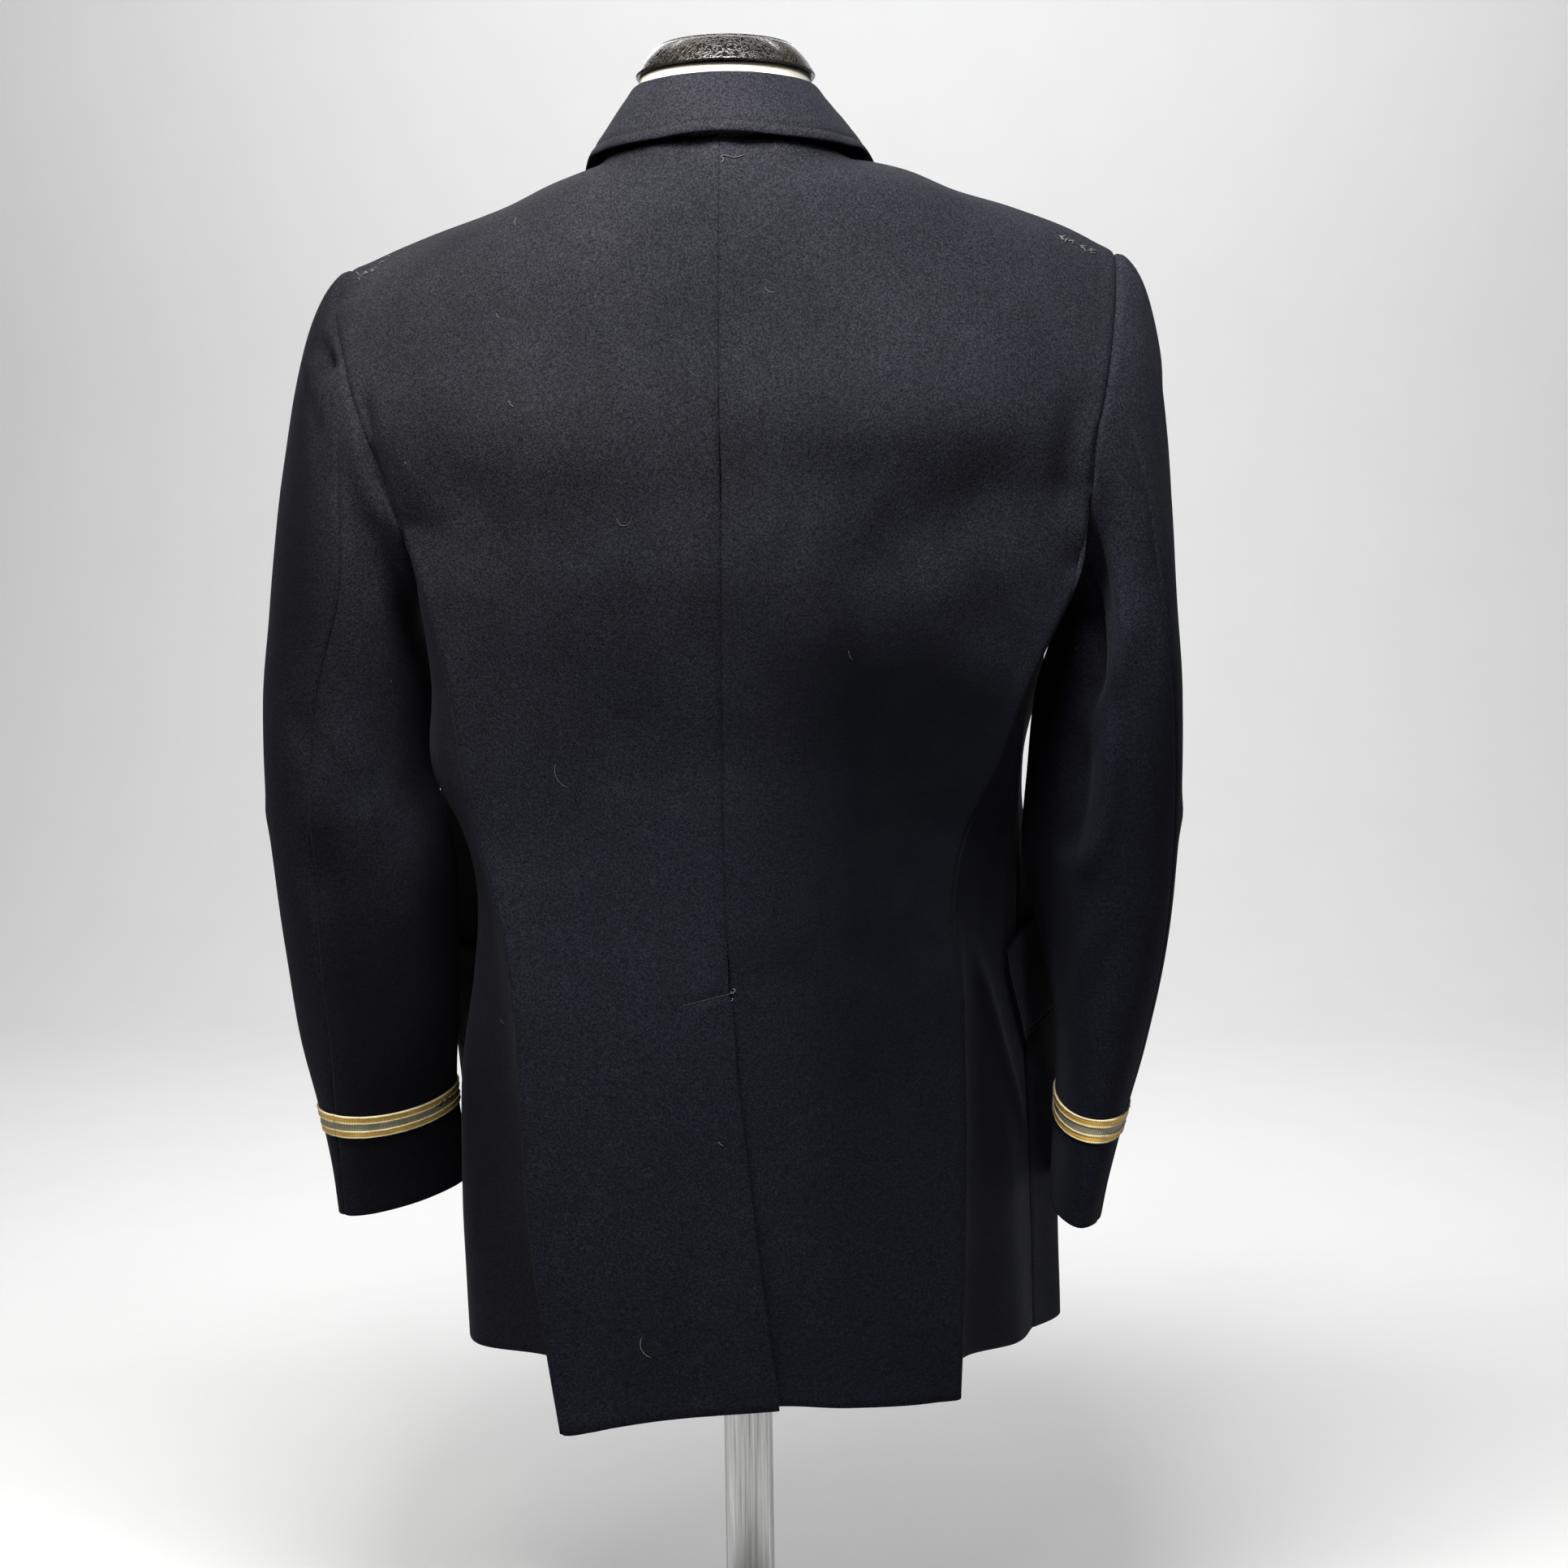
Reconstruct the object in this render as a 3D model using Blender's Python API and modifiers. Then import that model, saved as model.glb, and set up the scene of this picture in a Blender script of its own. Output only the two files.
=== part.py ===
"""Uniform jacket, back 0.77 m long, worn on a limbless dress form with a short pole and a round base.

Metres, +Z up. The origin is the centre of the base's underside. The jacket's front faces -Y, the wearer's left is +X.
Heights in the tables are above the hem. Each table row is one level, fold or section, with its columns named.
"""

import math

import bmesh
import bpy
import numpy as np
from mathutils import Vector
from mathutils.bvhtree import BVHTree

# ---------------------------------------------------------------- driving sizes
HEM = 0.260          # height of the hem above the floor
WALL = 0.0020        # cloth
GAP = 0.00025        # each piece stops this far short of its seam
LAP = 0.0048         # how far an under layer lies behind the layer over it
BACK_LENGTH = 0.770  # neck seam to hem at the centre back
VENT_TOP = 0.247     # top of the centre vent
BREAK = 0.500        # top button, where the lapels start
BUTTON_PITCH = 0.094
BUTTON_R = 0.0112
BRAID_W = 0.0160
BRAID_UP = 0.0580    # cuff edge to the band's lower edge
BRAID_T = 0.0011
BASE_R, BASE_T = 0.180, 0.018
POLE_R = 0.016

# ------------------------------------------------- body sections, left and right
# One row a level. cb: centre back y. blade: fullness between centre and seam. edge: back/side seam. trough: bottom of
# the hanging fold beside it. side: outer ridge. seam: side/front seam. pocket: widest point of the front. chest: front
# quarter. front: y at the centre front.
COLS = ("z", "cb", "blade", "edge_x", "edge_y", "trough_x", "trough_y", "side_x", "side_y",
        "seam_x", "seam_y", "pocket_x", "pocket_y", "chest_x", "chest_y", "front")
BODY_LEFT = (
    (0.000, .1390, .0000, .1050, .1450, .1170, .0480, .1800, .0120, .1920, -.0480, .1955, -.1020, .1280, -.1450, -.1490),
    (0.090, .1320, .0010, .1205, .1370, .1280, .0600, .1850, .0060, .1925, -.0480, .1955, -.1030, .1260, -.1420, -.1460),
    (0.190, .1210, .0020, .1288, .1250, .1400, .0700, .1840, .0050, .1850, -.0450, .2070, -.1010, .1220, -.1360, -.1400),
    (0.250, .1130, .0020, .1328, .1150, .1460, .0720, .1750, .0060, .1720, -.0450, .2120, -.0940, .1180, -.1310, -.1350),
    (0.310, .1010, .0030, .1470, .0970, .1560, .0660, .1705, .0150, .1700, -.0350, .2120, -.0870, .1120, -.1240, -.1280),
    (0.345, .0955, .0040, .1580, .0880, .1690, .0620, .1790, .0140, .1790, -.0350, .2130, -.0850, .1080, -.1210, -.1250),
    (0.380, .0945, .0045, .1648, .0870, .1840, .0600, .1970, .0110, .1940, -.0380, .2080, -.0860, .1060, -.1210, -.1250),
    (0.440, .1040, .0060, .1735, .0870, .1880, .0600, .1960, .0120, .1940, -.0380, .1880, -.0830, .1060, -.1260, -.1300),
    (0.495, .1150, .0080, .1880, .0870, .1960, .0580, .2000, .0120, .1970, -.0380, .1870, -.0850, .1060, -.1310, -.1350),
)
BODY_RIGHT = (
    (0.000, .1340, .0000, .1390, .1300, .1420, .0500, .1800, .0000, .1920, -.0500, .2125, -.1050, .1300, -.1470, -.1510),
    (0.090, .1300, .0010, .1425, .1290, .1460, .0620, .1770, .0080, .1900, -.0450, .2115, -.1020, .1280, -.1430, -.1470),
    (0.190, .1210, .0020, .1433, .1220, .1500, .0750, .1710, .0300, .1860, -.0300, .2125, -.0960, .1240, -.1370, -.1410),
    (0.250, .1130, .0020, .1420, .1160, .1500, .0840, .1640, .0440, .1820, -.0250, .2115, -.0900, .1190, -.1310, -.1350),
    (0.310, .1010, .0030, .1380, .0990, .1540, .0760, .1700, .0380, .1815, -.0230, .1985, -.0820, .1120, -.1240, -.1280),
    (0.345, .0955, .0040, .1460, .0900, .1630, .0680, .1770, .0300, .1825, -.0250, .1860, -.0790, .1080, -.1210, -.1250),
    (0.380, .0945, .0045, .1640, .0900, .1740, .0680, .1820, .0280, .1840, -.0280, .1850, -.0800, .1060, -.1210, -.1250),
    (0.440, .1040, .0060, .1880, .0880, .1895, .0660, .1890, .0280, .1870, -.0300, .2010, -.0830, .1060, -.1260, -.1300),
    (0.495, .1150, .0080, .2150, .0790, .2150, .0580, .2090, .0180, .2010, -.0350, .2040, -.0850, .1060, -.1310, -.1350),
)
# One row a point round the armhole, from the shoulder tip down the back, under the arm and up the front.
ARMHOLE_COLS = ("x", "y", "z")
ARMHOLE_LEFT = (
    (.2460, .0000, .7060), (.2505, .0300, .6760), (.2410, .0550, .6440), (.2305, .0750, .6130), (.2210, .0860, .5850),
    (.2024, .0810, .5390), (.1975, .0480, .5170), (.1980, .0080, .5090), (.1960, -.0360, .5180), (.1960, -.0660, .5480),
    (.1990, -.0760, .5900), (.2070, -.0710, .6300), (.2230, -.0520, .6680), (.2390, -.0260, .6960),
)
ARMHOLE_RIGHT = (
    (.2450, .0000, .7070), (.2450, .0200, .6880), (.2406, .0500, .6490), (.2334, .0750, .6090), (.2280, .0850, .5860),
    (.2240, .0800, .5530), (.2180, .0480, .5200), (.2120, .0120, .5090), (.2050, -.0340, .5170), (.2010, -.0660, .5480),
    (.2010, -.0760, .5900), (.2080, -.0710, .6300), (.2230, -.0520, .6680), (.2380, -.0260, .6960),
)
CORNER_BACK, CORNER_FRONT = 5, 8   # rows of the armhole where the two side seams end
# The neck seam and shoulder seam, from the centre back to the shoulder tip.
NECK_BACK = ((.0000, .0960, .7700), (.0420, .0835, .7690), (.0690, .0550, .7675), (.0790, .0180, .7670))
SHOULDER_LEFT = ((.0790, .0180, .7670), (.1150, .0110, .7555), (.1450, .0070, .7420), (.1800, .0030, .7310), (.2150, .0000, .7190))
SHOULDER_RIGHT = ((.0790, .0180, .7670), (.1150, .0110, .7600), (.1450, .0070, .7470), (.1800, .0030, .7370), (.2150, .0000, .7240))
CENTRE = ((0.000, .0000), (0.250, .0000), (0.335, .0032), (0.410, .0026), (0.510, .0004), (0.600, -.0004), (0.770, -.0012))  # the centre-back seam wanders: height, x
NECK_AT = 0.36       # share of the back's width that the neck takes
BLADE = dict(z=0.628, cb=0.1245, full=0.0070)
YOKE_CB = (0.0, 0.0110, -0.0340)        # from the top edge to the row below it, at the centre
YOKE_SHOULDER = (0.0, 0.0430, -0.0150)  # the same, along the shoulder
FRONT_YOKE = (0.0, -0.0420, -0.0280)
# Front edge of each front: overlap below the break, roll line of the lapel above it.
ROLL = ((0.000, -.0290), (0.100, -.0290), (0.300, -.0290), (0.460, -.0290), (0.500, -.0280), (0.540, -.0090), (0.600, .0200),
        (0.660, .0430), (0.720, .0640), (0.765, .0790))
# How far the hem hangs below its level, by its place from the centre back (0) to the front edge (1).
DROP_LEFT = ((0.00, .0010), (0.12, .0065), (0.24, .0135), (0.33, .0140), (0.42, .0010), (0.55, -.0020), (0.75, .0000), (1.00, .0030))
DROP_RIGHT = ((0.00, .0020), (0.15, .0010), (0.33, -.0030), (0.42, -.0040), (0.55, .0020), (0.68, .0100), (0.85, .0060), (1.00, .0030))
VENT = ((0.000, -.0285), (0.050, -.0215), (0.100, -.0148), (0.150, -.0090), (0.200, -.0035), (0.240, -.0012), (0.247, .0000))

# ------------------------------------------------------------------ sleeves
# One row a ring: height and centre, half width, half depth, twist (deg, back edge towards the outside), slope of the
# ring (rise per metre towards the front), squareness, and the places of the hind and fore seams (deg from outermost).
SLEEVE_COLS = ("z", "x", "y", "half_w", "half_d", "twist", "slope", "square", "hollow", "hind", "fore")
SLEEVE_LEFT = (
    (0.480, .2535, .0060, .0470, .0700, 0, 0.00, 2.30, .000, 97, -100),
    (0.430, .2530, .0030, .0506, .0680, 12, 0.02, 2.25, .002, 96, -100),
    (0.375, .2538, .0020, .0513, .0650, 14, 0.04, 2.20, .003, 92, -100),
    (0.320, .2476, -.0040, .0573, .0610, 18, 0.08, 2.15, .000, 88, -102),
    (0.262, .2458, -.0120, .0552, .0580, 21, 0.12, 2.10, .000, 87, -104),
    (0.204, .2447, -.0220, .0498, .0560, 22, 0.14, 2.05, .000, 88, -106),
    (0.158, .2425, -.0330, .0375, .0555, 28, 0.12, 2.05, .000, 90, -108),
    (0.117, .2380, -.0420, .0290, .0560, 34, 0.11, 2.00, .000, 93, -110),
    (0.090, .2358, -.0480, .0245, .0570, 36, 0.12, 2.00, .000, 93, -110),
)
SLEEVE_RIGHT = (
    (0.480, .2452, .0080, .0363, .0680, 3, 0.00, 2.30, .018, 56, -100),
    (0.430, .2388, .0060, .0452, .0680, 8, 0.02, 2.25, .018, 50, -100),
    (0.375, .2360, .0030, .0478, .0660, 10, 0.04, 2.20, .011, 44, -100),
    (0.320, .2336, -.0020, .0480, .0640, 10, 0.05, 2.15, .003, 40, -102),
    (0.262, .2366, -.0080, .0395, .0640, 5, 0.07, 2.10, .000, 36, -104),
    (0.204, .2355, -.0160, .0300, .0640, 0, 0.08, 2.05, .000, 36, -106),
    (0.155, .2290, -.0230, .0230, .0640, 0, 0.08, 2.00, .000, 40, -108),
    (0.116, .2230, -.0280, .0193, .0640, 0, 0.08, 2.00, .000, 46, -110),
    (0.089, .2195, -.0310, .0172, .0640, 0, 0.08, 2.00, .000, 50, -110),
)
HOLLOW_AT, HOLLOW_WIDE = 138.0, 42.0  # the fold in the back of the upper sleeve: its angle and its reach, degrees
HIND_PITCH, FORE_PITCH = 2.75, 10.0   # where the sleeve seams meet the armhole, in rows of its table
HEAD_OUT = 0.105                      # how strongly the sleeve head swells outwards

# ------------------------------------------------------------------- collar
# One row a station from the centre back round to the notch: fold line and free edge. The seam follows the neck edge,
# seam_at counting from the centre back (0) over the neck point (1) to the end of the gorge (2).
COLLAR_COLS = ("seam_at", "fold_x", "fold_y", "fold_z", "edge_x", "edge_y", "edge_z")
COLLAR = (
    (0.00, .0000, .0865, .8085, .0000, .1115, .7710),
    (0.28, .0190, .0825, .8085, .0260, .1070, .7700),
    (0.52, .0350, .0710, .8085, .0490, .0930, .7680),
    (0.78, .0500, .0540, .8085, .0695, .0710, .7670),
    (1.00, .0580, .0300, .8070, .0820, .0440, .7675),
    (1.20, .0595, .0020, .8000, .0900, .0110, .7690),
    (1.42, .0605, -.0240, .7865, .0970, -.0190, .7560),
    (1.66, .0620, -.0480, .7670, .1050, -.0420, .7370),
    (1.88, .0625, -.0680, .7440, .1100, -.0580, .7250),
    (2.00, .0630, -.0800, .7280, .0970, -.0740, .7110),
)
CROSSING = 0.533                        # where the under lapel comes out from beneath the front that laps it
GORGE_Z = 0.719                         # where the lapel's top edge meets the roll line
LAPEL_NOTCH, LAPEL_TIP = (.0980, .7060), (.1250, .7075)
# Along the roll line from the break to the gorge: x of the lapel's free edge.
LAPEL_ROWS = ((0.00, -.0200), (0.10, .0020), (0.25, .0290), (0.45, .0620), (0.65, .0910), (0.85, .1140), (1.00, .1250))

# --------------------------------------------------------------- hip flaps
# Corners as height and horizontal run along the side and front, counted forwards from the side/front seam.
FLAP_COLS = ("rear_top", "z", "front_top", "z", "front_low", "z", "rear_low", "z")
FLAP_LEFT = (-.030, .2480, .112, .2680, .116, .2020, -.022, .1800)
FLAP_RIGHT = (-.050, .2620, .100, .2860, .104, .2200, -.010, .1960)

# ------------------------------------------------------------- the dress form
# One row a ring: height above the hem, half width, half depth, centre y, squareness.
FORM_COLS = ("z", "half_w", "half_d", "y", "square")
FORM = (
    (0.115, .0600, .0500, -.0200, 2.0),
    (0.118, .0900, .0720, -.0180, 2.1),
    (0.130, .1080, .0840, -.0160, 2.2),
    (0.160, .1180, .0920, -.0150, 2.2),
    (0.210, .1240, .0930, -.0150, 2.2),
    (0.270, .1210, .0880, -.0170, 2.2),
    (0.320, .1170, .0840, -.0150, 2.2),
    (0.370, .1220, .0860, -.0130, 2.2),
    (0.430, .1380, .0950, -.0120, 2.3),
    (0.500, .1520, .1050, -.0100, 2.4),
    (0.560, .1620, .1060, -.0050, 2.5),
    (0.610, .1740, .1000, .0020, 2.5),
    (0.650, .1780, .0900, .0090, 2.4),
    (0.680, .1650, .0790, .0150, 2.3),
    (0.705, .1360, .0690, .0180, 2.2),
    (0.725, .1060, .0620, .0195, 2.1),
    (0.742, .0820, .0570, .0200, 2.0),
    (0.756, .0650, .0540, .0200, 2.0),
    (0.772, .0570, .0530, .0200, 2.0),
    (0.795, .0545, .0530, .0200, 2.0),
    (0.8170, .0540, .0530, .0200, 2.0),
)
# Neck cap, profile from its top centre down its outer side: radius, height above the hem.
CAP = ((.0000, .8372), (.0380, .8366), (.0440, .8348), (.0478, .8315), (.0520, .8262), (.0558, .8200), (.0566, .8185), (.0560, .8175), (.0000, .8175))
NECK_Y = 0.020


# ---------------------------------------------------------------- small tools
def spline(at_rows, rows, at):
    """Smooth curve through the rows, read at the given places."""
    k = np.asarray(at_rows, float)
    p = np.asarray(rows, float)
    flat = p.ndim == 1
    if flat:
        p = p[:, None]
    at = np.clip(np.asarray(at, float), k[0], k[-1])
    step = np.diff(k)[:, None]
    slope = np.diff(p, axis=0) / step
    tan = np.empty_like(p)
    tan[1:-1] = (slope[:-1] * step[1:] + slope[1:] * step[:-1]) / (step[1:] + step[:-1])
    tan[0], tan[-1] = slope[0], slope[-1]
    i = np.clip(np.searchsorted(k, at, side="right") - 1, 0, len(k) - 2)
    s = ((at - k[i]) / (k[i + 1] - k[i]))[..., None]
    h = (k[i + 1] - k[i])[..., None]
    out = ((2 * s**3 - 3 * s**2 + 1) * p[i] + (s**3 - 2 * s**2 + s) * h * tan[i]
           + (3 * s**2 - 2 * s**3) * p[i + 1] + (s**3 - s**2) * h * tan[i + 1])
    return out[..., 0] if flat else out


def lengths(points):
    """Share of the way along a run of points."""
    d = np.concatenate([[0], np.cumsum(np.linalg.norm(np.diff(points, axis=0), axis=1))])
    return d / d[-1]


def smooth(a, b, x):
    s = np.clip((np.asarray(x, float) - a) / (b - a), 0, 1)
    return s * s * (3 - 2 * s)


class Side:
    """The tables of one side, with x counted outwards from the centre."""

    def __init__(self, name, body, armhole, sleeve, shoulder, drop, sign):
        self.name, self.sign, self.over = name, sign, sign > 0
        self.shoulder = shoulder
        self.drop = drop
        self.body = np.array(body)
        self.arm = np.array(armhole)
        self.sleeve = np.array(sleeve)

    def row(self, z):
        values = spline(self.body[:, 0], self.body, min(max(z, 0.0), self.body[-1, 0]))
        return dict(zip(COLS, values))

    def armhole_at(self, t):
        """Point of the armhole at row t of its table, which closes on itself."""
        a = self.arm
        k = np.arange(-2, len(a) + 3)
        return spline(k, a[k % len(a)], np.mod(t, len(a)))

    def wander(self, z):
        return self.sign * spline([c[0] for c in CENTRE], [c[1] for c in CENTRE], z)

    # -------- body below the armhole
    def back_row(self, z, q):
        r = self.row(z)
        q = np.asarray(q, float)
        x0 = 0.0
        if z < VENT_TOP:
            v = [list(c) for c in zip(*VENT)]
            x0 = float(spline(v[0], v[1], z)) if self.over else -0.020 * float(smooth(VENT_TOP, VENT_TOP - 0.012, z))
        x = x0 + (r["edge_x"] - x0) * q
        share = np.clip(x / r["edge_x"], 0, 1)
        y = r["edge_y"] + (r["cb"] - r["edge_y"]) * (1 - share**2.3) + r["blade"] * np.sin(np.pi * share)
        if not self.over:
            y = y - LAP * smooth(0.070, 0.034, x) * smooth(VENT_TOP + 0.045, VENT_TOP + 0.004, z)
        return np.stack([x + self.wander(z) * (1 - share) ** 2, y, np.full_like(x, z)], -1)

    def side_row(self, z, q):
        r = self.row(z)
        p = np.array([(r["edge_x"], r["edge_y"]), (r["trough_x"], r["trough_y"]), (r["side_x"], r["side_y"]), (r["seam_x"], r["seam_y"])])
        xy = spline([0, 0.40, 0.74, 1.0], p, q)
        return np.concatenate([xy, np.full((len(xy), 1), z)], -1)

    def front_row(self, z, q):
        r = self.row(z)
        end = float(spline([c[0] for c in ROLL], [c[1] for c in ROLL], z))
        p = np.array([(r["seam_x"], r["seam_y"]), (r["pocket_x"], r["pocket_y"]), (r["chest_x"], r["chest_y"]), (0.0, r["front"]), (-0.06, r["front"])])
        knots = np.array([0, 0.20, 0.52, 1.0, 1.22])
        if r["seam_x"] < r["pocket_x"] - 0.006:
            p[1] = (r["pocket_x"], r["pocket_y"])
        fine = np.linspace(0, 1.22, 400)
        run = spline(knots, p, fine)
        stop = np.argmax((run[:, 0] <= end) & (fine > 0.3))
        s = (run[stop - 1, 0] - end) / (run[stop - 1, 0] - run[stop, 0])
        last = fine[stop - 1] + s * (fine[stop] - fine[stop - 1])
        xy = spline(knots, p, np.asarray(q, float) * last)
        y = xy[:, 1]
        if not self.over:
            y = y + LAP * smooth(0.075, 0.040, xy[:, 0])
        return np.stack([xy[:, 0], y, np.full_like(y, z)], -1)

    # -------- body beside and above the armhole
    def top_back(self, q):
        tip = self.arm[0]
        neck = np.array(NECK_BACK)
        shoulder = np.array(self.shoulder + (tuple(tip),))
        q = np.asarray(q, float)
        a = spline(lengths(neck), neck, np.clip(q / NECK_AT, 0, 1))
        b = spline(lengths(shoulder), shoulder, np.clip((q - NECK_AT) / (1 - NECK_AT), 0, 1))
        return np.where((q <= NECK_AT)[:, None], a, b)

    def upper_back(self, q, v):
        """v 0 at the top of the side seam, 1 at the neck and shoulder seams."""
        q, v = np.asarray(q, float), np.asarray(v, float)
        corner = self.arm[CORNER_BACK]
        low = self.back_row(self.body[-1, 0], q)
        r = self.row(0.495)
        share = q
        first = np.stack([corner[0] * share, corner[1] + (0.1195 - corner[1]) * (1 - share**2.3) + 0.008 * np.sin(np.pi * share), np.full_like(q, corner[2])], -1)
        hole = self.armhole_at(CORNER_BACK * (1 - 0.46))
        blade = np.stack([hole[0] * share, hole[1] + (BLADE["cb"] - hole[1]) * (1 - share**2.3) + BLADE["full"] * np.sin(np.pi * share),
                          BLADE["z"] + (hole[2] - BLADE["z"]) * share**2], -1)
        top = self.top_back(q)
        mix = smooth(0.02, NECK_AT + 0.10, q)[:, None]
        yoke = top + np.array(YOKE_CB) * (1 - mix) + np.array(YOKE_SHOULDER) * mix * (1 - 0.35 * smooth(0.75, 1.0, q)[:, None])
        yoke = yoke + np.array((0.0, 0.012, 0.004)) * np.exp(-(((q - NECK_AT) / 0.10) ** 2))[:, None]
        below = low.copy()
        below[:, 0] -= self.wander(below[0, 2]) * (1 - q) ** 2
        # one smooth run up each column, through the row below, first, blade, yoke and top
        knots = np.array([-0.26, 0.0, 0.46, 0.84, 1.0])
        grid = spline(knots, np.stack([below, first, blade, yoke, top]).reshape(5, -1), v).reshape(len(v), len(q), 3)
        edge = self.armhole_at(CORNER_BACK * (1 - v))
        pull = (q**5)[None, :, None]
        grid = grid + pull * (edge - grid[:, -1])[:, None, :]
        grid[..., 0] += self.wander(grid[..., 2]) * (1 - q[None, :]) ** 2
        return grid

    def roll_at(self, z):
        return float(spline([c[0] for c in ROLL], [c[1] for c in ROLL], z))

    def upper_front(self, q, v):
        """v 0 at the top of the side/front seam, 1 at the shoulder seam. q 0 at the armhole, 1 at the roll line."""
        q, v = np.asarray(q, float), np.asarray(v, float)
        corner = self.arm[CORNER_FRONT]
        z0 = self.body[-1, 0]
        below = self.front_row(z0, q)
        zc = corner[2]

        def across(arm_point, z_in, front_y, end_x, round_by, full=0.0):
            s = q
            x = arm_point[0] + (end_x - arm_point[0]) * (s * (1 - full) + s * s * (1.75 - 0.75 * s) * full)
            y = arm_point[1] + (front_y - arm_point[1]) * (1 - (1 - s) ** round_by)
            return np.stack([x, y, arm_point[2] + (z_in - arm_point[2]) * s], -1)

        first = across(corner, zc + 0.004, -0.1370, self.roll_at(zc + 0.004), 3.0, 1.0)
        p1 = self.armhole_at(10.0)
        chest = across(p1, 0.600, -0.1320, self.roll_at(0.600), 2.2, 0.35)
        p2 = self.armhole_at(11.6)
        upper = across(p2, 0.672, -0.1020, self.roll_at(0.672), 1.8)
        shoulder = np.array(self.shoulder + (tuple(self.arm[0]),))[::-1]
        top = spline(lengths(shoulder), shoulder, q)
        yoke = top + np.array(FRONT_YOKE) * (1 - 0.45 * smooth(0.25, 0.0, q)[:, None])
        knots = np.array([-0.16, 0.0, 0.34, 0.66, 0.86, 1.0])
        grid = spline(knots, np.stack([below, first, chest, upper, yoke, top]).reshape(6, -1), v).reshape(len(v), len(q), 3)
        if not self.over:
            near = smooth(0.075, 0.040, grid[..., 0]) * smooth(0.60, 0.54, grid[..., 2])
            grid[..., 1] += LAP * near
        edge = self.armhole_at(CORNER_FRONT + (len(self.arm) - CORNER_FRONT) * v)
        pull = ((1 - q) ** 5)[None, :, None]
        return grid + pull * (edge - grid[:, 0])[:, None, :]

    # -------- sleeve
    def ring(self, t, deg):
        """Point of the sleeve ring at row t of its table and eccentric angle deg, 0 outermost and 90 at the back."""
        z, x, y, w, d, twist, slope, square, hollow = [float(c) for c in spline(np.arange(len(self.sleeve)), self.sleeve[:, :9], t)]
        deg = np.asarray(deg, float)
        a = np.radians(deg)
        c, s = np.cos(a), np.sin(a)
        px = w * np.sign(c) * np.abs(c) ** (2 / square)
        py = d * np.sign(s) * np.abs(s) ** (2 / square)
        off = (deg - HOLLOW_AT + 180) % 360 - 180
        dent = 1 - hollow / math.hypot(w, d) * np.exp(-((off / HOLLOW_WIDE) ** 2)) * 1.6
        px, py = px * dent, py * dent
        k = math.radians(twist)
        dx = px * math.cos(k) + py * math.sin(k)
        dy = -px * math.sin(k) + py * math.cos(k)
        return np.stack([x + dx, y + dy, z - slope * dy], -1)

    def seams(self, t):
        return [float(c) for c in spline(np.arange(len(self.sleeve)), self.sleeve[:, 9:11], t)]

    def sleeve_grid(self, top, t, rows_head, rows_arm):
        """Rows from the armhole to the cuff, one column from each place t of the armhole, hind seam first."""
        s = (t - t[0]) / (t[-1] - t[0])
        n = len(self.arm)
        loop = self.armhole_at(t)

        def angles(row):
            hind, fore = self.seams(row)
            return hind + (fore - hind) * s if top else hind + (360 + fore - hind) * s

        first = self.ring(0.0, angles(0.0))
        second = self.ring(0.25, angles(0.25))
        out = []
        middle = self.armhole_at(np.arange(n)).mean(axis=0)
        rise = np.clip((loop[:, 2] - 0.509) / (0.706 - 0.509), 0, 1)
        side_face = np.abs(loop[:, 1] - 0.003) / 0.08
        go = np.stack([HEAD_OUT * (0.10 + 0.90 * rise), 0.45 * (loop[:, 1] - 0.003) * rise, -0.02 - 0.115 * (1 - rise)], -1)
        fall = (second - first)
        fall = fall / np.linalg.norm(fall, axis=1)[:, None]
        reach = np.linalg.norm(first - loop, axis=1)[:, None]
        go = go * (0.25 + 0.75 * smooth(0.02, 0.19, reach))
        go = np.where(rise[:, None] > 0.02, go, np.array([[0.010, 0.0, -0.030]]))
        for v in rows_head:
            h00, h10, h01, h11 = 2 * v**3 - 3 * v**2 + 1, v**3 - 2 * v**2 + v, 3 * v**2 - 2 * v**3, v**3 - v**2
            out.append(h00 * loop + h10 * go + h01 * first + h11 * fall * reach * 1.1)
        for row in rows_arm:
            out.append(self.ring(row, angles(row)))
        return np.array(out)


LEFT = Side("left", BODY_LEFT, ARMHOLE_LEFT, SLEEVE_LEFT, SHOULDER_LEFT, DROP_LEFT, 1)
RIGHT = Side("right", BODY_RIGHT, ARMHOLE_RIGHT, SLEEVE_RIGHT, SHOULDER_RIGHT, DROP_RIGHT, -1)


def hem_drop(side, grid, start, end):
    """Lowers the hem a little, by its place round the body, fading out upwards."""
    n = grid.shape[1]
    at = np.linspace(start, end, n)
    drop = spline([c[0] for c in side.drop], [c[1] for c in side.drop], at)
    fade = smooth(0.12, 0.0, grid[..., 2])
    grid[..., 2] -= drop[None, :] * fade
    return grid


def placed(grid, side):
    out = np.array(grid)
    out[..., 0] *= side.sign
    out[..., 2] += HEM
    return out if side.sign > 0 else out[:, ::-1]


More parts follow.
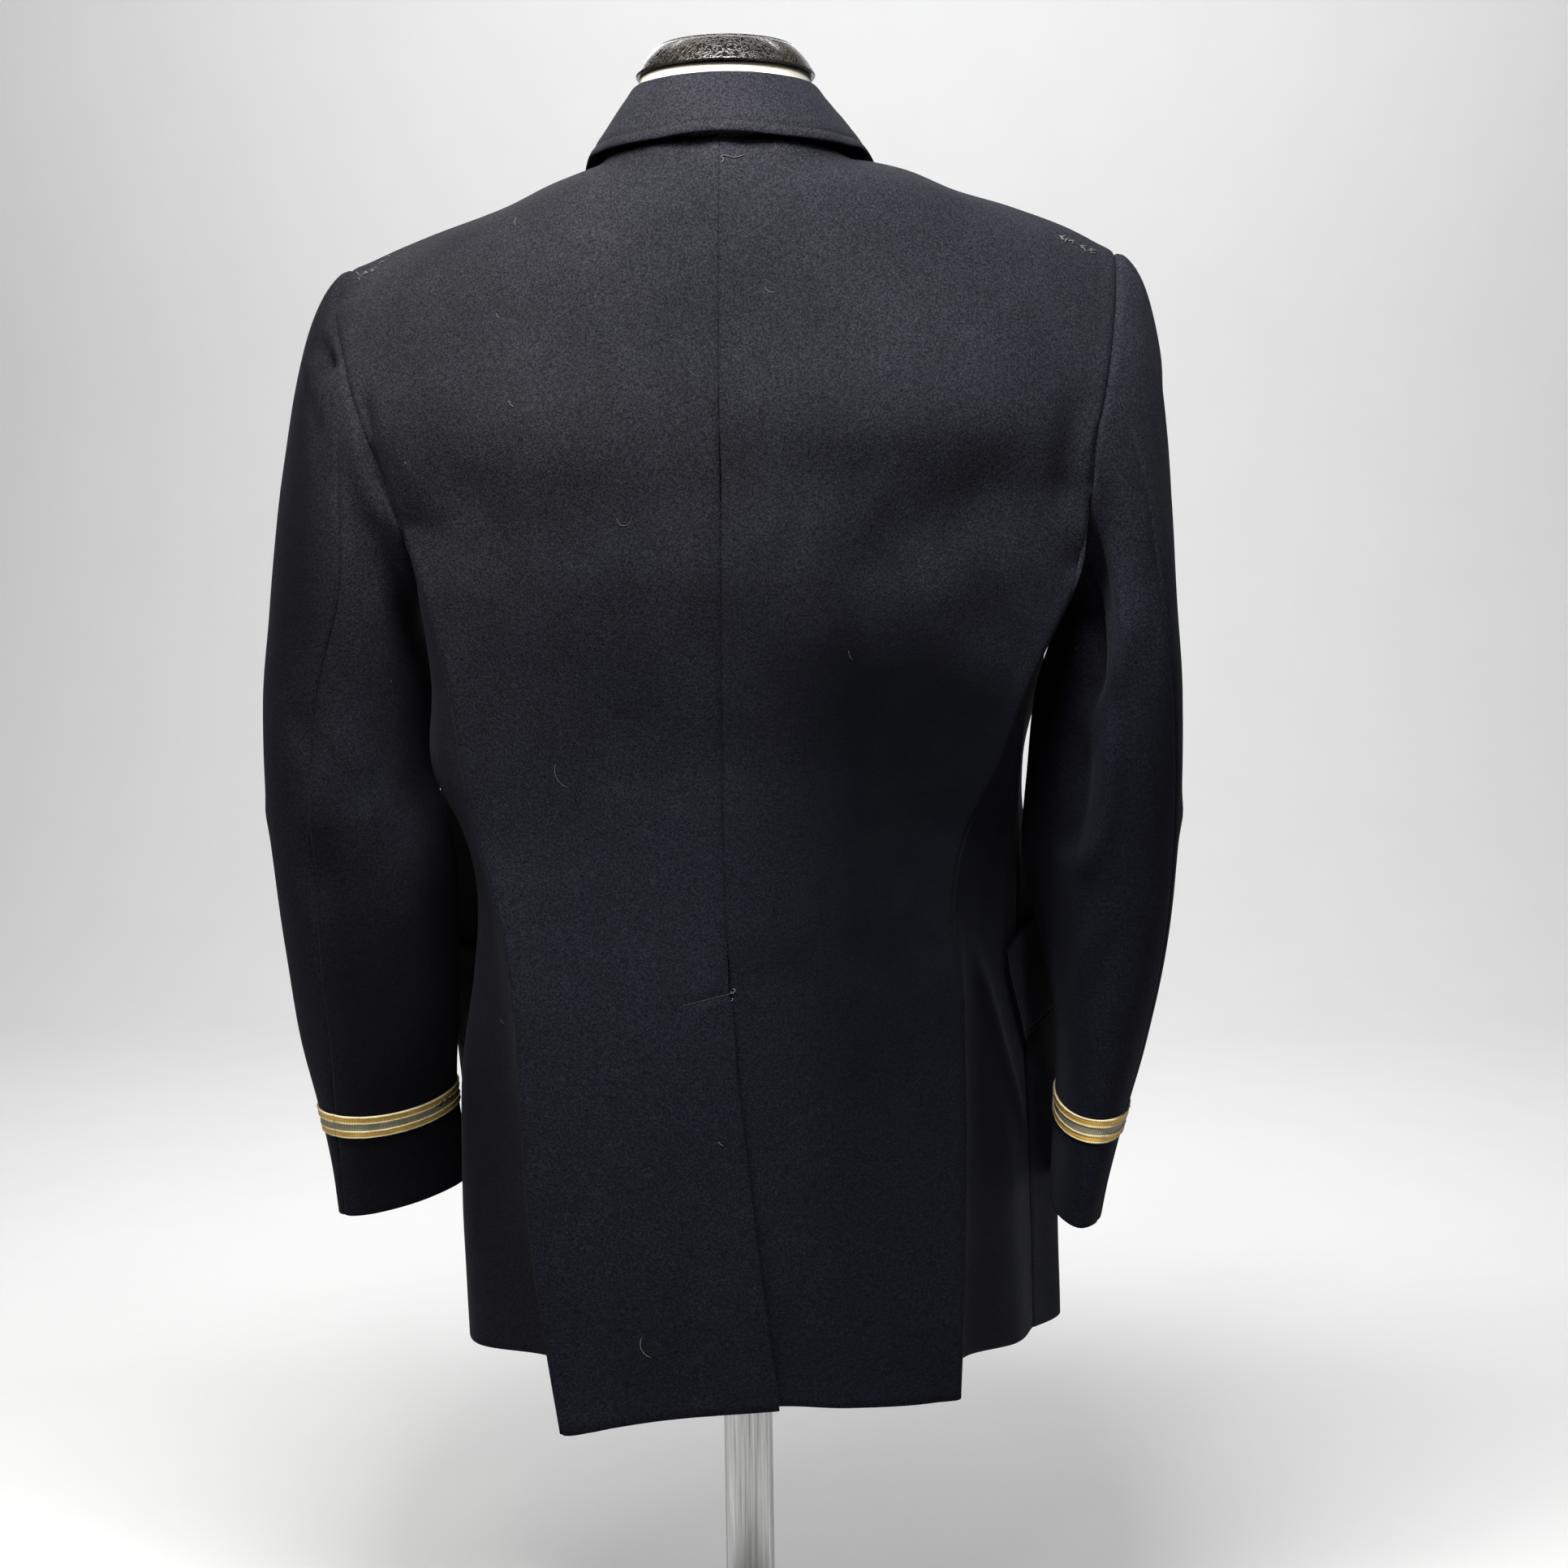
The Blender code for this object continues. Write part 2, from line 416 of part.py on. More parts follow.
# Columns and rows that neighbouring pieces share, so that their seams meet point for point.
FRONT_Q = np.array((0.0, 0.07, 0.14, 0.20, 0.27, 0.36, 0.50, 0.66, 0.83, 1.0))
BACK_Q = np.concatenate([np.linspace(0, NECK_AT, 4), NECK_AT + (1 - NECK_AT) * (1 - FRONT_Q[::-1][1:])])
SIDE_Q = np.linspace(0, 1, 7)
BACK_T = np.array((5.0, 4.2, 3.5, HIND_PITCH, 2.1, 1.4, 0.7, 0.0))
FRONT_T = np.array((8.0, 9.0, FORE_PITCH, 10.8, 11.6, 12.4, 13.2, 14.0))
TOP_T = np.concatenate([BACK_T[3:], FRONT_T[-2:1:-1] - 14])
UNDER_T = np.concatenate([BACK_T[3::-1], CORNER_BACK + (CORNER_FRONT - CORNER_BACK) * SIDE_Q[1:], FRONT_T[1:3]])
LOW_ROWS = (0.0, 0.045, 0.09, 0.14, 0.19, VENT_TOP - 0.006, VENT_TOP + 0.004, 0.29, 0.325, 0.36, 0.40, 0.45, 0.495)


def back_panel(side, q=BACK_Q, t=BACK_T):
    low = hem_drop(side, np.array([side.back_row(z, q) for z in LOW_ROWS]), 0.0, 0.33)
    high = side.upper_back(q, 1 - t / CORNER_BACK)
    return np.concatenate([low, high])


def side_panel(side, q=SIDE_Q):
    low = hem_drop(side, np.array([side.side_row(z, q) for z in LOW_ROWS]), 0.33, 0.60)
    top = side.armhole_at(CORNER_BACK + (CORNER_FRONT - CORNER_BACK) * q)
    return np.concatenate([low, top[None]])


def front_panel(side, q=FRONT_Q, t=FRONT_T):
    low = hem_drop(side, np.array([side.front_row(z, q) for z in LOW_ROWS]), 0.60, 1.0)
    # rounded lower front corner
    near = np.maximum(0.0, 0.045 - (low[0, :, 0] - low[0, -1, 0])) / 0.045
    low[0, :, 2] += 0.030 * near**2.2
    high = side.upper_front(q, (t - CORNER_FRONT) / (len(side.arm) - CORNER_FRONT))
    return np.concatenate([low, high])


def grid_normals(g):
    """Unit normal at each point of a grid, from its neighbours."""
    du = np.empty_like(g)
    dv = np.empty_like(g)
    du[:, 1:-1] = g[:, 2:] - g[:, :-2]
    du[:, 0], du[:, -1] = g[:, 1] - g[:, 0], g[:, -1] - g[:, -2]
    dv[1:-1] = g[2:] - g[:-2]
    dv[0], dv[-1] = g[1] - g[0], g[-1] - g[-2]
    n = np.cross(dv, du)
    length = np.linalg.norm(n, axis=-1, keepdims=True)
    return n / np.maximum(length, 1e-12)


class Panel:
    def __init__(self, name, grid, material, wall=WALL, flip=False, shared=True):
        self.name, self.grid, self.material, self.wall = name, np.array(grid), material, wall
        self.normal = grid_normals(self.grid) * (-1 if flip else 1)
        self.stretch = np.ones(self.grid.shape[:2])
        self.shared = shared

    def border(self):
        r, c = self.grid.shape[:2]
        return [(i, j) for i in range(r) for j in range(c) if i in (0, r - 1) or j in (0, c - 1)]


def share_seams(panels):
    """Neighbouring panels lean their end walls the same way, so that a folded seam is mitred."""
    every = [(p, i, j) for p in panels for i, j in p.border()]
    where = np.array([p.grid[i, j] for p, i, j in every])
    old = {id(p): p.normal.copy() for p in panels}
    for k, (p, i, j) in enumerate(every):
        near = [every[m] for m in np.where(np.linalg.norm(where - where[k], axis=1) < 0.0012)[0]]
        group = [(other, old[id(other)][a, b]) for other, a, b in near if other is not p]
        own = old[id(p)][i, j]
        normals = [n for _, n in group] + [own]
        if min(a @ b for a in normals for b in normals) < -0.35:   # folded back on itself: body with body, sleeve with sleeve
            group = [(o, n) for o, n in group if o.name.startswith("sleeve") == p.name.startswith("sleeve")]
        total = own + sum((n for _, n in group), np.zeros(3))
        total /= np.linalg.norm(total)
        p.normal[i, j] = total
        p.stretch[i, j] = 1 / max(0.50, total @ own)


def pull_back(panel, gap=GAP):
    """Moves the border in from the seam."""
    g = panel.grid
    new = g.copy()

    def step(a, b):
        d = b - a
        return d / np.maximum(np.linalg.norm(d, axis=-1, keepdims=True), 1e-9) * gap

    new[:, 0] += step(g[:, 0], g[:, 1])
    new[:, -1] += step(g[:, -1], g[:, -2])
    new[0] += step(g[0], g[1])
    new[-1] += step(g[-1], g[-2])
    panel.grid = new


# ------------------------------------------------------------- making objects
for old in list(bpy.data.objects):
    bpy.data.objects.remove(old, do_unlink=True)
scene = bpy.context.scene
garment = bpy.data.collections.new("uniform_jacket")
scene.collection.children.link(garment)


def material(name, colour, roughness, metallic=0.0):
    m = bpy.data.materials.new(name)
    m.use_nodes = True
    shader = m.node_tree.nodes["Principled BSDF"]
    shader.inputs["Base Color"].default_value = (*colour, 1)
    shader.inputs["Roughness"].default_value = roughness
    shader.inputs["Metallic"].default_value = metallic
    return m


NAVY = ((0.012, 0.014, 0.024), 0.88)
CREAM = ((0.80, 0.76, 0.62), 0.85)
BLACK = ((0.012, 0.012, 0.013), 0.30)
STEEL = ((0.35, 0.35, 0.36), 0.35, 1.0)
DARK = ((0.03, 0.03, 0.032), 0.45)
GOLD = ((0.55, 0.38, 0.14), 0.55)
GILT = ((0.72, 0.52, 0.20), 0.30, 1.0)


def triangles(grid):
    """Two triangles a square, split along its shorter diagonal."""
    r, c = grid.shape[:2]
    out = []
    for i in range(r - 1):
        for j in range(c - 1):
            k = i * c + j
            one = np.linalg.norm(grid[i, j] - grid[i + 1, j + 1])
            two = np.linalg.norm(grid[i + 1, j] - grid[i, j + 1])
            out += [(k, k + c, k + c + 1), (k, k + c + 1, k + 1)] if one <= two else [(k, k + c, k + 1), (k + 1, k + c, k + c + 1)]
    return out


def solid(name, points, faces, finish):
    """A closed body facing outwards."""
    p = np.array(points, float)
    volume = sum(np.dot(p[f[0]], np.cross(p[f[k]], p[f[k + 1]])) for f in faces for k in range(1, len(f) - 1))
    if volume < 0:
        faces = [f[::-1] for f in faces]
    bm = bmesh.new()
    verts = [bm.verts.new(v) for v in p]
    for f in faces:
        bm.faces.new([verts[k] for k in f])
    bmesh.ops.triangulate(bm, faces=bm.faces[:], quad_method="SHORT_EDGE")
    mesh = bpy.data.meshes.new(name)
    bm.to_mesh(mesh)
    bm.free()
    obj = bpy.data.objects.new(name, mesh)
    garment.objects.link(obj)
    mesh.materials.append(material(name, *finish))
    mesh.shade_smooth()
    mesh.set_sharp_from_angle(angle=math.radians(50))
    return obj


def cloth(panel):
    """Closed wall on a grid: the outer face is the grid, the inner face lies one wall inside it."""
    g = panel.grid
    r, c = g.shape[:2]
    inner = g - panel.normal * (panel.wall * panel.stretch)[..., None]
    n = r * c
    skin = triangles(g)
    faces = skin + [tuple(k + n for k in f[::-1]) for f in skin]
    rim = [j for j in range(c)] + [i * c + c - 1 for i in range(1, r)] + [(r - 1) * c + j for j in range(c - 2, -1, -1)] + [i * c for i in range(r - 2, 0, -1)]
    for k, a in enumerate(rim):
        b = rim[(k + 1) % len(rim)]
        faces.append((a, b, b + n, a + n))
    return solid(panel.name, np.concatenate([g.reshape(-1, 3), inner.reshape(-1, 3)]), faces, panel.material)


HEAD_ROWS = (0.0, 0.12, 0.28, 0.46, 0.64, 0.82)
ARM_ROWS = (0.0, 1.0, 2.0, 3.0, 4.0, 5.0, 5.7, 6.3, 6.9, 7.5, 8.0)


def sleeve_panels(side):
    top = side.sleeve_grid(True, TOP_T, HEAD_ROWS, ARM_ROWS)
    under = side.sleeve_grid(False, UNDER_T, HEAD_ROWS, ARM_ROWS)
    return top, under


panels = []
fronts = {}
for side in (LEFT, RIGHT):
    name = side.name
    panels.append(Panel("back_" + name, placed(back_panel(side), side), NAVY))
    panels.append(Panel("side_" + name, placed(side_panel(side), side), NAVY))
    panels.append(Panel("front_" + name, placed(front_panel(side), side), NAVY))
    top, under = sleeve_panels(side)
    panels.append(Panel("sleeve_top_" + name, placed(top[::-1], side), NAVY))
    panels.append(Panel("sleeve_under_" + name, placed(under[::-1], side), NAVY))

for p in panels:
    # outward means away from the trunk's axis, or from the sleeve's own axis
    if p.name.startswith("sleeve"):
        k = p.grid.shape[0] // 3
        centre = np.array([(1 if p.name.endswith("left") else -1) * 0.247, -0.02, 0])
    else:
        k = 4
        centre = np.zeros(3)
    if ((p.grid[k] - centre)[:, :2] * p.normal[k][:, :2]).sum() < 0:
        p.normal *= -1
share_seams(panels)
by_name = {p.name: p for p in panels}
for p in panels:
    pull_back(p)
    cloth(p)


# ------------------------------------------------ pieces that lie on a panel
def outer_tree(names):
    """The outer faces of some panels, to lay other pieces on."""
    points, faces = [], []
    for name in names:
        g = by_name[name].grid
        faces += [tuple(k + len(points) for k in f) for f in triangles(g)]
        points += [Vector(v) for v in g.reshape(-1, 3)]
    return BVHTree.FromPolygons(points, faces)


def out_of(tree, point, outward):
    """Nearest place on the panels and its direction outwards, eased over its neighbourhood."""
    here = Vector(point)
    place, normal, _, _ = tree.find_nearest(here)
    total = Vector((0, 0, 0))
    for off in ((0, 0, 0), (0.012, 0, 0), (-0.012, 0, 0), (0, 0.012, 0), (0, -0.012, 0), (0, 0, 0.012), (0, 0, -0.012)):
        _, n, _, _ = tree.find_nearest(place + Vector(off))
        total += n if n.dot(Vector(outward)) > 0 else -n
    return np.array(place), np.array(total.normalized())


def laid(tree, grid, lift, outward):
    """A grid laid on the panels, its inner face lifted off them."""
    out, normal = np.empty_like(grid), np.empty_like(grid)
    for i in range(grid.shape[0]):
        for j in range(grid.shape[1]):
            o = outward(grid[i, j]) if callable(outward) else outward
            place, n = out_of(tree, grid[i, j], o)
            out[i, j] = place + n * lift
            normal[i, j] = n
    return out, normal


def settle(tree, inner, normal, least, reach=1.0):
    """Raises a laid grid until its inner face is clear of the panels, between its corners too, where it lies within reach of them."""
    inner = inner.copy()
    r, c = inner.shape[:2]
    for _ in range(8):
        lift = np.zeros((r, c))
        for i in range(r - 1):
            for j in range(c - 1):
                for a in (0, 0.25, 0.5, 0.75, 1):
                    for b in (0, 0.25, 0.5, 0.75, 1):
                        w = np.array(((1 - a) * (1 - b), (1 - a) * b, a * (1 - b), a * b)).reshape(2, 2, 1)
                        p = (inner[i:i + 2, j:j + 2] * w).sum(axis=(0, 1))
                        n = (normal[i:i + 2, j:j + 2] * w).sum(axis=(0, 1))
                        place = np.array(tree.find_nearest(Vector(p))[0])
                        need = least - (p - place) @ n / np.linalg.norm(n)
                        if need > 0 and np.linalg.norm(p - place) < reach:
                            lift[i:i + 2, j:j + 2] = np.maximum(lift[i:i + 2, j:j + 2], need)
        if lift.max() < 1e-5:
            break
        inner += normal * lift[..., None]
    return inner


def away_from_axis(point):
    return (point[0], point[1], 0.0)


def lapel(side):
    """Turned-back upper front, from the roll line to its free edge."""
    front = by_name["front_" + side.name].grid
    edge = front[:, -1] if side.sign > 0 else front[:, 0]
    edge = edge[np.argsort(edge[:, 2])]
    tree = outer_tree(["front_" + side.name])
    rows = 11
    z_low, z_high = (BREAK + 0.003 if side.over else CROSSING) + HEM, GORGE_Z + HEM
    grid, starts = [], []
    for t in np.linspace(0, 1, rows):
        z = z_low + (z_high - z_low) * t
        roll = np.array([np.interp(z, edge[:, 2], edge[:, k]) for k in range(3)])
        free = float(spline([c[0] for c in LAPEL_ROWS], [c[1] for c in LAPEL_ROWS], (z - BREAK - 0.003 - HEM) / (GORGE_Z - BREAK - 0.003)))
        start = side.sign * roll[0]
        if not side.over:   # lower down it comes out from beneath the other front's edge
            start = max(start, 0.0072 - side.roll_at(z - HEM))
        starts.append(start - side.sign * roll[0])
        line = []
        for s in (0.0, 0.10, 0.34, 0.56, 0.78, 1.0):
            x = start + (free - start) * s
            zz = z
            if t > 0.8:   # the top rows bend to the gorge and the notch
                top = np.interp(x, (start, LAPEL_NOTCH[0], LAPEL_TIP[0]), (GORGE_Z, LAPEL_NOTCH[1], LAPEL_TIP[1])) + HEM
                zz = z + (top - z_high) * (t - 0.8) / 0.2
            hit = tree.ray_cast(Vector((side.sign * x, -1.0, zz)), Vector((0, 1, 0)))[0]
            line.append(np.array(hit) if hit else roll + np.array((0, 0, zz - z)))
        grid.append(line)
    grid = np.array(grid)
    out, normal = laid(tree, grid, 0.0018, (0, -1, 0.3))
    out = settle(tree, out, normal, 0.0010)
    outer = out + normal * WALL
    # the roll wraps the front's edge
    wrapped = 0
    for i in range(rows):
        roll = np.array([np.interp(grid[i, 0, 2], edge[:, 2], edge[:, k]) for k in range(3)])
        if starts[i] > 0.0015:
            continue
        wrapped += 1
        depth = 0.0004 if side.over else (-0.0026, -0.0010, 0.0004)[min(wrapped - 1, 2)]
        n = normal[i, 0]
        away = grid[i, 0] - grid[i, 2]
        away /= np.linalg.norm(away)
        outer[i, 0] = roll + away * 0.0042 - n * depth
        outer[i, 1] = roll + away * 0.0014 + n * 0.0038
        normal[i, 0] = away
        normal[i, 1] = (away * 0.3 + n) / np.linalg.norm(away * 0.3 + n)
    panel = Panel("lapel_" + side.name, outer, NAVY)
    panel.normal = normal
    return panel


def flap(side, corners):
    tree = outer_tree(["side_" + side.name, "front_" + side.name])
    rear_top, z1, front_top, z2, front_low, z3, rear_low, z4 = corners
    grid = []
    for v in np.linspace(0, 1, 5):
        line = []
        for u in np.linspace(0, 1, 13):
            run = (rear_top + (front_top - rear_top) * u) * (1 - v) + (rear_low + (front_low - rear_low) * u) * v
            z = (z1 + (z2 - z1) * u) * (1 - v) + (z4 + (z3 - z4) * u) * v
            ring = side.side_row(z, np.linspace(0, 1, 40))[::-1] if run < 0 else side.front_row(z, np.linspace(0, 1, 60))
            d = np.concatenate([[0], np.cumsum(np.linalg.norm(np.diff(ring[:, :2], axis=0), axis=1))])
            point = np.array([np.interp(abs(run), d, ring[:, k]) for k in range(3)])
            point[0] *= side.sign
            point[2] += HEM
            line.append(point)
        grid.append(line)
    out, normal = laid(tree, np.array(grid), 0.0014, away_from_axis)
    out = settle(tree, out, normal, 0.0008)
    panel = Panel("flap_" + side.name, out + normal * WALL, NAVY)
    panel.normal = normal
    return panel


def neck_edge(side):
    """Outer neck edge from the centre back to the gorge, with the way out of the cloth and the outward normal."""
    back, front = by_name["back_" + side.name], by_name["front_" + side.name]
    bg, bn = back.grid, back.normal
    fg, fn = front.grid, front.normal
    if side.sign < 0:
        bg, bn, fg, fn = bg[:, ::-1], bn[:, ::-1], fg[:, ::-1], fn[:, ::-1]
    out = []
    for j in range(4):
        way = bg[-1, j] - bg[-2, j]
        out.append((j / 3, bg[-1, j], way / np.linalg.norm(way), bn[-1, j]))
    rows = [i for i in range(fg.shape[0] - 1, 0, -1) if fg[i, -1, 2] > GORGE_Z + HEM - 0.03]
    down = [fg[i, -1] for i in rows]
    ways = [fg[i, -1] - fg[i, -2] for i in rows]
    normals = [fn[i, -1] for i in rows]
    z = np.array([q[2] for q in down])[::-1]
    for k in (1.2, 1.4, 1.6, 1.8, 2.0):
        h = down[0][2] + (GORGE_Z + HEM + 0.004 - down[0][2]) * (k - 1)
        place = np.array([np.interp(h, z, np.array(down)[::-1, m]) for m in range(3)])
        way = np.array([np.interp(h, z, np.array(ways)[::-1, m]) for m in range(3)])
        n = np.array([np.interp(h, z, np.array(normals)[::-1, m]) for m in range(3)])
        out.append((k, place, way / np.linalg.norm(way), n / np.linalg.norm(n)))
    at = np.array([o[0] for o in out])
    return at, np.array([o[1] for o in out]), np.array([o[2] for o in out]), np.array([o[3] for o in out])


def collar():
    """Stand and fall in one, swept round the neck from notch to notch."""
    sections = {}
    shells = outer_tree(["back_left", "back_right", "front_left", "front_right"])
    for side in (LEFT, RIGHT):
        at, place, way, normal = neck_edge(side)
        table = np.array(COLLAR)
        k = np.arange(len(table))
        runs, falls, faces_out = [], [], []
        for t in np.linspace(0, len(table) - 1, 13):
            row = spline(k, table, t)
            seam = np.array([np.interp(row[0], at, place[:, m]) for m in range(3)])
            w = np.array([np.interp(row[0], at, way[:, m]) for m in range(3)])
            n = np.array([np.interp(row[0], at, normal[:, m]) for m in range(3)])
            w /= np.linalg.norm(w)
            n /= np.linalg.norm(n)
            seam = seam + w * 0.0010
            fold = np.array([side.sign * row[1], row[2], row[3] + HEM])
            edge = np.array([side.sign * row[4], row[5], row[6] + HEM])
            o = edge - fold
            o[2] = 0
            o /= np.linalg.norm(o)
            up = np.array([0, 0, 1.0])
            d = (edge - fold) / np.linalg.norm(edge - fold)
            face = np.cross(np.cross(d, up), d)
            face = face / np.linalg.norm(face)
            if face @ (o + up) < 0:
                face = -face
            mid = (fold + edge) / 2 + face * 0.0020
            quarter = fold * 0.8 + edge * 0.2 + face * 0.0016
            runs.append((seam - n * WALL, fold - o * 0.0012 - up * 0.0030, fold, fold + o * 0.0010 - up * 0.0034, seam))
            falls.append([quarter - face * WALL - d * 0.0002, mid - face * WALL, edge - face * WALL])
            faces_out.append([face, face, face])
        falls, faces_out = np.array(falls), np.array(faces_out)
        falls = settle(shells, falls, faces_out, 0.0012, 0.007)
        outer = falls + faces_out * WALL
        runs = [[run[0], run[1], run[2], o3[0], o3[1], o3[2], f3[2], f3[1], f3[0], run[3], run[4]] for run, o3, f3 in zip(runs, outer, falls)]
        sections[side.name] = runs
    right = [sec for sec in sections["right"]][::-1]
    left = sections["left"][1:]
    rings = np.array(right + left)
    n_ring, n_pt = rings.shape[:2]
    faces = []
    for i in range(n_ring - 1):
        for j in range(n_pt):
            a, b = i * n_pt + j, i * n_pt + (j + 1) % n_pt
            faces.append((a, b, b + n_pt, a + n_pt))
    return rings, faces


rings, faces = collar()
size = rings.shape[1]
last = (rings.shape[0] - 1) * size
# the ends: stand and fall closed as one strip, joined at the fold
strip = [(0, 1, 9, 10), (1, 2, 3), (1, 3, 9), (3, 4, 7, 8), (3, 8, 9), (4, 5, 6, 7)]
faces += [f[::-1] for f in strip] + [tuple(last + k for k in f) for f in strip]
solid("collar", rings.reshape(-1, 3), faces, NAVY)

for side, corners in ((LEFT, FLAP_LEFT), (RIGHT, FLAP_RIGHT)):
    cloth(lapel(side))
    cloth(flap(side, corners))


# -------------------------------------------------------------- cuff bands
def braid(side):
    """Flat band closed round the sleeve, on the sleeve's own facets."""
    top = by_name["sleeve_top_" + side.name].grid
    under = by_name["sleeve_under_" + side.name].grid
    if side.sign < 0:
        top, under = top[:, ::-1], under[:, ::-1]
    # columns once round: over the outside from the hind seam to the fore seam, back under the inside
    loop = [top[:, j] for j in range(top.shape[1])] + [under[:, j] for j in range(under.shape[1] - 2, 0, -1)]
    loop[0] = (top[:, 0] + under[:, 0]) / 2
    loop[top.shape[1] - 1] = (top[:, -1] + under[:, -1]) / 2
    loop = np.array(loop)                       # column, row from the cuff up, xyz
    rows = []
    for h in (BRAID_UP, BRAID_UP + BRAID_W / 2, BRAID_UP + BRAID_W):
        ring = []
        for col in loop:
            run = np.concatenate([[0], np.cumsum(np.linalg.norm(np.diff(col, axis=0), axis=1))])
            ring.append([np.interp(h, run, col[:, k]) for k in range(3)])
        rows.append(ring)
    g = np.array(rows)
    around = np.roll(g, -1, axis=1) - np.roll(g, 1, axis=1)
    rise = np.repeat((g[-1] - g[0])[None], len(g), axis=0)
    n = np.cross(around, rise)
    n /= np.linalg.norm(n, axis=-1, keepdims=True)
    centre = g.mean(axis=(0, 1))
    if ((g[0] - centre)[:, :2] * n[0][:, :2]).sum() < 0:
        n = -n
    a = g - np.roll(g, 1, axis=1)
    b = np.roll(g, -1, axis=1) - g
    a /= np.linalg.norm(a, axis=-1, keepdims=True)
    b /= np.linalg.norm(b, axis=-1, keepdims=True)
    half = np.sqrt(np.clip((1 + (a * b).sum(-1)) / 2, 0.3, 1))[..., None]
    inner = g + n * 0.0012 / half
    outer = g + n * (0.0012 + BRAID_T) / half
    r, c = g.shape[:2]
    points = np.concatenate([inner.reshape(-1, 3), outer.reshape(-1, 3)])
    faces = []
    for j in range(c):
        k = (j + 1) % c
        for i in range(r - 1):
            faces.append((i * c + j, i * c + k, (i + 1) * c + k, (i + 1) * c + j))
            faces.append((r * c + i * c + j, r * c + (i + 1) * c + j, r * c + (i + 1) * c + k, r * c + i * c + k))
        faces.append((j, r * c + j, r * c + k, k))
        faces.append(((r - 1) * c + j, (r - 1) * c + k, r * c + (r - 1) * c + k, r * c + (r - 1) * c + j))
    return points, faces


for side in (LEFT, RIGHT):
    points, faces = braid(side)
    solid("braid_" + side.name, points, faces, GOLD)


# ----------------------------------------------------------- turned pieces
def turned(name, profile, finish, place=(0, 0, 0), axis=(0, 0, 1), steps=32, angle=40):
    """Profile of (radius, height), spun about the axis through place."""
    mesh = bpy.data.meshes.new(name)
    mesh.from_pydata([(r, 0, h) for r, h in profile], [(k, k + 1) for k in range(len(profile) - 1)], [])
    obj = bpy.data.objects.new(name, mesh)
    garment.objects.link(obj)
    mod = obj.modifiers.new("spin", "SCREW")
    mod.axis = "Z"
    mod.steps = mod.render_steps = steps
    mod.use_merge_vertices = True
    mod.merge_threshold = 0.00001
    mesh.materials.append(material(name, *finish))
    obj.rotation_mode = "QUATERNION"
    obj.rotation_quaternion = Vector((0, 0, 1)).rotation_difference(Vector(axis))
    obj.location = place
    mesh.shade_smooth()
    return obj


BUTTON = ((0.0, .0062), (.0035, .0060), (.0068, .0051), (.0094, .0035), (.0108, .0020), (BUTTON_R, .0012), (.0106, .0006), (.0040, .0004),
          (.0040, .0), (0.0, .0))
front_tree = outer_tree(["front_left"])
for k in range(4):
    z = HEM + BREAK - 0.014 - BUTTON_PITCH * k
    place, normal, _, _ = front_tree.ray_cast(Vector((0, -1.0, z)), Vector((0, 1, 0)))
    if normal.y > 0:
        normal = -normal
    turned("button_%d" % (k + 1), BUTTON, GILT, place + normal * 0.0009, normal, steps=24)

turned("form_base", ((0.0, BASE_T), (0.020, BASE_T), (0.140, BASE_T - 0.001), (0.172, BASE_T - 0.005), (BASE_R, 0.006), (BASE_R, 0.0015),
                     (BASE_R - 0.0015, 0.0), (0.0, 0.0)), DARK, steps=64)
turned("form_pole", ((0.0, HEM + FORM[0][0] - 0.0003), (POLE_R, HEM + FORM[0][0] - 0.0003), (POLE_R, BASE_T + 0.0003), (0.0, BASE_T + 0.0003)), STEEL, steps=40)
turned("form_neck_cap", CAP, BLACK, (0, NECK_Y, HEM), steps=48)


def form_torso():
    rows = np.array(FORM)
    t = np.concatenate([np.arange(0, len(rows) - 1, 1.0), [len(rows) - 1]])
    around = 40
    a = np.linspace(0, 2 * np.pi, around, endpoint=False)
    grid = []
    for z, w, d, y, square in spline(np.arange(len(rows)), rows, t):
        c, s = np.cos(a), np.sin(a)
        grid.append(np.stack([w * np.sign(c) * np.abs(c) ** (2 / square), y + d * np.sign(s) * np.abs(s) ** (2 / square), np.full(around, z + HEM)], -1))
    grid = np.array(grid)
    n = len(grid)
    faces = [(i * around + j, i * around + (j + 1) % around, (i + 1) * around + (j + 1) % around, (i + 1) * around + j)
             for i in range(n - 1) for j in range(around)]
    faces.append(tuple(range(around))[::-1])
    faces.append(tuple((n - 1) * around + j for j in range(around)))
    solid("form_torso", grid.reshape(-1, 3), faces, CREAM)


form_torso()
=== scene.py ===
"""Uniform jacket on a limbless dress form: cloth, trimmings, stand, light and camera.

Metres, +Z up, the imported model's own frame. The jacket's front faces -Y, the wearer's left is +X. Heights in the tables are above
the hem. Each table row is one level, fold or section, with its columns named.
"""

import math

import bpy
import numpy as np
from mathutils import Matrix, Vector
from mathutils.bvhtree import BVHTree
from mathutils.kdtree import KDTree


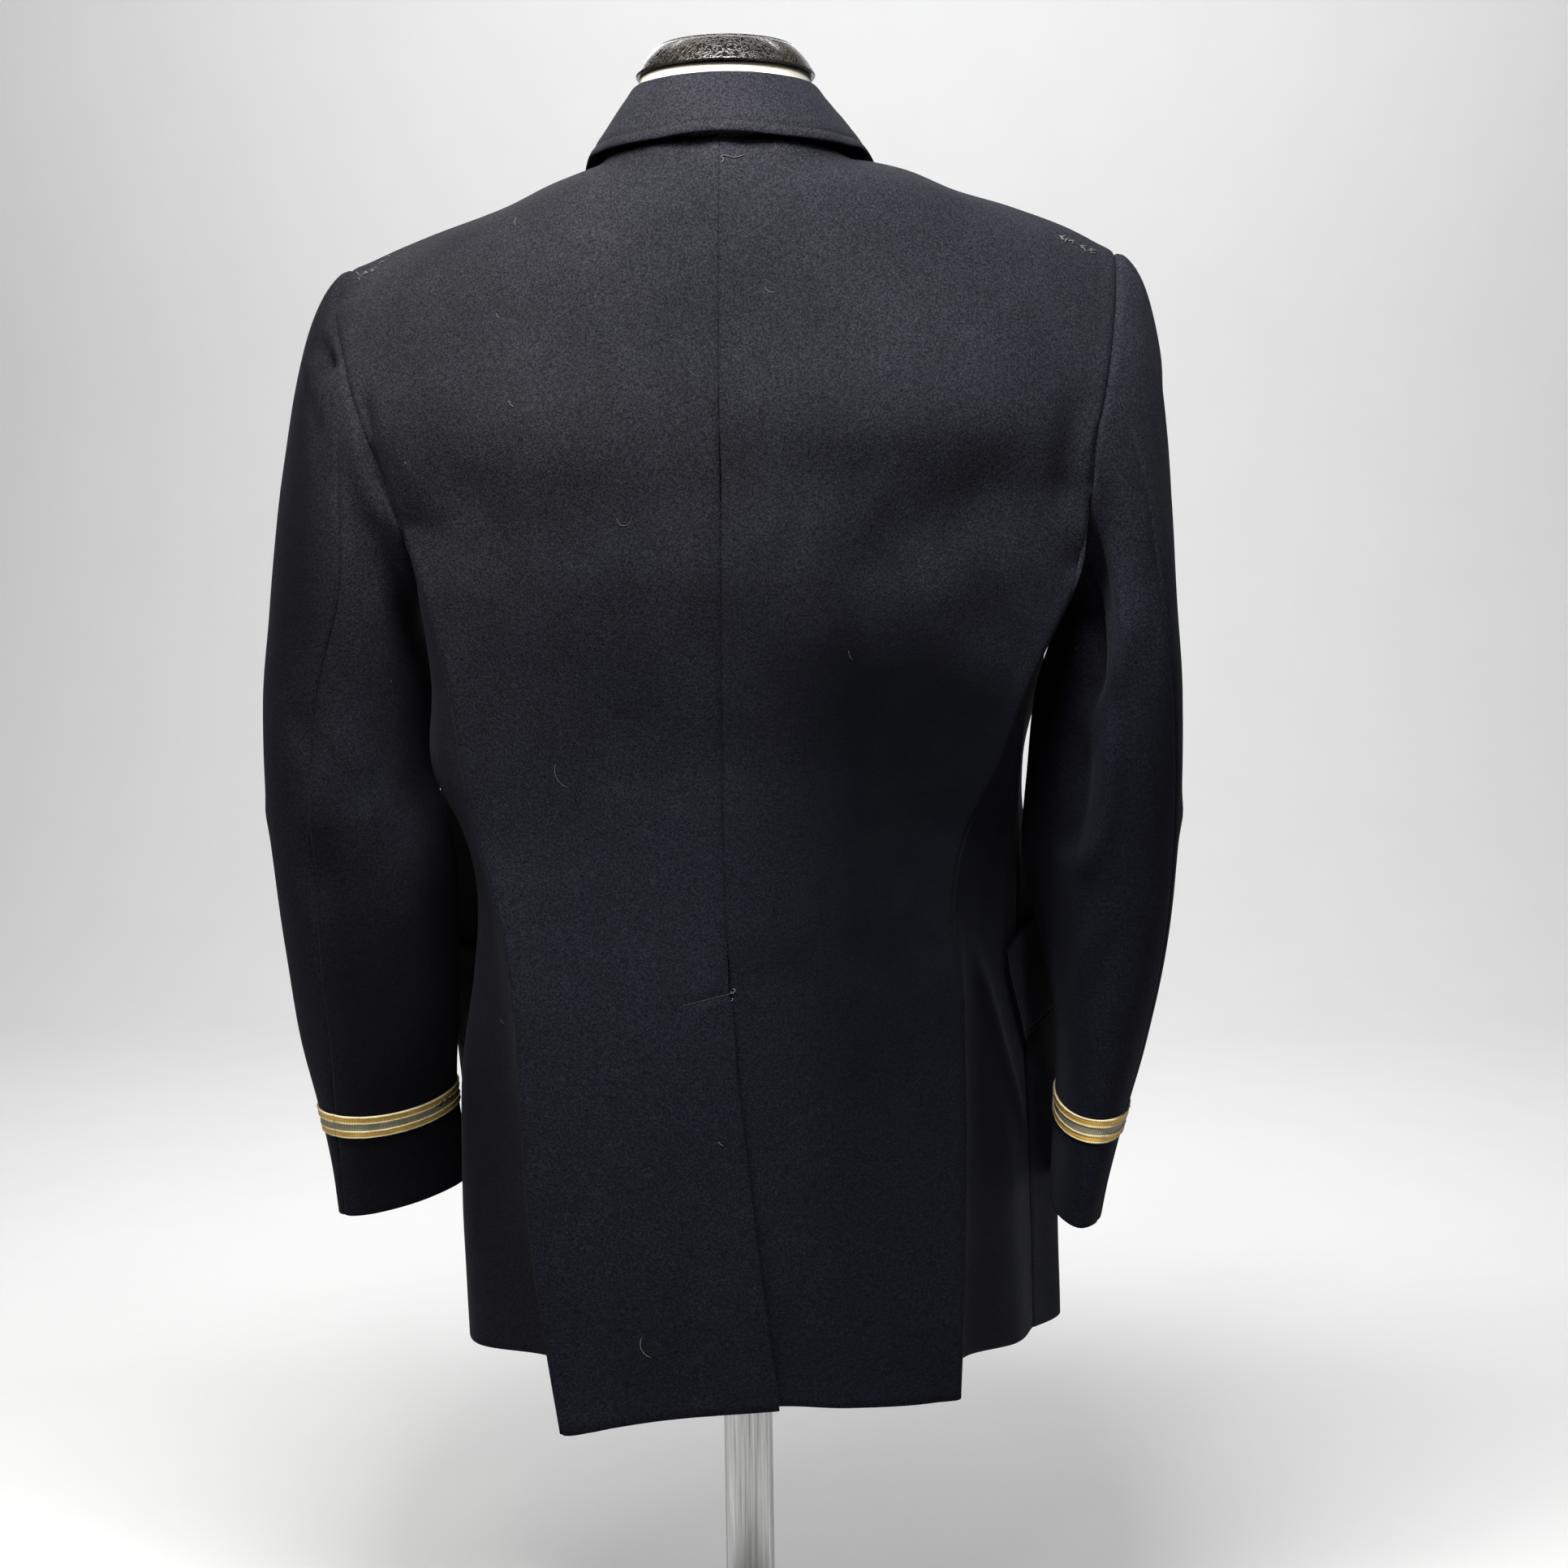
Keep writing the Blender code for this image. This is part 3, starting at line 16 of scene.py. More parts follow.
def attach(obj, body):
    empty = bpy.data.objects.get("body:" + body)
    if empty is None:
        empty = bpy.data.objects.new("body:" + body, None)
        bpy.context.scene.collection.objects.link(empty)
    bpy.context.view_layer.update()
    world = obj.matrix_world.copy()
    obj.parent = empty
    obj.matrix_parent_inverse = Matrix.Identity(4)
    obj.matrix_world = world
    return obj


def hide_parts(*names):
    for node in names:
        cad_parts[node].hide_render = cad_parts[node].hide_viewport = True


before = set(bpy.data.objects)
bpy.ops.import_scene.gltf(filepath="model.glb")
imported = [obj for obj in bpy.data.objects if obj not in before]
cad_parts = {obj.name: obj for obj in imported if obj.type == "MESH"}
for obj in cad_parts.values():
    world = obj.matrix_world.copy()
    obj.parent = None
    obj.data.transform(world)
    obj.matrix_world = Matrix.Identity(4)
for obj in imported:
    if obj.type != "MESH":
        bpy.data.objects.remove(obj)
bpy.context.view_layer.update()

# ---------------------------------------------------------------- driving sizes
HEM = 0.260          # height of the hem above the floor
WALL = 0.0020        # cloth
GAP = 0.00025        # each piece stops this far short of its seam
LAP = 0.0048         # how far an under layer lies behind the layer over it
BACK_LENGTH = 0.770  # neck seam to hem at the centre back
VENT_TOP = 0.247     # top of the centre vent
BREAK = 0.500        # top button, where the lapels start
BUTTON_PITCH = 0.094
BUTTON_R = 0.0112
BRAID_W = 0.0160
BRAID_UP = 0.0580    # cuff edge to the band's lower edge
BRAID_T = 0.0011
BASE_R, BASE_T = 0.180, 0.018
POLE_R = 0.016

# ------------------------------------------------- body sections, left and right
# One row a level. cb: centre back y. blade: fullness between centre and seam. edge: back/side seam. trough: bottom of
# the hanging fold beside it. side: outer ridge. seam: side/front seam. pocket: widest point of the front. chest: front
# quarter. front: y at the centre front.
COLS = ("z", "cb", "blade", "edge_x", "edge_y", "trough_x", "trough_y", "side_x", "side_y",
        "seam_x", "seam_y", "pocket_x", "pocket_y", "chest_x", "chest_y", "front")
BODY_LEFT = (
    (0.000, .1390, .0000, .1050, .1450, .1170, .0480, .1800, .0120, .1920, -.0480, .1955, -.1020, .1280, -.1450, -.1490),
    (0.090, .1320, .0010, .1205, .1370, .1280, .0600, .1850, .0060, .1925, -.0480, .1955, -.1030, .1260, -.1420, -.1460),
    (0.190, .1210, .0020, .1288, .1250, .1400, .0700, .1840, .0050, .1850, -.0450, .2070, -.1010, .1220, -.1360, -.1400),
    (0.250, .1130, .0020, .1328, .1150, .1460, .0720, .1750, .0060, .1720, -.0450, .2120, -.0940, .1180, -.1310, -.1350),
    (0.310, .1010, .0030, .1470, .0970, .1560, .0660, .1705, .0150, .1700, -.0350, .2120, -.0870, .1120, -.1240, -.1280),
    (0.345, .0955, .0040, .1580, .0880, .1690, .0620, .1790, .0140, .1790, -.0350, .2130, -.0850, .1080, -.1210, -.1250),
    (0.380, .0945, .0045, .1648, .0870, .1840, .0600, .1970, .0110, .1940, -.0380, .2080, -.0860, .1060, -.1210, -.1250),
    (0.440, .1040, .0060, .1735, .0870, .1880, .0600, .1960, .0120, .1940, -.0380, .1880, -.0830, .1060, -.1260, -.1300),
    (0.495, .1150, .0080, .1880, .0870, .1960, .0580, .2000, .0120, .1970, -.0380, .1870, -.0850, .1060, -.1310, -.1350),
)
BODY_RIGHT = (
    (0.000, .1340, .0000, .1390, .1300, .1420, .0500, .1800, .0000, .1920, -.0500, .2125, -.1050, .1300, -.1470, -.1510),
    (0.090, .1300, .0010, .1425, .1290, .1460, .0620, .1770, .0080, .1900, -.0450, .2115, -.1020, .1280, -.1430, -.1470),
    (0.190, .1210, .0020, .1433, .1220, .1500, .0750, .1710, .0300, .1860, -.0300, .2125, -.0960, .1240, -.1370, -.1410),
    (0.250, .1130, .0020, .1420, .1160, .1500, .0840, .1640, .0440, .1820, -.0250, .2115, -.0900, .1190, -.1310, -.1350),
    (0.310, .1010, .0030, .1380, .0990, .1540, .0760, .1700, .0380, .1815, -.0230, .1985, -.0820, .1120, -.1240, -.1280),
    (0.345, .0955, .0040, .1460, .0900, .1630, .0680, .1770, .0300, .1825, -.0250, .1860, -.0790, .1080, -.1210, -.1250),
    (0.380, .0945, .0045, .1640, .0900, .1740, .0680, .1820, .0280, .1840, -.0280, .1850, -.0800, .1060, -.1210, -.1250),
    (0.440, .1040, .0060, .1880, .0880, .1895, .0660, .1890, .0280, .1870, -.0300, .2010, -.0830, .1060, -.1260, -.1300),
    (0.495, .1150, .0080, .2150, .0790, .2150, .0580, .2090, .0180, .2010, -.0350, .2040, -.0850, .1060, -.1310, -.1350),
)
# One row a point round the armhole, from the shoulder tip down the back, under the arm and up the front.
ARMHOLE_COLS = ("x", "y", "z")
ARMHOLE_LEFT = (
    (.2460, .0000, .7060), (.2505, .0300, .6760), (.2410, .0550, .6440), (.2305, .0750, .6130), (.2210, .0860, .5850),
    (.2024, .0810, .5390), (.1975, .0480, .5170), (.1980, .0080, .5090), (.1960, -.0360, .5180), (.1960, -.0660, .5480),
    (.1990, -.0760, .5900), (.2070, -.0710, .6300), (.2230, -.0520, .6680), (.2390, -.0260, .6960),
)
ARMHOLE_RIGHT = (
    (.2450, .0000, .7070), (.2450, .0200, .6880), (.2406, .0500, .6490), (.2334, .0750, .6090), (.2280, .0850, .5860),
    (.2240, .0800, .5530), (.2180, .0480, .5200), (.2120, .0120, .5090), (.2050, -.0340, .5170), (.2010, -.0660, .5480),
    (.2010, -.0760, .5900), (.2080, -.0710, .6300), (.2230, -.0520, .6680), (.2380, -.0260, .6960),
)
CORNER_BACK, CORNER_FRONT = 5, 8   # rows of the armhole where the two side seams end
# The neck seam and shoulder seam, from the centre back to the shoulder tip.
NECK_BACK = ((.0000, .0960, .7700), (.0420, .0835, .7690), (.0690, .0550, .7675), (.0790, .0180, .7670))
SHOULDER_LEFT = ((.0790, .0180, .7670), (.1150, .0110, .7555), (.1450, .0070, .7420), (.1800, .0030, .7310), (.2150, .0000, .7190))
SHOULDER_RIGHT = ((.0790, .0180, .7670), (.1150, .0110, .7600), (.1450, .0070, .7470), (.1800, .0030, .7370), (.2150, .0000, .7240))
CENTRE = ((0.000, .0000), (0.250, .0000), (0.335, .0032), (0.410, .0026), (0.510, .0004), (0.600, -.0004), (0.770, -.0012))  # the centre-back seam wanders: height, x
NECK_AT = 0.36       # share of the back's width that the neck takes
BLADE = dict(z=0.628, cb=0.1245, full=0.0070)
YOKE_CB = (0.0, 0.0110, -0.0340)        # from the top edge to the row below it, at the centre
YOKE_SHOULDER = (0.0, 0.0430, -0.0150)  # the same, along the shoulder
FRONT_YOKE = (0.0, -0.0420, -0.0280)
# Front edge of each front: overlap below the break, roll line of the lapel above it.
ROLL = ((0.000, -.0290), (0.100, -.0290), (0.300, -.0290), (0.460, -.0290), (0.500, -.0280), (0.540, -.0090), (0.600, .0200),
        (0.660, .0430), (0.720, .0640), (0.765, .0790))
# How far the hem hangs below its level, by its place from the centre back (0) to the front edge (1).
DROP_LEFT = ((0.00, .0010), (0.12, .0065), (0.24, .0135), (0.33, .0140), (0.42, .0010), (0.55, -.0020), (0.75, .0000), (1.00, .0030))
DROP_RIGHT = ((0.00, .0020), (0.15, .0010), (0.33, -.0030), (0.42, -.0040), (0.55, .0020), (0.68, .0100), (0.85, .0060), (1.00, .0030))
VENT = ((0.000, -.0285), (0.050, -.0215), (0.100, -.0148), (0.150, -.0090), (0.200, -.0035), (0.240, -.0012), (0.247, .0000))

# ------------------------------------------------------------------ sleeves
# One row a ring: height and centre, half width, half depth, twist (deg, back edge towards the outside), slope of the
# ring (rise per metre towards the front), squareness, and the places of the hind and fore seams (deg from outermost).
SLEEVE_COLS = ("z", "x", "y", "half_w", "half_d", "twist", "slope", "square", "hollow", "hind", "fore")
SLEEVE_LEFT = (
    (0.480, .2535, .0060, .0470, .0700, 0, 0.00, 2.30, .000, 97, -100),
    (0.430, .2530, .0030, .0506, .0680, 12, 0.02, 2.25, .002, 96, -100),
    (0.375, .2538, .0020, .0513, .0650, 14, 0.04, 2.20, .003, 92, -100),
    (0.320, .2476, -.0040, .0573, .0610, 18, 0.08, 2.15, .000, 88, -102),
    (0.262, .2458, -.0120, .0552, .0580, 21, 0.12, 2.10, .000, 87, -104),
    (0.204, .2447, -.0220, .0498, .0560, 22, 0.14, 2.05, .000, 88, -106),
    (0.158, .2425, -.0330, .0375, .0555, 28, 0.12, 2.05, .000, 90, -108),
    (0.117, .2380, -.0420, .0290, .0560, 34, 0.11, 2.00, .000, 93, -110),
    (0.090, .2358, -.0480, .0245, .0570, 36, 0.12, 2.00, .000, 93, -110),
)
SLEEVE_RIGHT = (
    (0.480, .2452, .0080, .0363, .0680, 3, 0.00, 2.30, .018, 56, -100),
    (0.430, .2388, .0060, .0452, .0680, 8, 0.02, 2.25, .018, 50, -100),
    (0.375, .2360, .0030, .0478, .0660, 10, 0.04, 2.20, .011, 44, -100),
    (0.320, .2336, -.0020, .0480, .0640, 10, 0.05, 2.15, .003, 40, -102),
    (0.262, .2366, -.0080, .0395, .0640, 5, 0.07, 2.10, .000, 36, -104),
    (0.204, .2355, -.0160, .0300, .0640, 0, 0.08, 2.05, .000, 36, -106),
    (0.155, .2290, -.0230, .0230, .0640, 0, 0.08, 2.00, .000, 40, -108),
    (0.116, .2230, -.0280, .0193, .0640, 0, 0.08, 2.00, .000, 46, -110),
    (0.089, .2195, -.0310, .0172, .0640, 0, 0.08, 2.00, .000, 50, -110),
)
HOLLOW_AT, HOLLOW_WIDE = 138.0, 42.0  # the fold in the back of the upper sleeve: its angle and its reach, degrees
HIND_PITCH, FORE_PITCH = 2.75, 10.0   # where the sleeve seams meet the armhole, in rows of its table
HEAD_OUT = 0.105                      # how strongly the sleeve head swells outwards

# ------------------------------------------------------------------- collar
# One row a station from the centre back round to the notch: fold line and free edge. The seam follows the neck edge,
# seam_at counting from the centre back (0) over the neck point (1) to the end of the gorge (2).
COLLAR_COLS = ("seam_at", "fold_x", "fold_y", "fold_z", "edge_x", "edge_y", "edge_z")
COLLAR = (
    (0.00, .0000, .0865, .8085, .0000, .1115, .7710),
    (0.28, .0190, .0825, .8085, .0260, .1070, .7700),
    (0.52, .0350, .0710, .8085, .0490, .0930, .7680),
    (0.78, .0500, .0540, .8085, .0695, .0710, .7670),
    (1.00, .0580, .0300, .8070, .0820, .0440, .7675),
    (1.20, .0595, .0020, .8000, .0900, .0110, .7690),
    (1.42, .0605, -.0240, .7865, .0970, -.0190, .7560),
    (1.66, .0620, -.0480, .7670, .1050, -.0420, .7370),
    (1.88, .0625, -.0680, .7440, .1100, -.0580, .7250),
    (2.00, .0630, -.0800, .7280, .0970, -.0740, .7110),
)
CROSSING = 0.533                        # where the under lapel comes out from beneath the front that laps it
GORGE_Z = 0.719                         # where the lapel's top edge meets the roll line
LAPEL_NOTCH, LAPEL_TIP = (.0980, .7060), (.1250, .7075)
# Along the roll line from the break to the gorge: x of the lapel's free edge.
LAPEL_ROWS = ((0.00, -.0200), (0.10, .0020), (0.25, .0290), (0.45, .0620), (0.65, .0910), (0.85, .1140), (1.00, .1250))

# --------------------------------------------------------------- hip flaps
# Corners as height and horizontal run along the side and front, counted forwards from the side/front seam.
FLAP_COLS = ("rear_top", "z", "front_top", "z", "front_low", "z", "rear_low", "z")
FLAP_LEFT = (-.030, .2480, .112, .2680, .116, .2020, -.022, .1800)
FLAP_RIGHT = (-.050, .2620, .100, .2860, .104, .2200, -.010, .1960)

# ------------------------------------------------------------- the dress form
# One row a ring: height above the hem, half width, half depth, centre y, squareness.
FORM_COLS = ("z", "half_w", "half_d", "y", "square")
FORM = (
    (0.115, .0600, .0500, -.0200, 2.0),
    (0.118, .0900, .0720, -.0180, 2.1),
    (0.130, .1080, .0840, -.0160, 2.2),
    (0.160, .1180, .0920, -.0150, 2.2),
    (0.210, .1240, .0930, -.0150, 2.2),
    (0.270, .1210, .0880, -.0170, 2.2),
    (0.320, .1170, .0840, -.0150, 2.2),
    (0.370, .1220, .0860, -.0130, 2.2),
    (0.430, .1380, .0950, -.0120, 2.3),
    (0.500, .1520, .1050, -.0100, 2.4),
    (0.560, .1620, .1060, -.0050, 2.5),
    (0.610, .1740, .1000, .0020, 2.5),
    (0.650, .1780, .0900, .0090, 2.4),
    (0.680, .1650, .0790, .0150, 2.3),
    (0.705, .1360, .0690, .0180, 2.2),
    (0.725, .1060, .0620, .0195, 2.1),
    (0.742, .0820, .0570, .0200, 2.0),
    (0.756, .0650, .0540, .0200, 2.0),
    (0.772, .0570, .0530, .0200, 2.0),
    (0.795, .0545, .0530, .0200, 2.0),
    (0.8170, .0540, .0530, .0200, 2.0),
)
# Neck cap, profile from its top centre down its outer side: radius, height above the hem.
CAP = ((.0000, .8372), (.0380, .8366), (.0440, .8348), (.0478, .8315), (.0520, .8262), (.0558, .8200), (.0566, .8185), (.0560, .8175), (.0000, .8175))
NECK_Y = 0.020


# ---------------------------------------------------------------- small tools
def spline(at_rows, rows, at):
    """Smooth curve through the rows, read at the given places."""
    k = np.asarray(at_rows, float)
    p = np.asarray(rows, float)
    flat = p.ndim == 1
    if flat:
        p = p[:, None]
    at = np.clip(np.asarray(at, float), k[0], k[-1])
    step = np.diff(k)[:, None]
    slope = np.diff(p, axis=0) / step
    tan = np.empty_like(p)
    tan[1:-1] = (slope[:-1] * step[1:] + slope[1:] * step[:-1]) / (step[1:] + step[:-1])
    tan[0], tan[-1] = slope[0], slope[-1]
    i = np.clip(np.searchsorted(k, at, side="right") - 1, 0, len(k) - 2)
    s = ((at - k[i]) / (k[i + 1] - k[i]))[..., None]
    h = (k[i + 1] - k[i])[..., None]
    out = ((2 * s**3 - 3 * s**2 + 1) * p[i] + (s**3 - 2 * s**2 + s) * h * tan[i]
           + (3 * s**2 - 2 * s**3) * p[i + 1] + (s**3 - s**2) * h * tan[i + 1])
    return out[..., 0] if flat else out


def lengths(points):
    """Share of the way along a run of points."""
    d = np.concatenate([[0], np.cumsum(np.linalg.norm(np.diff(points, axis=0), axis=1))])
    return d / d[-1]


def smooth(a, b, x):
    s = np.clip((np.asarray(x, float) - a) / (b - a), 0, 1)
    return s * s * (3 - 2 * s)


class Side:
    """The tables of one side, with x counted outwards from the centre."""

    def __init__(self, name, body, armhole, sleeve, shoulder, drop, sign):
        self.name, self.sign, self.over = name, sign, sign > 0
        self.shoulder = shoulder
        self.drop = drop
        self.body = np.array(body)
        self.arm = np.array(armhole)
        self.sleeve = np.array(sleeve)

    def row(self, z):
        values = spline(self.body[:, 0], self.body, min(max(z, 0.0), self.body[-1, 0]))
        return dict(zip(COLS, values))

    def armhole_at(self, t):
        """Point of the armhole at row t of its table, which closes on itself."""
        a = self.arm
        k = np.arange(-2, len(a) + 3)
        return spline(k, a[k % len(a)], np.mod(t, len(a)))

    def wander(self, z):
        return self.sign * spline([c[0] for c in CENTRE], [c[1] for c in CENTRE], z)

    # -------- body below the armhole
    def back_row(self, z, q):
        r = self.row(z)
        q = np.asarray(q, float)
        x0 = 0.0
        if z < VENT_TOP:
            v = [list(c) for c in zip(*VENT)]
            x0 = float(spline(v[0], v[1], z)) if self.over else -0.020 * float(smooth(VENT_TOP, VENT_TOP - 0.012, z))
        x = x0 + (r["edge_x"] - x0) * q
        share = np.clip(x / r["edge_x"], 0, 1)
        y = r["edge_y"] + (r["cb"] - r["edge_y"]) * (1 - share**2.3) + r["blade"] * np.sin(np.pi * share)
        if not self.over:
            y = y - LAP * smooth(0.070, 0.034, x) * smooth(VENT_TOP + 0.045, VENT_TOP + 0.004, z)
        return np.stack([x + self.wander(z) * (1 - share) ** 2, y, np.full_like(x, z)], -1)

    def side_row(self, z, q):
        r = self.row(z)
        p = np.array([(r["edge_x"], r["edge_y"]), (r["trough_x"], r["trough_y"]), (r["side_x"], r["side_y"]), (r["seam_x"], r["seam_y"])])
        xy = spline([0, 0.40, 0.74, 1.0], p, q)
        return np.concatenate([xy, np.full((len(xy), 1), z)], -1)

    def front_row(self, z, q):
        r = self.row(z)
        end = float(spline([c[0] for c in ROLL], [c[1] for c in ROLL], z))
        p = np.array([(r["seam_x"], r["seam_y"]), (r["pocket_x"], r["pocket_y"]), (r["chest_x"], r["chest_y"]), (0.0, r["front"]), (-0.06, r["front"])])
        knots = np.array([0, 0.20, 0.52, 1.0, 1.22])
        if r["seam_x"] < r["pocket_x"] - 0.006:
            p[1] = (r["pocket_x"], r["pocket_y"])
        fine = np.linspace(0, 1.22, 400)
        run = spline(knots, p, fine)
        stop = np.argmax((run[:, 0] <= end) & (fine > 0.3))
        s = (run[stop - 1, 0] - end) / (run[stop - 1, 0] - run[stop, 0])
        last = fine[stop - 1] + s * (fine[stop] - fine[stop - 1])
        xy = spline(knots, p, np.asarray(q, float) * last)
        y = xy[:, 1]
        if not self.over:
            y = y + LAP * smooth(0.075, 0.040, xy[:, 0])
        return np.stack([xy[:, 0], y, np.full_like(y, z)], -1)

    # -------- body beside and above the armhole
    def top_back(self, q):
        tip = self.arm[0]
        neck = np.array(NECK_BACK)
        shoulder = np.array(self.shoulder + (tuple(tip),))
        q = np.asarray(q, float)
        a = spline(lengths(neck), neck, np.clip(q / NECK_AT, 0, 1))
        b = spline(lengths(shoulder), shoulder, np.clip((q - NECK_AT) / (1 - NECK_AT), 0, 1))
        return np.where((q <= NECK_AT)[:, None], a, b)

    def upper_back(self, q, v):
        """v 0 at the top of the side seam, 1 at the neck and shoulder seams."""
        q, v = np.asarray(q, float), np.asarray(v, float)
        corner = self.arm[CORNER_BACK]
        low = self.back_row(self.body[-1, 0], q)
        r = self.row(0.495)
        share = q
        first = np.stack([corner[0] * share, corner[1] + (0.1195 - corner[1]) * (1 - share**2.3) + 0.008 * np.sin(np.pi * share), np.full_like(q, corner[2])], -1)
        hole = self.armhole_at(CORNER_BACK * (1 - 0.46))
        blade = np.stack([hole[0] * share, hole[1] + (BLADE["cb"] - hole[1]) * (1 - share**2.3) + BLADE["full"] * np.sin(np.pi * share),
                          BLADE["z"] + (hole[2] - BLADE["z"]) * share**2], -1)
        top = self.top_back(q)
        mix = smooth(0.02, NECK_AT + 0.10, q)[:, None]
        yoke = top + np.array(YOKE_CB) * (1 - mix) + np.array(YOKE_SHOULDER) * mix * (1 - 0.35 * smooth(0.75, 1.0, q)[:, None])
        yoke = yoke + np.array((0.0, 0.012, 0.004)) * np.exp(-(((q - NECK_AT) / 0.10) ** 2))[:, None]
        below = low.copy()
        below[:, 0] -= self.wander(below[0, 2]) * (1 - q) ** 2
        # one smooth run up each column, through the row below, first, blade, yoke and top
        knots = np.array([-0.26, 0.0, 0.46, 0.84, 1.0])
        grid = spline(knots, np.stack([below, first, blade, yoke, top]).reshape(5, -1), v).reshape(len(v), len(q), 3)
        edge = self.armhole_at(CORNER_BACK * (1 - v))
        pull = (q**5)[None, :, None]
        grid = grid + pull * (edge - grid[:, -1])[:, None, :]
        grid[..., 0] += self.wander(grid[..., 2]) * (1 - q[None, :]) ** 2
        return grid

    def roll_at(self, z):
        return float(spline([c[0] for c in ROLL], [c[1] for c in ROLL], z))

    def upper_front(self, q, v):
        """v 0 at the top of the side/front seam, 1 at the shoulder seam. q 0 at the armhole, 1 at the roll line."""
        q, v = np.asarray(q, float), np.asarray(v, float)
        corner = self.arm[CORNER_FRONT]
        z0 = self.body[-1, 0]
        below = self.front_row(z0, q)
        zc = corner[2]

        def across(arm_point, z_in, front_y, end_x, round_by, full=0.0):
            s = q
            x = arm_point[0] + (end_x - arm_point[0]) * (s * (1 - full) + s * s * (1.75 - 0.75 * s) * full)
            y = arm_point[1] + (front_y - arm_point[1]) * (1 - (1 - s) ** round_by)
            return np.stack([x, y, arm_point[2] + (z_in - arm_point[2]) * s], -1)

        first = across(corner, zc + 0.004, -0.1370, self.roll_at(zc + 0.004), 3.0, 1.0)
        p1 = self.armhole_at(10.0)
        chest = across(p1, 0.600, -0.1320, self.roll_at(0.600), 2.2, 0.35)
        p2 = self.armhole_at(11.6)
        upper = across(p2, 0.672, -0.1020, self.roll_at(0.672), 1.8)
        shoulder = np.array(self.shoulder + (tuple(self.arm[0]),))[::-1]
        top = spline(lengths(shoulder), shoulder, q)
        yoke = top + np.array(FRONT_YOKE) * (1 - 0.45 * smooth(0.25, 0.0, q)[:, None])
        knots = np.array([-0.16, 0.0, 0.34, 0.66, 0.86, 1.0])
        grid = spline(knots, np.stack([below, first, chest, upper, yoke, top]).reshape(6, -1), v).reshape(len(v), len(q), 3)
        if not self.over:
            near = smooth(0.075, 0.040, grid[..., 0]) * smooth(0.60, 0.54, grid[..., 2])
            grid[..., 1] += LAP * near
        edge = self.armhole_at(CORNER_FRONT + (len(self.arm) - CORNER_FRONT) * v)
        pull = ((1 - q) ** 5)[None, :, None]
        return grid + pull * (edge - grid[:, 0])[:, None, :]

    # -------- sleeve
    def ring(self, t, deg):
        """Point of the sleeve ring at row t of its table and eccentric angle deg, 0 outermost and 90 at the back."""
        z, x, y, w, d, twist, slope, square, hollow = [float(c) for c in spline(np.arange(len(self.sleeve)), self.sleeve[:, :9], t)]
        deg = np.asarray(deg, float)
        a = np.radians(deg)
        c, s = np.cos(a), np.sin(a)
        px = w * np.sign(c) * np.abs(c) ** (2 / square)
        py = d * np.sign(s) * np.abs(s) ** (2 / square)
        off = (deg - HOLLOW_AT + 180) % 360 - 180
        dent = 1 - hollow / math.hypot(w, d) * np.exp(-((off / HOLLOW_WIDE) ** 2)) * 1.6
        px, py = px * dent, py * dent
        k = math.radians(twist)
        dx = px * math.cos(k) + py * math.sin(k)
        dy = -px * math.sin(k) + py * math.cos(k)
        return np.stack([x + dx, y + dy, z - slope * dy], -1)

    def seams(self, t):
        return [float(c) for c in spline(np.arange(len(self.sleeve)), self.sleeve[:, 9:11], t)]

    def sleeve_grid(self, top, t, rows_head, rows_arm):
        """Rows from the armhole to the cuff, one column from each place t of the armhole, hind seam first."""
        s = (t - t[0]) / (t[-1] - t[0])
        n = len(self.arm)
        loop = self.armhole_at(t)

        def angles(row):
            hind, fore = self.seams(row)
            return hind + (fore - hind) * s if top else hind + (360 + fore - hind) * s

        first = self.ring(0.0, angles(0.0))
        second = self.ring(0.25, angles(0.25))
        out = []
        middle = self.armhole_at(np.arange(n)).mean(axis=0)
        rise = np.clip((loop[:, 2] - 0.509) / (0.706 - 0.509), 0, 1)
        side_face = np.abs(loop[:, 1] - 0.003) / 0.08
        go = np.stack([HEAD_OUT * (0.10 + 0.90 * rise), 0.45 * (loop[:, 1] - 0.003) * rise, -0.02 - 0.115 * (1 - rise)], -1)
        fall = (second - first)
        fall = fall / np.linalg.norm(fall, axis=1)[:, None]
        reach = np.linalg.norm(first - loop, axis=1)[:, None]
        go = go * (0.25 + 0.75 * smooth(0.02, 0.19, reach))
        go = np.where(rise[:, None] > 0.02, go, np.array([[0.010, 0.0, -0.030]]))
        for v in rows_head:
            h00, h10, h01, h11 = 2 * v**3 - 3 * v**2 + 1, v**3 - 2 * v**2 + v, 3 * v**2 - 2 * v**3, v**3 - v**2
            out.append(h00 * loop + h10 * go + h01 * first + h11 * fall * reach * 1.1)
        for row in rows_arm:
            out.append(self.ring(row, angles(row)))
        return np.array(out)


LEFT = Side("left", BODY_LEFT, ARMHOLE_LEFT, SLEEVE_LEFT, SHOULDER_LEFT, DROP_LEFT, 1)
RIGHT = Side("right", BODY_RIGHT, ARMHOLE_RIGHT, SLEEVE_RIGHT, SHOULDER_RIGHT, DROP_RIGHT, -1)


def hem_drop(side, grid, start, end):
    """Lowers the hem a little, by its place round the body, fading out upwards."""
    n = grid.shape[1]
    at = np.linspace(start, end, n)
    drop = spline([c[0] for c in side.drop], [c[1] for c in side.drop], at)
    fade = smooth(0.12, 0.0, grid[..., 2])
    grid[..., 2] -= drop[None, :] * fade
    return grid


def placed(grid, side):
    out = np.array(grid)
    out[..., 0] *= side.sign
    out[..., 2] += HEM
    return out if side.sign > 0 else out[:, ::-1]


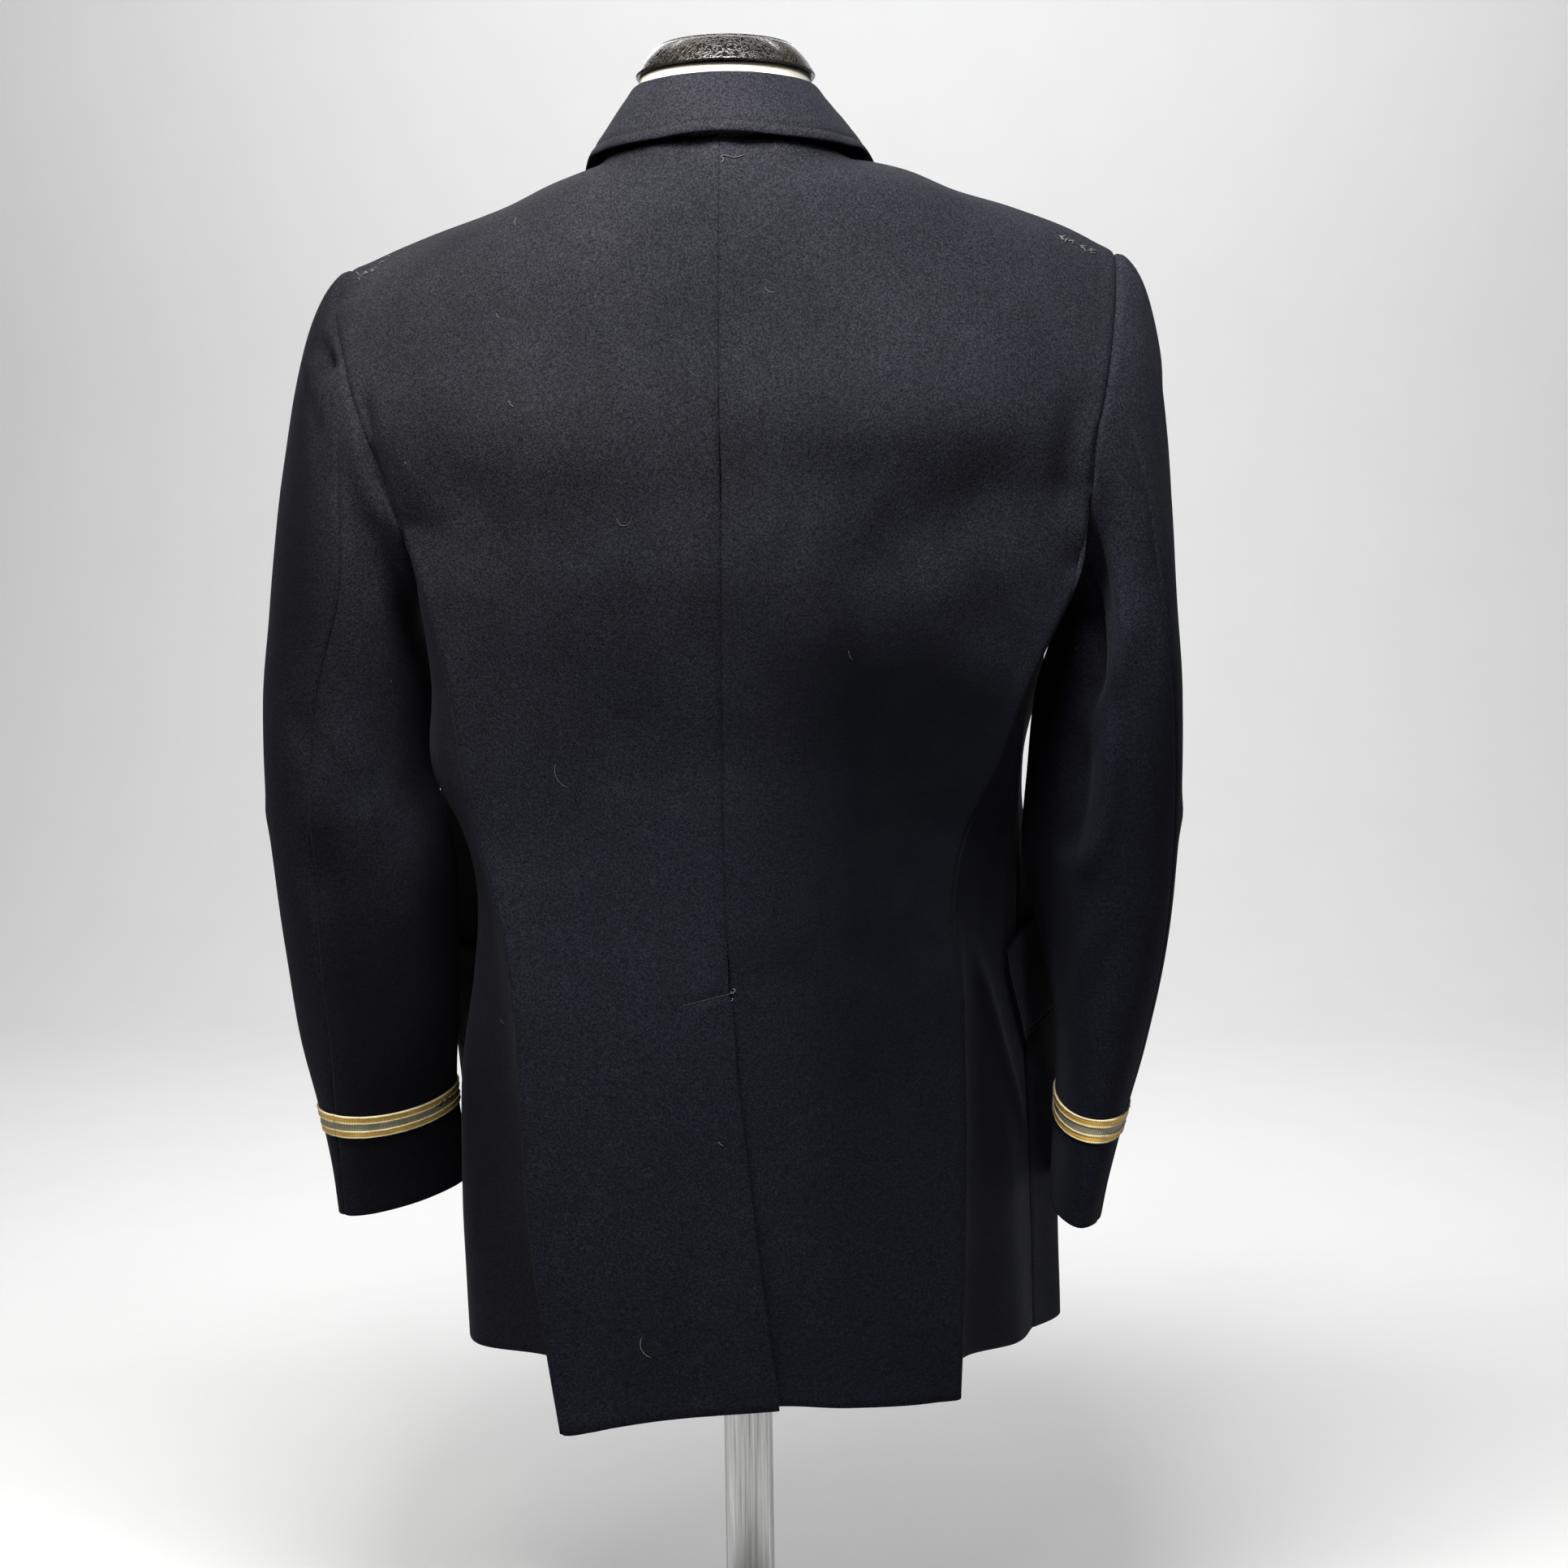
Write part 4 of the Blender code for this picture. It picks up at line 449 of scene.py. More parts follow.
# Columns and rows that neighbouring pieces share, so that their seams meet point for point.
FRONT_Q = np.array((0.0, 0.07, 0.14, 0.20, 0.27, 0.36, 0.50, 0.66, 0.83, 1.0))
BACK_Q = np.concatenate([np.linspace(0, NECK_AT, 4), NECK_AT + (1 - NECK_AT) * (1 - FRONT_Q[::-1][1:])])
SIDE_Q = np.linspace(0, 1, 7)
BACK_T = np.array((5.0, 4.2, 3.5, HIND_PITCH, 2.1, 1.4, 0.7, 0.0))
FRONT_T = np.array((8.0, 9.0, FORE_PITCH, 10.8, 11.6, 12.4, 13.2, 14.0))
TOP_T = np.concatenate([BACK_T[3:], FRONT_T[-2:1:-1] - 14])
UNDER_T = np.concatenate([BACK_T[3::-1], CORNER_BACK + (CORNER_FRONT - CORNER_BACK) * SIDE_Q[1:], FRONT_T[1:3]])
LOW_ROWS = (0.0, 0.045, 0.09, 0.14, 0.19, VENT_TOP - 0.006, VENT_TOP + 0.004, 0.29, 0.325, 0.36, 0.40, 0.45, 0.495)


def back_panel(side, q=BACK_Q, t=BACK_T):
    low = hem_drop(side, np.array([side.back_row(z, q) for z in LOW_ROWS]), 0.0, 0.33)
    high = side.upper_back(q, 1 - t / CORNER_BACK)
    return np.concatenate([low, high])


def side_panel(side, q=SIDE_Q):
    low = hem_drop(side, np.array([side.side_row(z, q) for z in LOW_ROWS]), 0.33, 0.60)
    top = side.armhole_at(CORNER_BACK + (CORNER_FRONT - CORNER_BACK) * q)
    return np.concatenate([low, top[None]])


def front_panel(side, q=FRONT_Q, t=FRONT_T):
    low = hem_drop(side, np.array([side.front_row(z, q) for z in LOW_ROWS]), 0.60, 1.0)
    # rounded lower front corner
    near = np.maximum(0.0, 0.045 - (low[0, :, 0] - low[0, -1, 0])) / 0.045
    low[0, :, 2] += 0.030 * near**2.2
    high = side.upper_front(q, (t - CORNER_FRONT) / (len(side.arm) - CORNER_FRONT))
    return np.concatenate([low, high])


def grid_normals(g):
    """Unit normal at each point of a grid, from its neighbours."""
    du = np.empty_like(g)
    dv = np.empty_like(g)
    du[:, 1:-1] = g[:, 2:] - g[:, :-2]
    du[:, 0], du[:, -1] = g[:, 1] - g[:, 0], g[:, -1] - g[:, -2]
    dv[1:-1] = g[2:] - g[:-2]
    dv[0], dv[-1] = g[1] - g[0], g[-1] - g[-2]
    n = np.cross(dv, du)
    length = np.linalg.norm(n, axis=-1, keepdims=True)
    return n / np.maximum(length, 1e-12)


class Panel:
    def __init__(self, name, grid, material, wall=WALL, flip=False, shared=True):
        self.name, self.grid, self.material, self.wall = name, np.array(grid), material, wall
        self.normal = grid_normals(self.grid) * (-1 if flip else 1)
        self.stretch = np.ones(self.grid.shape[:2])
        self.shared = shared

    def border(self):
        r, c = self.grid.shape[:2]
        return [(i, j) for i in range(r) for j in range(c) if i in (0, r - 1) or j in (0, c - 1)]


def share_seams(panels):
    """Neighbouring panels lean their end walls the same way, so that a folded seam is mitred."""
    every = [(p, i, j) for p in panels for i, j in p.border()]
    where = np.array([p.grid[i, j] for p, i, j in every])
    old = {id(p): p.normal.copy() for p in panels}
    for k, (p, i, j) in enumerate(every):
        near = [every[m] for m in np.where(np.linalg.norm(where - where[k], axis=1) < 0.0012)[0]]
        group = [(other, old[id(other)][a, b]) for other, a, b in near if other is not p]
        own = old[id(p)][i, j]
        normals = [n for _, n in group] + [own]
        if min(a @ b for a in normals for b in normals) < -0.35:   # folded back on itself: body with body, sleeve with sleeve
            group = [(o, n) for o, n in group if o.name.startswith("sleeve") == p.name.startswith("sleeve")]
        total = own + sum((n for _, n in group), np.zeros(3))
        total /= np.linalg.norm(total)
        p.normal[i, j] = total
        p.stretch[i, j] = 1 / max(0.50, total @ own)


def pull_back(panel, gap=GAP):
    """Moves the border in from the seam."""
    g = panel.grid
    new = g.copy()

    def step(a, b):
        d = b - a
        return d / np.maximum(np.linalg.norm(d, axis=-1, keepdims=True), 1e-9) * gap

    new[:, 0] += step(g[:, 0], g[:, 1])
    new[:, -1] += step(g[:, -1], g[:, -2])
    new[0] += step(g[0], g[1])
    new[-1] += step(g[-1], g[-2])
    panel.grid = new


def triangles(grid):
    """Two triangles a square, split along its shorter diagonal."""
    r, c = grid.shape[:2]
    out = []
    for i in range(r - 1):
        for j in range(c - 1):
            k = i * c + j
            one = np.linalg.norm(grid[i, j] - grid[i + 1, j + 1])
            two = np.linalg.norm(grid[i + 1, j] - grid[i, j + 1])
            out += [(k, k + c, k + c + 1), (k, k + c + 1, k + 1)] if one <= two else [(k, k + c, k + 1), (k + 1, k + c, k + c + 1)]
    return out


HEAD_ROWS = (0.0, 0.12, 0.28, 0.46, 0.64, 0.82)
ARM_ROWS = (0.0, 1.0, 2.0, 3.0, 4.0, 5.0, 5.7, 6.3, 6.9, 7.5, 8.0)


# ------------------------------------------------ pieces that lie on a panel
def outer_tree(names):
    """The outer faces of some panels, to lay other pieces on."""
    points, faces = [], []
    for name in names:
        g = by_name[name].grid
        faces += [tuple(k + len(points) for k in f) for f in triangles(g)]
        points += [Vector(v) for v in g.reshape(-1, 3)]
    return BVHTree.FromPolygons(points, faces)


def out_of(tree, point, outward):
    """Nearest place on the panels and its direction outwards, eased over its neighbourhood."""
    here = Vector(point)
    place, normal, _, _ = tree.find_nearest(here)
    total = Vector((0, 0, 0))
    for off in ((0, 0, 0), (0.012, 0, 0), (-0.012, 0, 0), (0, 0.012, 0), (0, -0.012, 0), (0, 0, 0.012), (0, 0, -0.012)):
        _, n, _, _ = tree.find_nearest(place + Vector(off))
        total += n if n.dot(Vector(outward)) > 0 else -n
    return np.array(place), np.array(total.normalized())


def laid(tree, grid, lift, outward):
    """A grid laid on the panels, its inner face lifted off them."""
    out, normal = np.empty_like(grid), np.empty_like(grid)
    for i in range(grid.shape[0]):
        for j in range(grid.shape[1]):
            o = outward(grid[i, j]) if callable(outward) else outward
            place, n = out_of(tree, grid[i, j], o)
            out[i, j] = place + n * lift
            normal[i, j] = n
    return out, normal


def settle(tree, inner, normal, least, reach=1.0):
    """Raises a laid grid until its inner face is clear of the panels, between its corners too, where it lies within reach of them."""
    inner = inner.copy()
    r, c = inner.shape[:2]
    for _ in range(8):
        lift = np.zeros((r, c))
        for i in range(r - 1):
            for j in range(c - 1):
                for a in (0, 0.25, 0.5, 0.75, 1):
                    for b in (0, 0.25, 0.5, 0.75, 1):
                        w = np.array(((1 - a) * (1 - b), (1 - a) * b, a * (1 - b), a * b)).reshape(2, 2, 1)
                        p = (inner[i:i + 2, j:j + 2] * w).sum(axis=(0, 1))
                        n = (normal[i:i + 2, j:j + 2] * w).sum(axis=(0, 1))
                        place = np.array(tree.find_nearest(Vector(p))[0])
                        need = least - (p - place) @ n / np.linalg.norm(n)
                        if need > 0 and np.linalg.norm(p - place) < reach:
                            lift[i:i + 2, j:j + 2] = np.maximum(lift[i:i + 2, j:j + 2], need)
        if lift.max() < 1e-5:
            break
        inner += normal * lift[..., None]
    return inner


def away_from_axis(point):
    return (point[0], point[1], 0.0)


def lapel(side):
    """Turned-back upper front, from the roll line to its free edge."""
    front = by_name["front_" + side.name].grid
    edge = front[:, -1] if side.sign > 0 else front[:, 0]
    edge = edge[np.argsort(edge[:, 2])]
    tree = outer_tree(["front_" + side.name])
    rows = 11
    z_low, z_high = (BREAK + 0.003 if side.over else CROSSING) + HEM, GORGE_Z + HEM
    grid, starts = [], []
    for t in np.linspace(0, 1, rows):
        z = z_low + (z_high - z_low) * t
        roll = np.array([np.interp(z, edge[:, 2], edge[:, k]) for k in range(3)])
        free = float(spline([c[0] for c in LAPEL_ROWS], [c[1] for c in LAPEL_ROWS], (z - BREAK - 0.003 - HEM) / (GORGE_Z - BREAK - 0.003)))
        start = side.sign * roll[0]
        if not side.over:   # lower down it comes out from beneath the other front's edge
            start = max(start, 0.0072 - side.roll_at(z - HEM))
        starts.append(start - side.sign * roll[0])
        line = []
        for s in (0.0, 0.10, 0.34, 0.56, 0.78, 1.0):
            x = start + (free - start) * s
            zz = z
            if t > 0.8:   # the top rows bend to the gorge and the notch
                top = np.interp(x, (start, LAPEL_NOTCH[0], LAPEL_TIP[0]), (GORGE_Z, LAPEL_NOTCH[1], LAPEL_TIP[1])) + HEM
                zz = z + (top - z_high) * (t - 0.8) / 0.2
            hit = tree.ray_cast(Vector((side.sign * x, -1.0, zz)), Vector((0, 1, 0)))[0]
            line.append(np.array(hit) if hit else roll + np.array((0, 0, zz - z)))
        grid.append(line)
    grid = np.array(grid)
    out, normal = laid(tree, grid, 0.0018, (0, -1, 0.3))
    out = settle(tree, out, normal, 0.0010)
    outer = out + normal * WALL
    # the roll wraps the front's edge
    wrapped = 0
    for i in range(rows):
        roll = np.array([np.interp(grid[i, 0, 2], edge[:, 2], edge[:, k]) for k in range(3)])
        if starts[i] > 0.0015:
            continue
        wrapped += 1
        depth = 0.0004 if side.over else (-0.0026, -0.0010, 0.0004)[min(wrapped - 1, 2)]
        n = normal[i, 0]
        away = grid[i, 0] - grid[i, 2]
        away /= np.linalg.norm(away)
        outer[i, 0] = roll + away * 0.0042 - n * depth
        outer[i, 1] = roll + away * 0.0014 + n * 0.0038
        normal[i, 0] = away
        normal[i, 1] = (away * 0.3 + n) / np.linalg.norm(away * 0.3 + n)
    panel = Panel("lapel_" + side.name, outer, None)
    panel.normal = normal
    return panel


def flap(side, corners):
    tree = outer_tree(["side_" + side.name, "front_" + side.name])
    rear_top, z1, front_top, z2, front_low, z3, rear_low, z4 = corners
    grid = []
    for v in np.linspace(0, 1, 5):
        line = []
        for u in np.linspace(0, 1, 13):
            run = (rear_top + (front_top - rear_top) * u) * (1 - v) + (rear_low + (front_low - rear_low) * u) * v
            z = (z1 + (z2 - z1) * u) * (1 - v) + (z4 + (z3 - z4) * u) * v
            ring = side.side_row(z, np.linspace(0, 1, 40))[::-1] if run < 0 else side.front_row(z, np.linspace(0, 1, 60))
            d = np.concatenate([[0], np.cumsum(np.linalg.norm(np.diff(ring[:, :2], axis=0), axis=1))])
            point = np.array([np.interp(abs(run), d, ring[:, k]) for k in range(3)])
            point[0] *= side.sign
            point[2] += HEM
            line.append(point)
        grid.append(line)
    out, normal = laid(tree, np.array(grid), 0.0014, away_from_axis)
    out = settle(tree, out, normal, 0.0008)
    panel = Panel("flap_" + side.name, out + normal * WALL, None)
    panel.normal = normal
    return panel


def neck_edge(side):
    """Outer neck edge from the centre back to the gorge, with the way out of the cloth and the outward normal."""
    back, front = by_name["back_" + side.name], by_name["front_" + side.name]
    bg, bn = back.grid, back.normal
    fg, fn = front.grid, front.normal
    if side.sign < 0:
        bg, bn, fg, fn = bg[:, ::-1], bn[:, ::-1], fg[:, ::-1], fn[:, ::-1]
    out = []
    for j in range(4):
        way = bg[-1, j] - bg[-2, j]
        out.append((j / 3, bg[-1, j], way / np.linalg.norm(way), bn[-1, j]))
    rows = [i for i in range(fg.shape[0] - 1, 0, -1) if fg[i, -1, 2] > GORGE_Z + HEM - 0.03]
    down = [fg[i, -1] for i in rows]
    ways = [fg[i, -1] - fg[i, -2] for i in rows]
    normals = [fn[i, -1] for i in rows]
    z = np.array([q[2] for q in down])[::-1]
    for k in (1.2, 1.4, 1.6, 1.8, 2.0):
        h = down[0][2] + (GORGE_Z + HEM + 0.004 - down[0][2]) * (k - 1)
        place = np.array([np.interp(h, z, np.array(down)[::-1, m]) for m in range(3)])
        way = np.array([np.interp(h, z, np.array(ways)[::-1, m]) for m in range(3)])
        n = np.array([np.interp(h, z, np.array(normals)[::-1, m]) for m in range(3)])
        out.append((k, place, way / np.linalg.norm(way), n / np.linalg.norm(n)))
    at = np.array([o[0] for o in out])
    return at, np.array([o[1] for o in out]), np.array([o[2] for o in out]), np.array([o[3] for o in out])


def collar():
    """Stand and fall in one, swept round the neck from notch to notch."""
    sections = {}
    shells = outer_tree(["back_left", "back_right", "front_left", "front_right"])
    for side in (LEFT, RIGHT):
        at, place, way, normal = neck_edge(side)
        table = np.array(COLLAR)
        k = np.arange(len(table))
        runs, falls, faces_out = [], [], []
        for t in np.linspace(0, len(table) - 1, 13):
            row = spline(k, table, t)
            seam = np.array([np.interp(row[0], at, place[:, m]) for m in range(3)])
            w = np.array([np.interp(row[0], at, way[:, m]) for m in range(3)])
            n = np.array([np.interp(row[0], at, normal[:, m]) for m in range(3)])
            w /= np.linalg.norm(w)
            n /= np.linalg.norm(n)
            seam = seam + w * 0.0010
            fold = np.array([side.sign * row[1], row[2], row[3] + HEM])
            edge = np.array([side.sign * row[4], row[5], row[6] + HEM])
            o = edge - fold
            o[2] = 0
            o /= np.linalg.norm(o)
            up = np.array([0, 0, 1.0])
            d = (edge - fold) / np.linalg.norm(edge - fold)
            face = np.cross(np.cross(d, up), d)
            face = face / np.linalg.norm(face)
            if face @ (o + up) < 0:
                face = -face
            mid = (fold + edge) / 2 + face * 0.0020
            quarter = fold * 0.8 + edge * 0.2 + face * 0.0016
            runs.append((seam - n * WALL, fold - o * 0.0012 - up * 0.0030, fold, fold + o * 0.0010 - up * 0.0034, seam))
            falls.append([quarter - face * WALL - d * 0.0002, mid - face * WALL, edge - face * WALL])
            faces_out.append([face, face, face])
        falls, faces_out = np.array(falls), np.array(faces_out)
        falls = settle(shells, falls, faces_out, 0.0012, 0.007)
        outer = falls + faces_out * WALL
        runs = [[run[0], run[1], run[2], o3[0], o3[1], o3[2], f3[2], f3[1], f3[0], run[3], run[4]] for run, o3, f3 in zip(runs, outer, falls)]
        sections[side.name] = runs
    right = [sec for sec in sections["right"]][::-1]
    left = sections["left"][1:]
    rings = np.array(right + left)
    n_ring, n_pt = rings.shape[:2]
    faces = []
    for i in range(n_ring - 1):
        for j in range(n_pt):
            a, b = i * n_pt + j, i * n_pt + (j + 1) % n_pt
            faces.append((a, b, b + n_pt, a + n_pt))
    return rings, faces


# --------------------------------------------------------------- studio lights
WORLD_LIGHT = 0.80
LIGHT_COLS = ("name", "place", "aim", "wide", "high", "power", "colour")
LIGHTS = (
    ("key", (0.0, 0.62, 1.66), (0.0, 0.10, 0.95), 0.6, 0.3, 30.0, (1.0, 1.0, 1.0)),
    ("key_left", (0.45, 0.62, 1.60), (0.1, 0.08, 0.95), 0.5, 0.3, 8.0, (1.0, 0.99, 0.96)),
    ("wall", (0.0, -1.3, 3.4), (0.0, -4.0, 0.6), 3.0, 0.8, 95.0, (0.98, 0.99, 1.0)),
    ("glint", (0.02, 1.70, 1.75), (0.0, 0.02, 1.10), 0.20, 0.16, 3.0, (1.0, 0.98, 0.95)),
    ("front_soft", (0.3, -1.7, 2.1), (0.0, 0.0, 0.75), 1.2, 0.9, 9.0, (1.0, 1.0, 1.0)),
)


# ------------------------------------------------------------ the plain panels
panels = []
for side in (LEFT, RIGHT):
    name = side.name
    panels.append(Panel("back_" + name, placed(back_panel(side), side), None))
    panels.append(Panel("side_" + name, placed(side_panel(side), side), None))
    panels.append(Panel("front_" + name, placed(front_panel(side), side), None))
for p in panels:
    if (p.grid[4][:, :2] * p.normal[4][:, :2]).sum() < 0:
        p.normal *= -1
share_seams(panels)
by_name = {p.name: p for p in panels}
for p in panels:
    pull_back(p)


# ------------------------------------------------------------------ fine cloth
FINE_GAP = 0.00004
COL_K, LOW_K, ARM_K, CUFF_K = 6, 9, 8, 10   # parts of each step of the plain panels


def refine(values, k):
    v = np.asarray(values, float)
    return np.interp(np.linspace(0, len(v) - 1, (len(v) - 1) * k + 1), np.arange(len(v)), v)


CLOSE = 0.0040   # one more column hard by the armhole seams, and two by the centre-back seam
FF = np.sort(np.append(refine(FRONT_Q, COL_K), CLOSE))
FB = np.sort(np.append(refine(BACK_Q, COL_K), (0.0030, 0.0080, 1 - (1 - NECK_AT) * CLOSE)))
FS = refine(SIDE_Q, ARM_K)
FZ = refine(LOW_ROWS, LOW_K)
FBT, FFT = refine(BACK_T, ARM_K), refine(FRONT_T, ARM_K)
BRIDGE = np.linspace(0, 1, 12)[1:-1]


def bridge(low, high_first, way_out, straight):
    """Rows between the last low row and the first row above it. straight: 1 where the end is a plain seam."""
    a, b = low[-1], high_first
    reach = np.linalg.norm(b - a, axis=1)[:, None]
    m0 = low[-1] - low[-2]
    m0 = m0 / np.maximum(np.linalg.norm(m0, axis=1)[:, None], 1e-9) * reach
    m1 = b - a
    if way_out is not None:
        w = way_out / np.maximum(np.linalg.norm(way_out, axis=1)[:, None], 1e-9) * reach
        m1 = w * (1 - straight[:, None]) + m1 * straight[:, None]
    rows = []
    for s in BRIDGE:
        rows.append((2 * s**3 - 3 * s**2 + 1) * a + (s**3 - 2 * s**2 + s) * m0 + (3 * s**2 - 2 * s**3) * b + (s**3 - s**2) * m1)
    return np.array(rows)


def fine_back(side):
    low = hem_drop(side, np.array([side.back_row(z, FB) for z in FZ]), 0.0, 0.33)
    high = side.upper_back(FB, 1 - FBT / CORNER_BACK)
    return np.concatenate([low, bridge(low, high[0], high[1] - high[0], FB**5), high])


def fine_side(side):
    low = hem_drop(side, np.array([side.side_row(z, FS) for z in FZ]), 0.33, 0.60)
    top = side.armhole_at(CORNER_BACK + (CORNER_FRONT - CORNER_BACK) * FS)
    return np.concatenate([low, bridge(low, top, None, None), top[None]])


def fine_front(side):
    low = hem_drop(side, np.array([side.front_row(z, FF) for z in FZ]), 0.60, 1.0)
    near = np.maximum(0.0, 0.045 - (low[0, :, 0] - low[0, -1, 0])) / 0.045
    low[..., 2] += (0.030 * near**2.2)[None, :] * np.clip(1 - FZ / 0.045, 0, 1)[:, None]
    high = side.upper_front(FF, (FFT - CORNER_FRONT) / (len(side.arm) - CORNER_FRONT))
    return np.concatenate([low, bridge(low, high[0], high[1] - high[0], (1 - FF) ** 5), high])


def eased(grid, first_row, reach=6.0):
    """Softens a crease that runs down the upper cloth, leaving every edge where it is."""
    r, c = grid.shape[:2]
    span = int(3 * reach)
    k = np.exp(-((np.arange(-span, span + 1) / reach) ** 2) / 2)
    k /= k.sum()
    padded = np.concatenate([2 * grid[:, :1] - grid[:, span:0:-1], grid, 2 * grid[:, -1:] - grid[:, -2:-span - 2:-1]], axis=1)
    soft = sum(w * padded[:, i:i + c] for i, w in enumerate(k))
    i, j = np.arange(r)[:, None], np.arange(c)[None, :]
    share = smooth(first_row, first_row + 12, i) * smooth(0, 9, r - 1 - i) * smooth(0, 10, j) * smooth(0, 10, c - 1 - j)
    return grid + (soft - grid) * share[..., None]


def fine_sleeve(side, top):
    t = refine(TOP_T if top else UNDER_T, ARM_K)
    head = refine(HEAD_ROWS + (1.0,), 6)[:-1]
    head = np.sort(np.append(head, (head[1] * 0.22, head[1] * 0.50)))
    return side.sleeve_grid(top, t, head, refine(ARM_ROWS, CUFF_K))[::-1]


def run_from(grid, axis, end):
    """Length of cloth from one edge of a grid: axis 1 along the rows, 0 along the columns; end 0 or -1."""
    d = np.linalg.norm(np.diff(grid, axis=axis), axis=-1)
    if end == -1:
        d = np.flip(d, axis)
    s = np.concatenate([np.zeros_like(np.take(d, [0], axis)), np.cumsum(d, axis=axis)], axis=axis)
    return np.flip(s, axis) if end == -1 else s


def groove(run, depth=0.0014, wide=0.0022, swell=0.0007):
    """A pressed seam: the cloth dips into it and swells a little beside it."""
    return -depth * np.exp(-((run / wide) ** 2)) + swell * np.exp(-(((run - 0.0060) / 0.0040) ** 2))


# seam depth at each edge: (first column, last column below the armhole, last column along it, last row)
SEAM, HOLE, OPEN = 0.0011, 0.0017, 0.0


class Fine:
    """A fine grid of one piece, with its grooves, in the order of the plain panels."""

    def __init__(self, name, side, grid, seams, free):
        self.name, self.side = name, side
        dip = np.zeros(grid.shape[:2])
        for axis, end, depth, rows in seams:
            run = run_from(grid, axis, end)
            part = groove(run, depth, 0.0007 + depth * 0.4, depth * 0.22)
            if rows is not None:
                part = part * rows
            dip += part
        self.dip = dip
        self.free = free
        self.grid = grid
        uv = np.stack([run_from(grid, 1, 0), run_from(grid, 0, 0)], -1)
        self.uv = uv

    def place(self):
        flip = self.side.sign < 0
        self.grid = placed(self.grid, self.side)
        if flip:
            self.dip, self.uv = self.dip[:, ::-1], self.uv[:, ::-1]
            self.free = dict(self.free, first=self.free["last"], last=self.free["first"])


def fine_panels():
    out = []
    for side in (LEFT, RIGHT):
        n = side.name
        g = fine_back(side)
        g = eased(g, len(FZ) + len(BRIDGE) + 8)
        r, c = g.shape[:2]
        k = np.arange(r)[:, None] * np.ones((1, c))
        upper = smooth(len(FZ) + len(BRIDGE) - 6, len(FZ) + len(BRIDGE) + 4, k)
        vent = smooth(VENT_TOP + 0.004, VENT_TOP + 0.014, g[..., 2])
        out.append(Fine("back_" + n, side, g, [(1, 0, 0.0010, vent), (1, -1, SEAM, 1 - upper), (1, -1, HOLE, upper), (0, -1, 0.0010, None)],
                        {"first": True, "last": False, "low": True, "top": False, "below": VENT_TOP}))
        g = fine_side(side)
        out.append(Fine("side_" + n, side, g, [(1, 0, SEAM, None), (1, -1, 0.0010, None), (0, -1, HOLE, None)],
                        {"first": False, "last": False, "low": True, "top": False}))
        g = fine_front(side)
        r, c = g.shape[:2]
        k = np.arange(r)[:, None] * np.ones((1, c))
        upper = smooth(len(FZ) + len(BRIDGE) - 6, len(FZ) + len(BRIDGE) + 4, k)
        out.append(Fine("front_" + n, side, g, [(1, 0, 0.0010, 1 - upper), (1, 0, HOLE, upper), (0, -1, 0.0010, None)],
                        {"first": False, "last": True, "low": True, "top": False}))
        g = fine_sleeve(side, True)
        out.append(Fine("sleeve_top_" + n, side, g, [(1, 0, 0.0009, None), (1, -1, 0.0009, None), (0, -1, 0.0018, None)],
                        {"first": False, "last": False, "low": True, "top": False}))
        g = fine_sleeve(side, False)
        out.append(Fine("sleeve_under_" + n, side, g, [(1, 0, 0.0009, None), (1, -1, 0.0009, None), (0, -1, 0.0018, None)],
                        {"first": False, "last": False, "low": True, "top": False}))
    return out


fine = fine_panels()
shapes = []
for f in fine:
    f.place()
    p = Panel(f.name, f.grid, None)
    p.fine = f
    if p.name.startswith("sleeve"):
        k = p.grid.shape[0] // 3
        centre = np.array([(1 if p.name.endswith("left") else -1) * 0.247, -0.02, 0])
    else:
        k = 40
        centre = np.zeros(3)
    if ((p.grid[k] - centre)[:, :2] * p.normal[k][:, :2]).sum() < 0:
        p.normal *= -1
    shapes.append(p)
share_seams(shapes)
shape = {p.name: p for p in shapes}


def tree_of(names):
    points, faces = [], []
    for name in names:
        g = shape[name].grid
        r, c = g.shape[:2]
        base = len(points)
        points += [Vector(v) for v in g.reshape(-1, 3)]
        k = (np.arange(r - 1)[:, None] * c + np.arange(c - 1)[None, :]).ravel() + base
        faces += [(int(a), int(a) + 1, int(a) + c + 1, int(a) + c) for a in k]
    return BVHTree.FromPolygons(points, faces)


whole = tree_of(list(shape))
VIEWS = {"back": ((0, 1, 0), 0), "front": ((0, -1, 0), 0), "left": ((1, 0, 0), 1), "right": ((-1, 0, 0), 1)}


def spot(view, across, z, tree=whole):
    """Where a look square on from that side, at that place across and height above the hem, meets the cloth."""
    out, axis = VIEWS[view]
    start = np.array(out, float)
    start[axis] = across
    start[2] = z + HEM
    place, normal, _, _ = tree.ray_cast(Vector(start), -Vector(out))
    if place is None:
        place, normal, _, _ = tree.find_nearest(Vector(start) - Vector(out) * 0.9)
    normal = normal if normal.dot(Vector(out)) > 0 else -normal
    return np.array(place), np.array(normal)


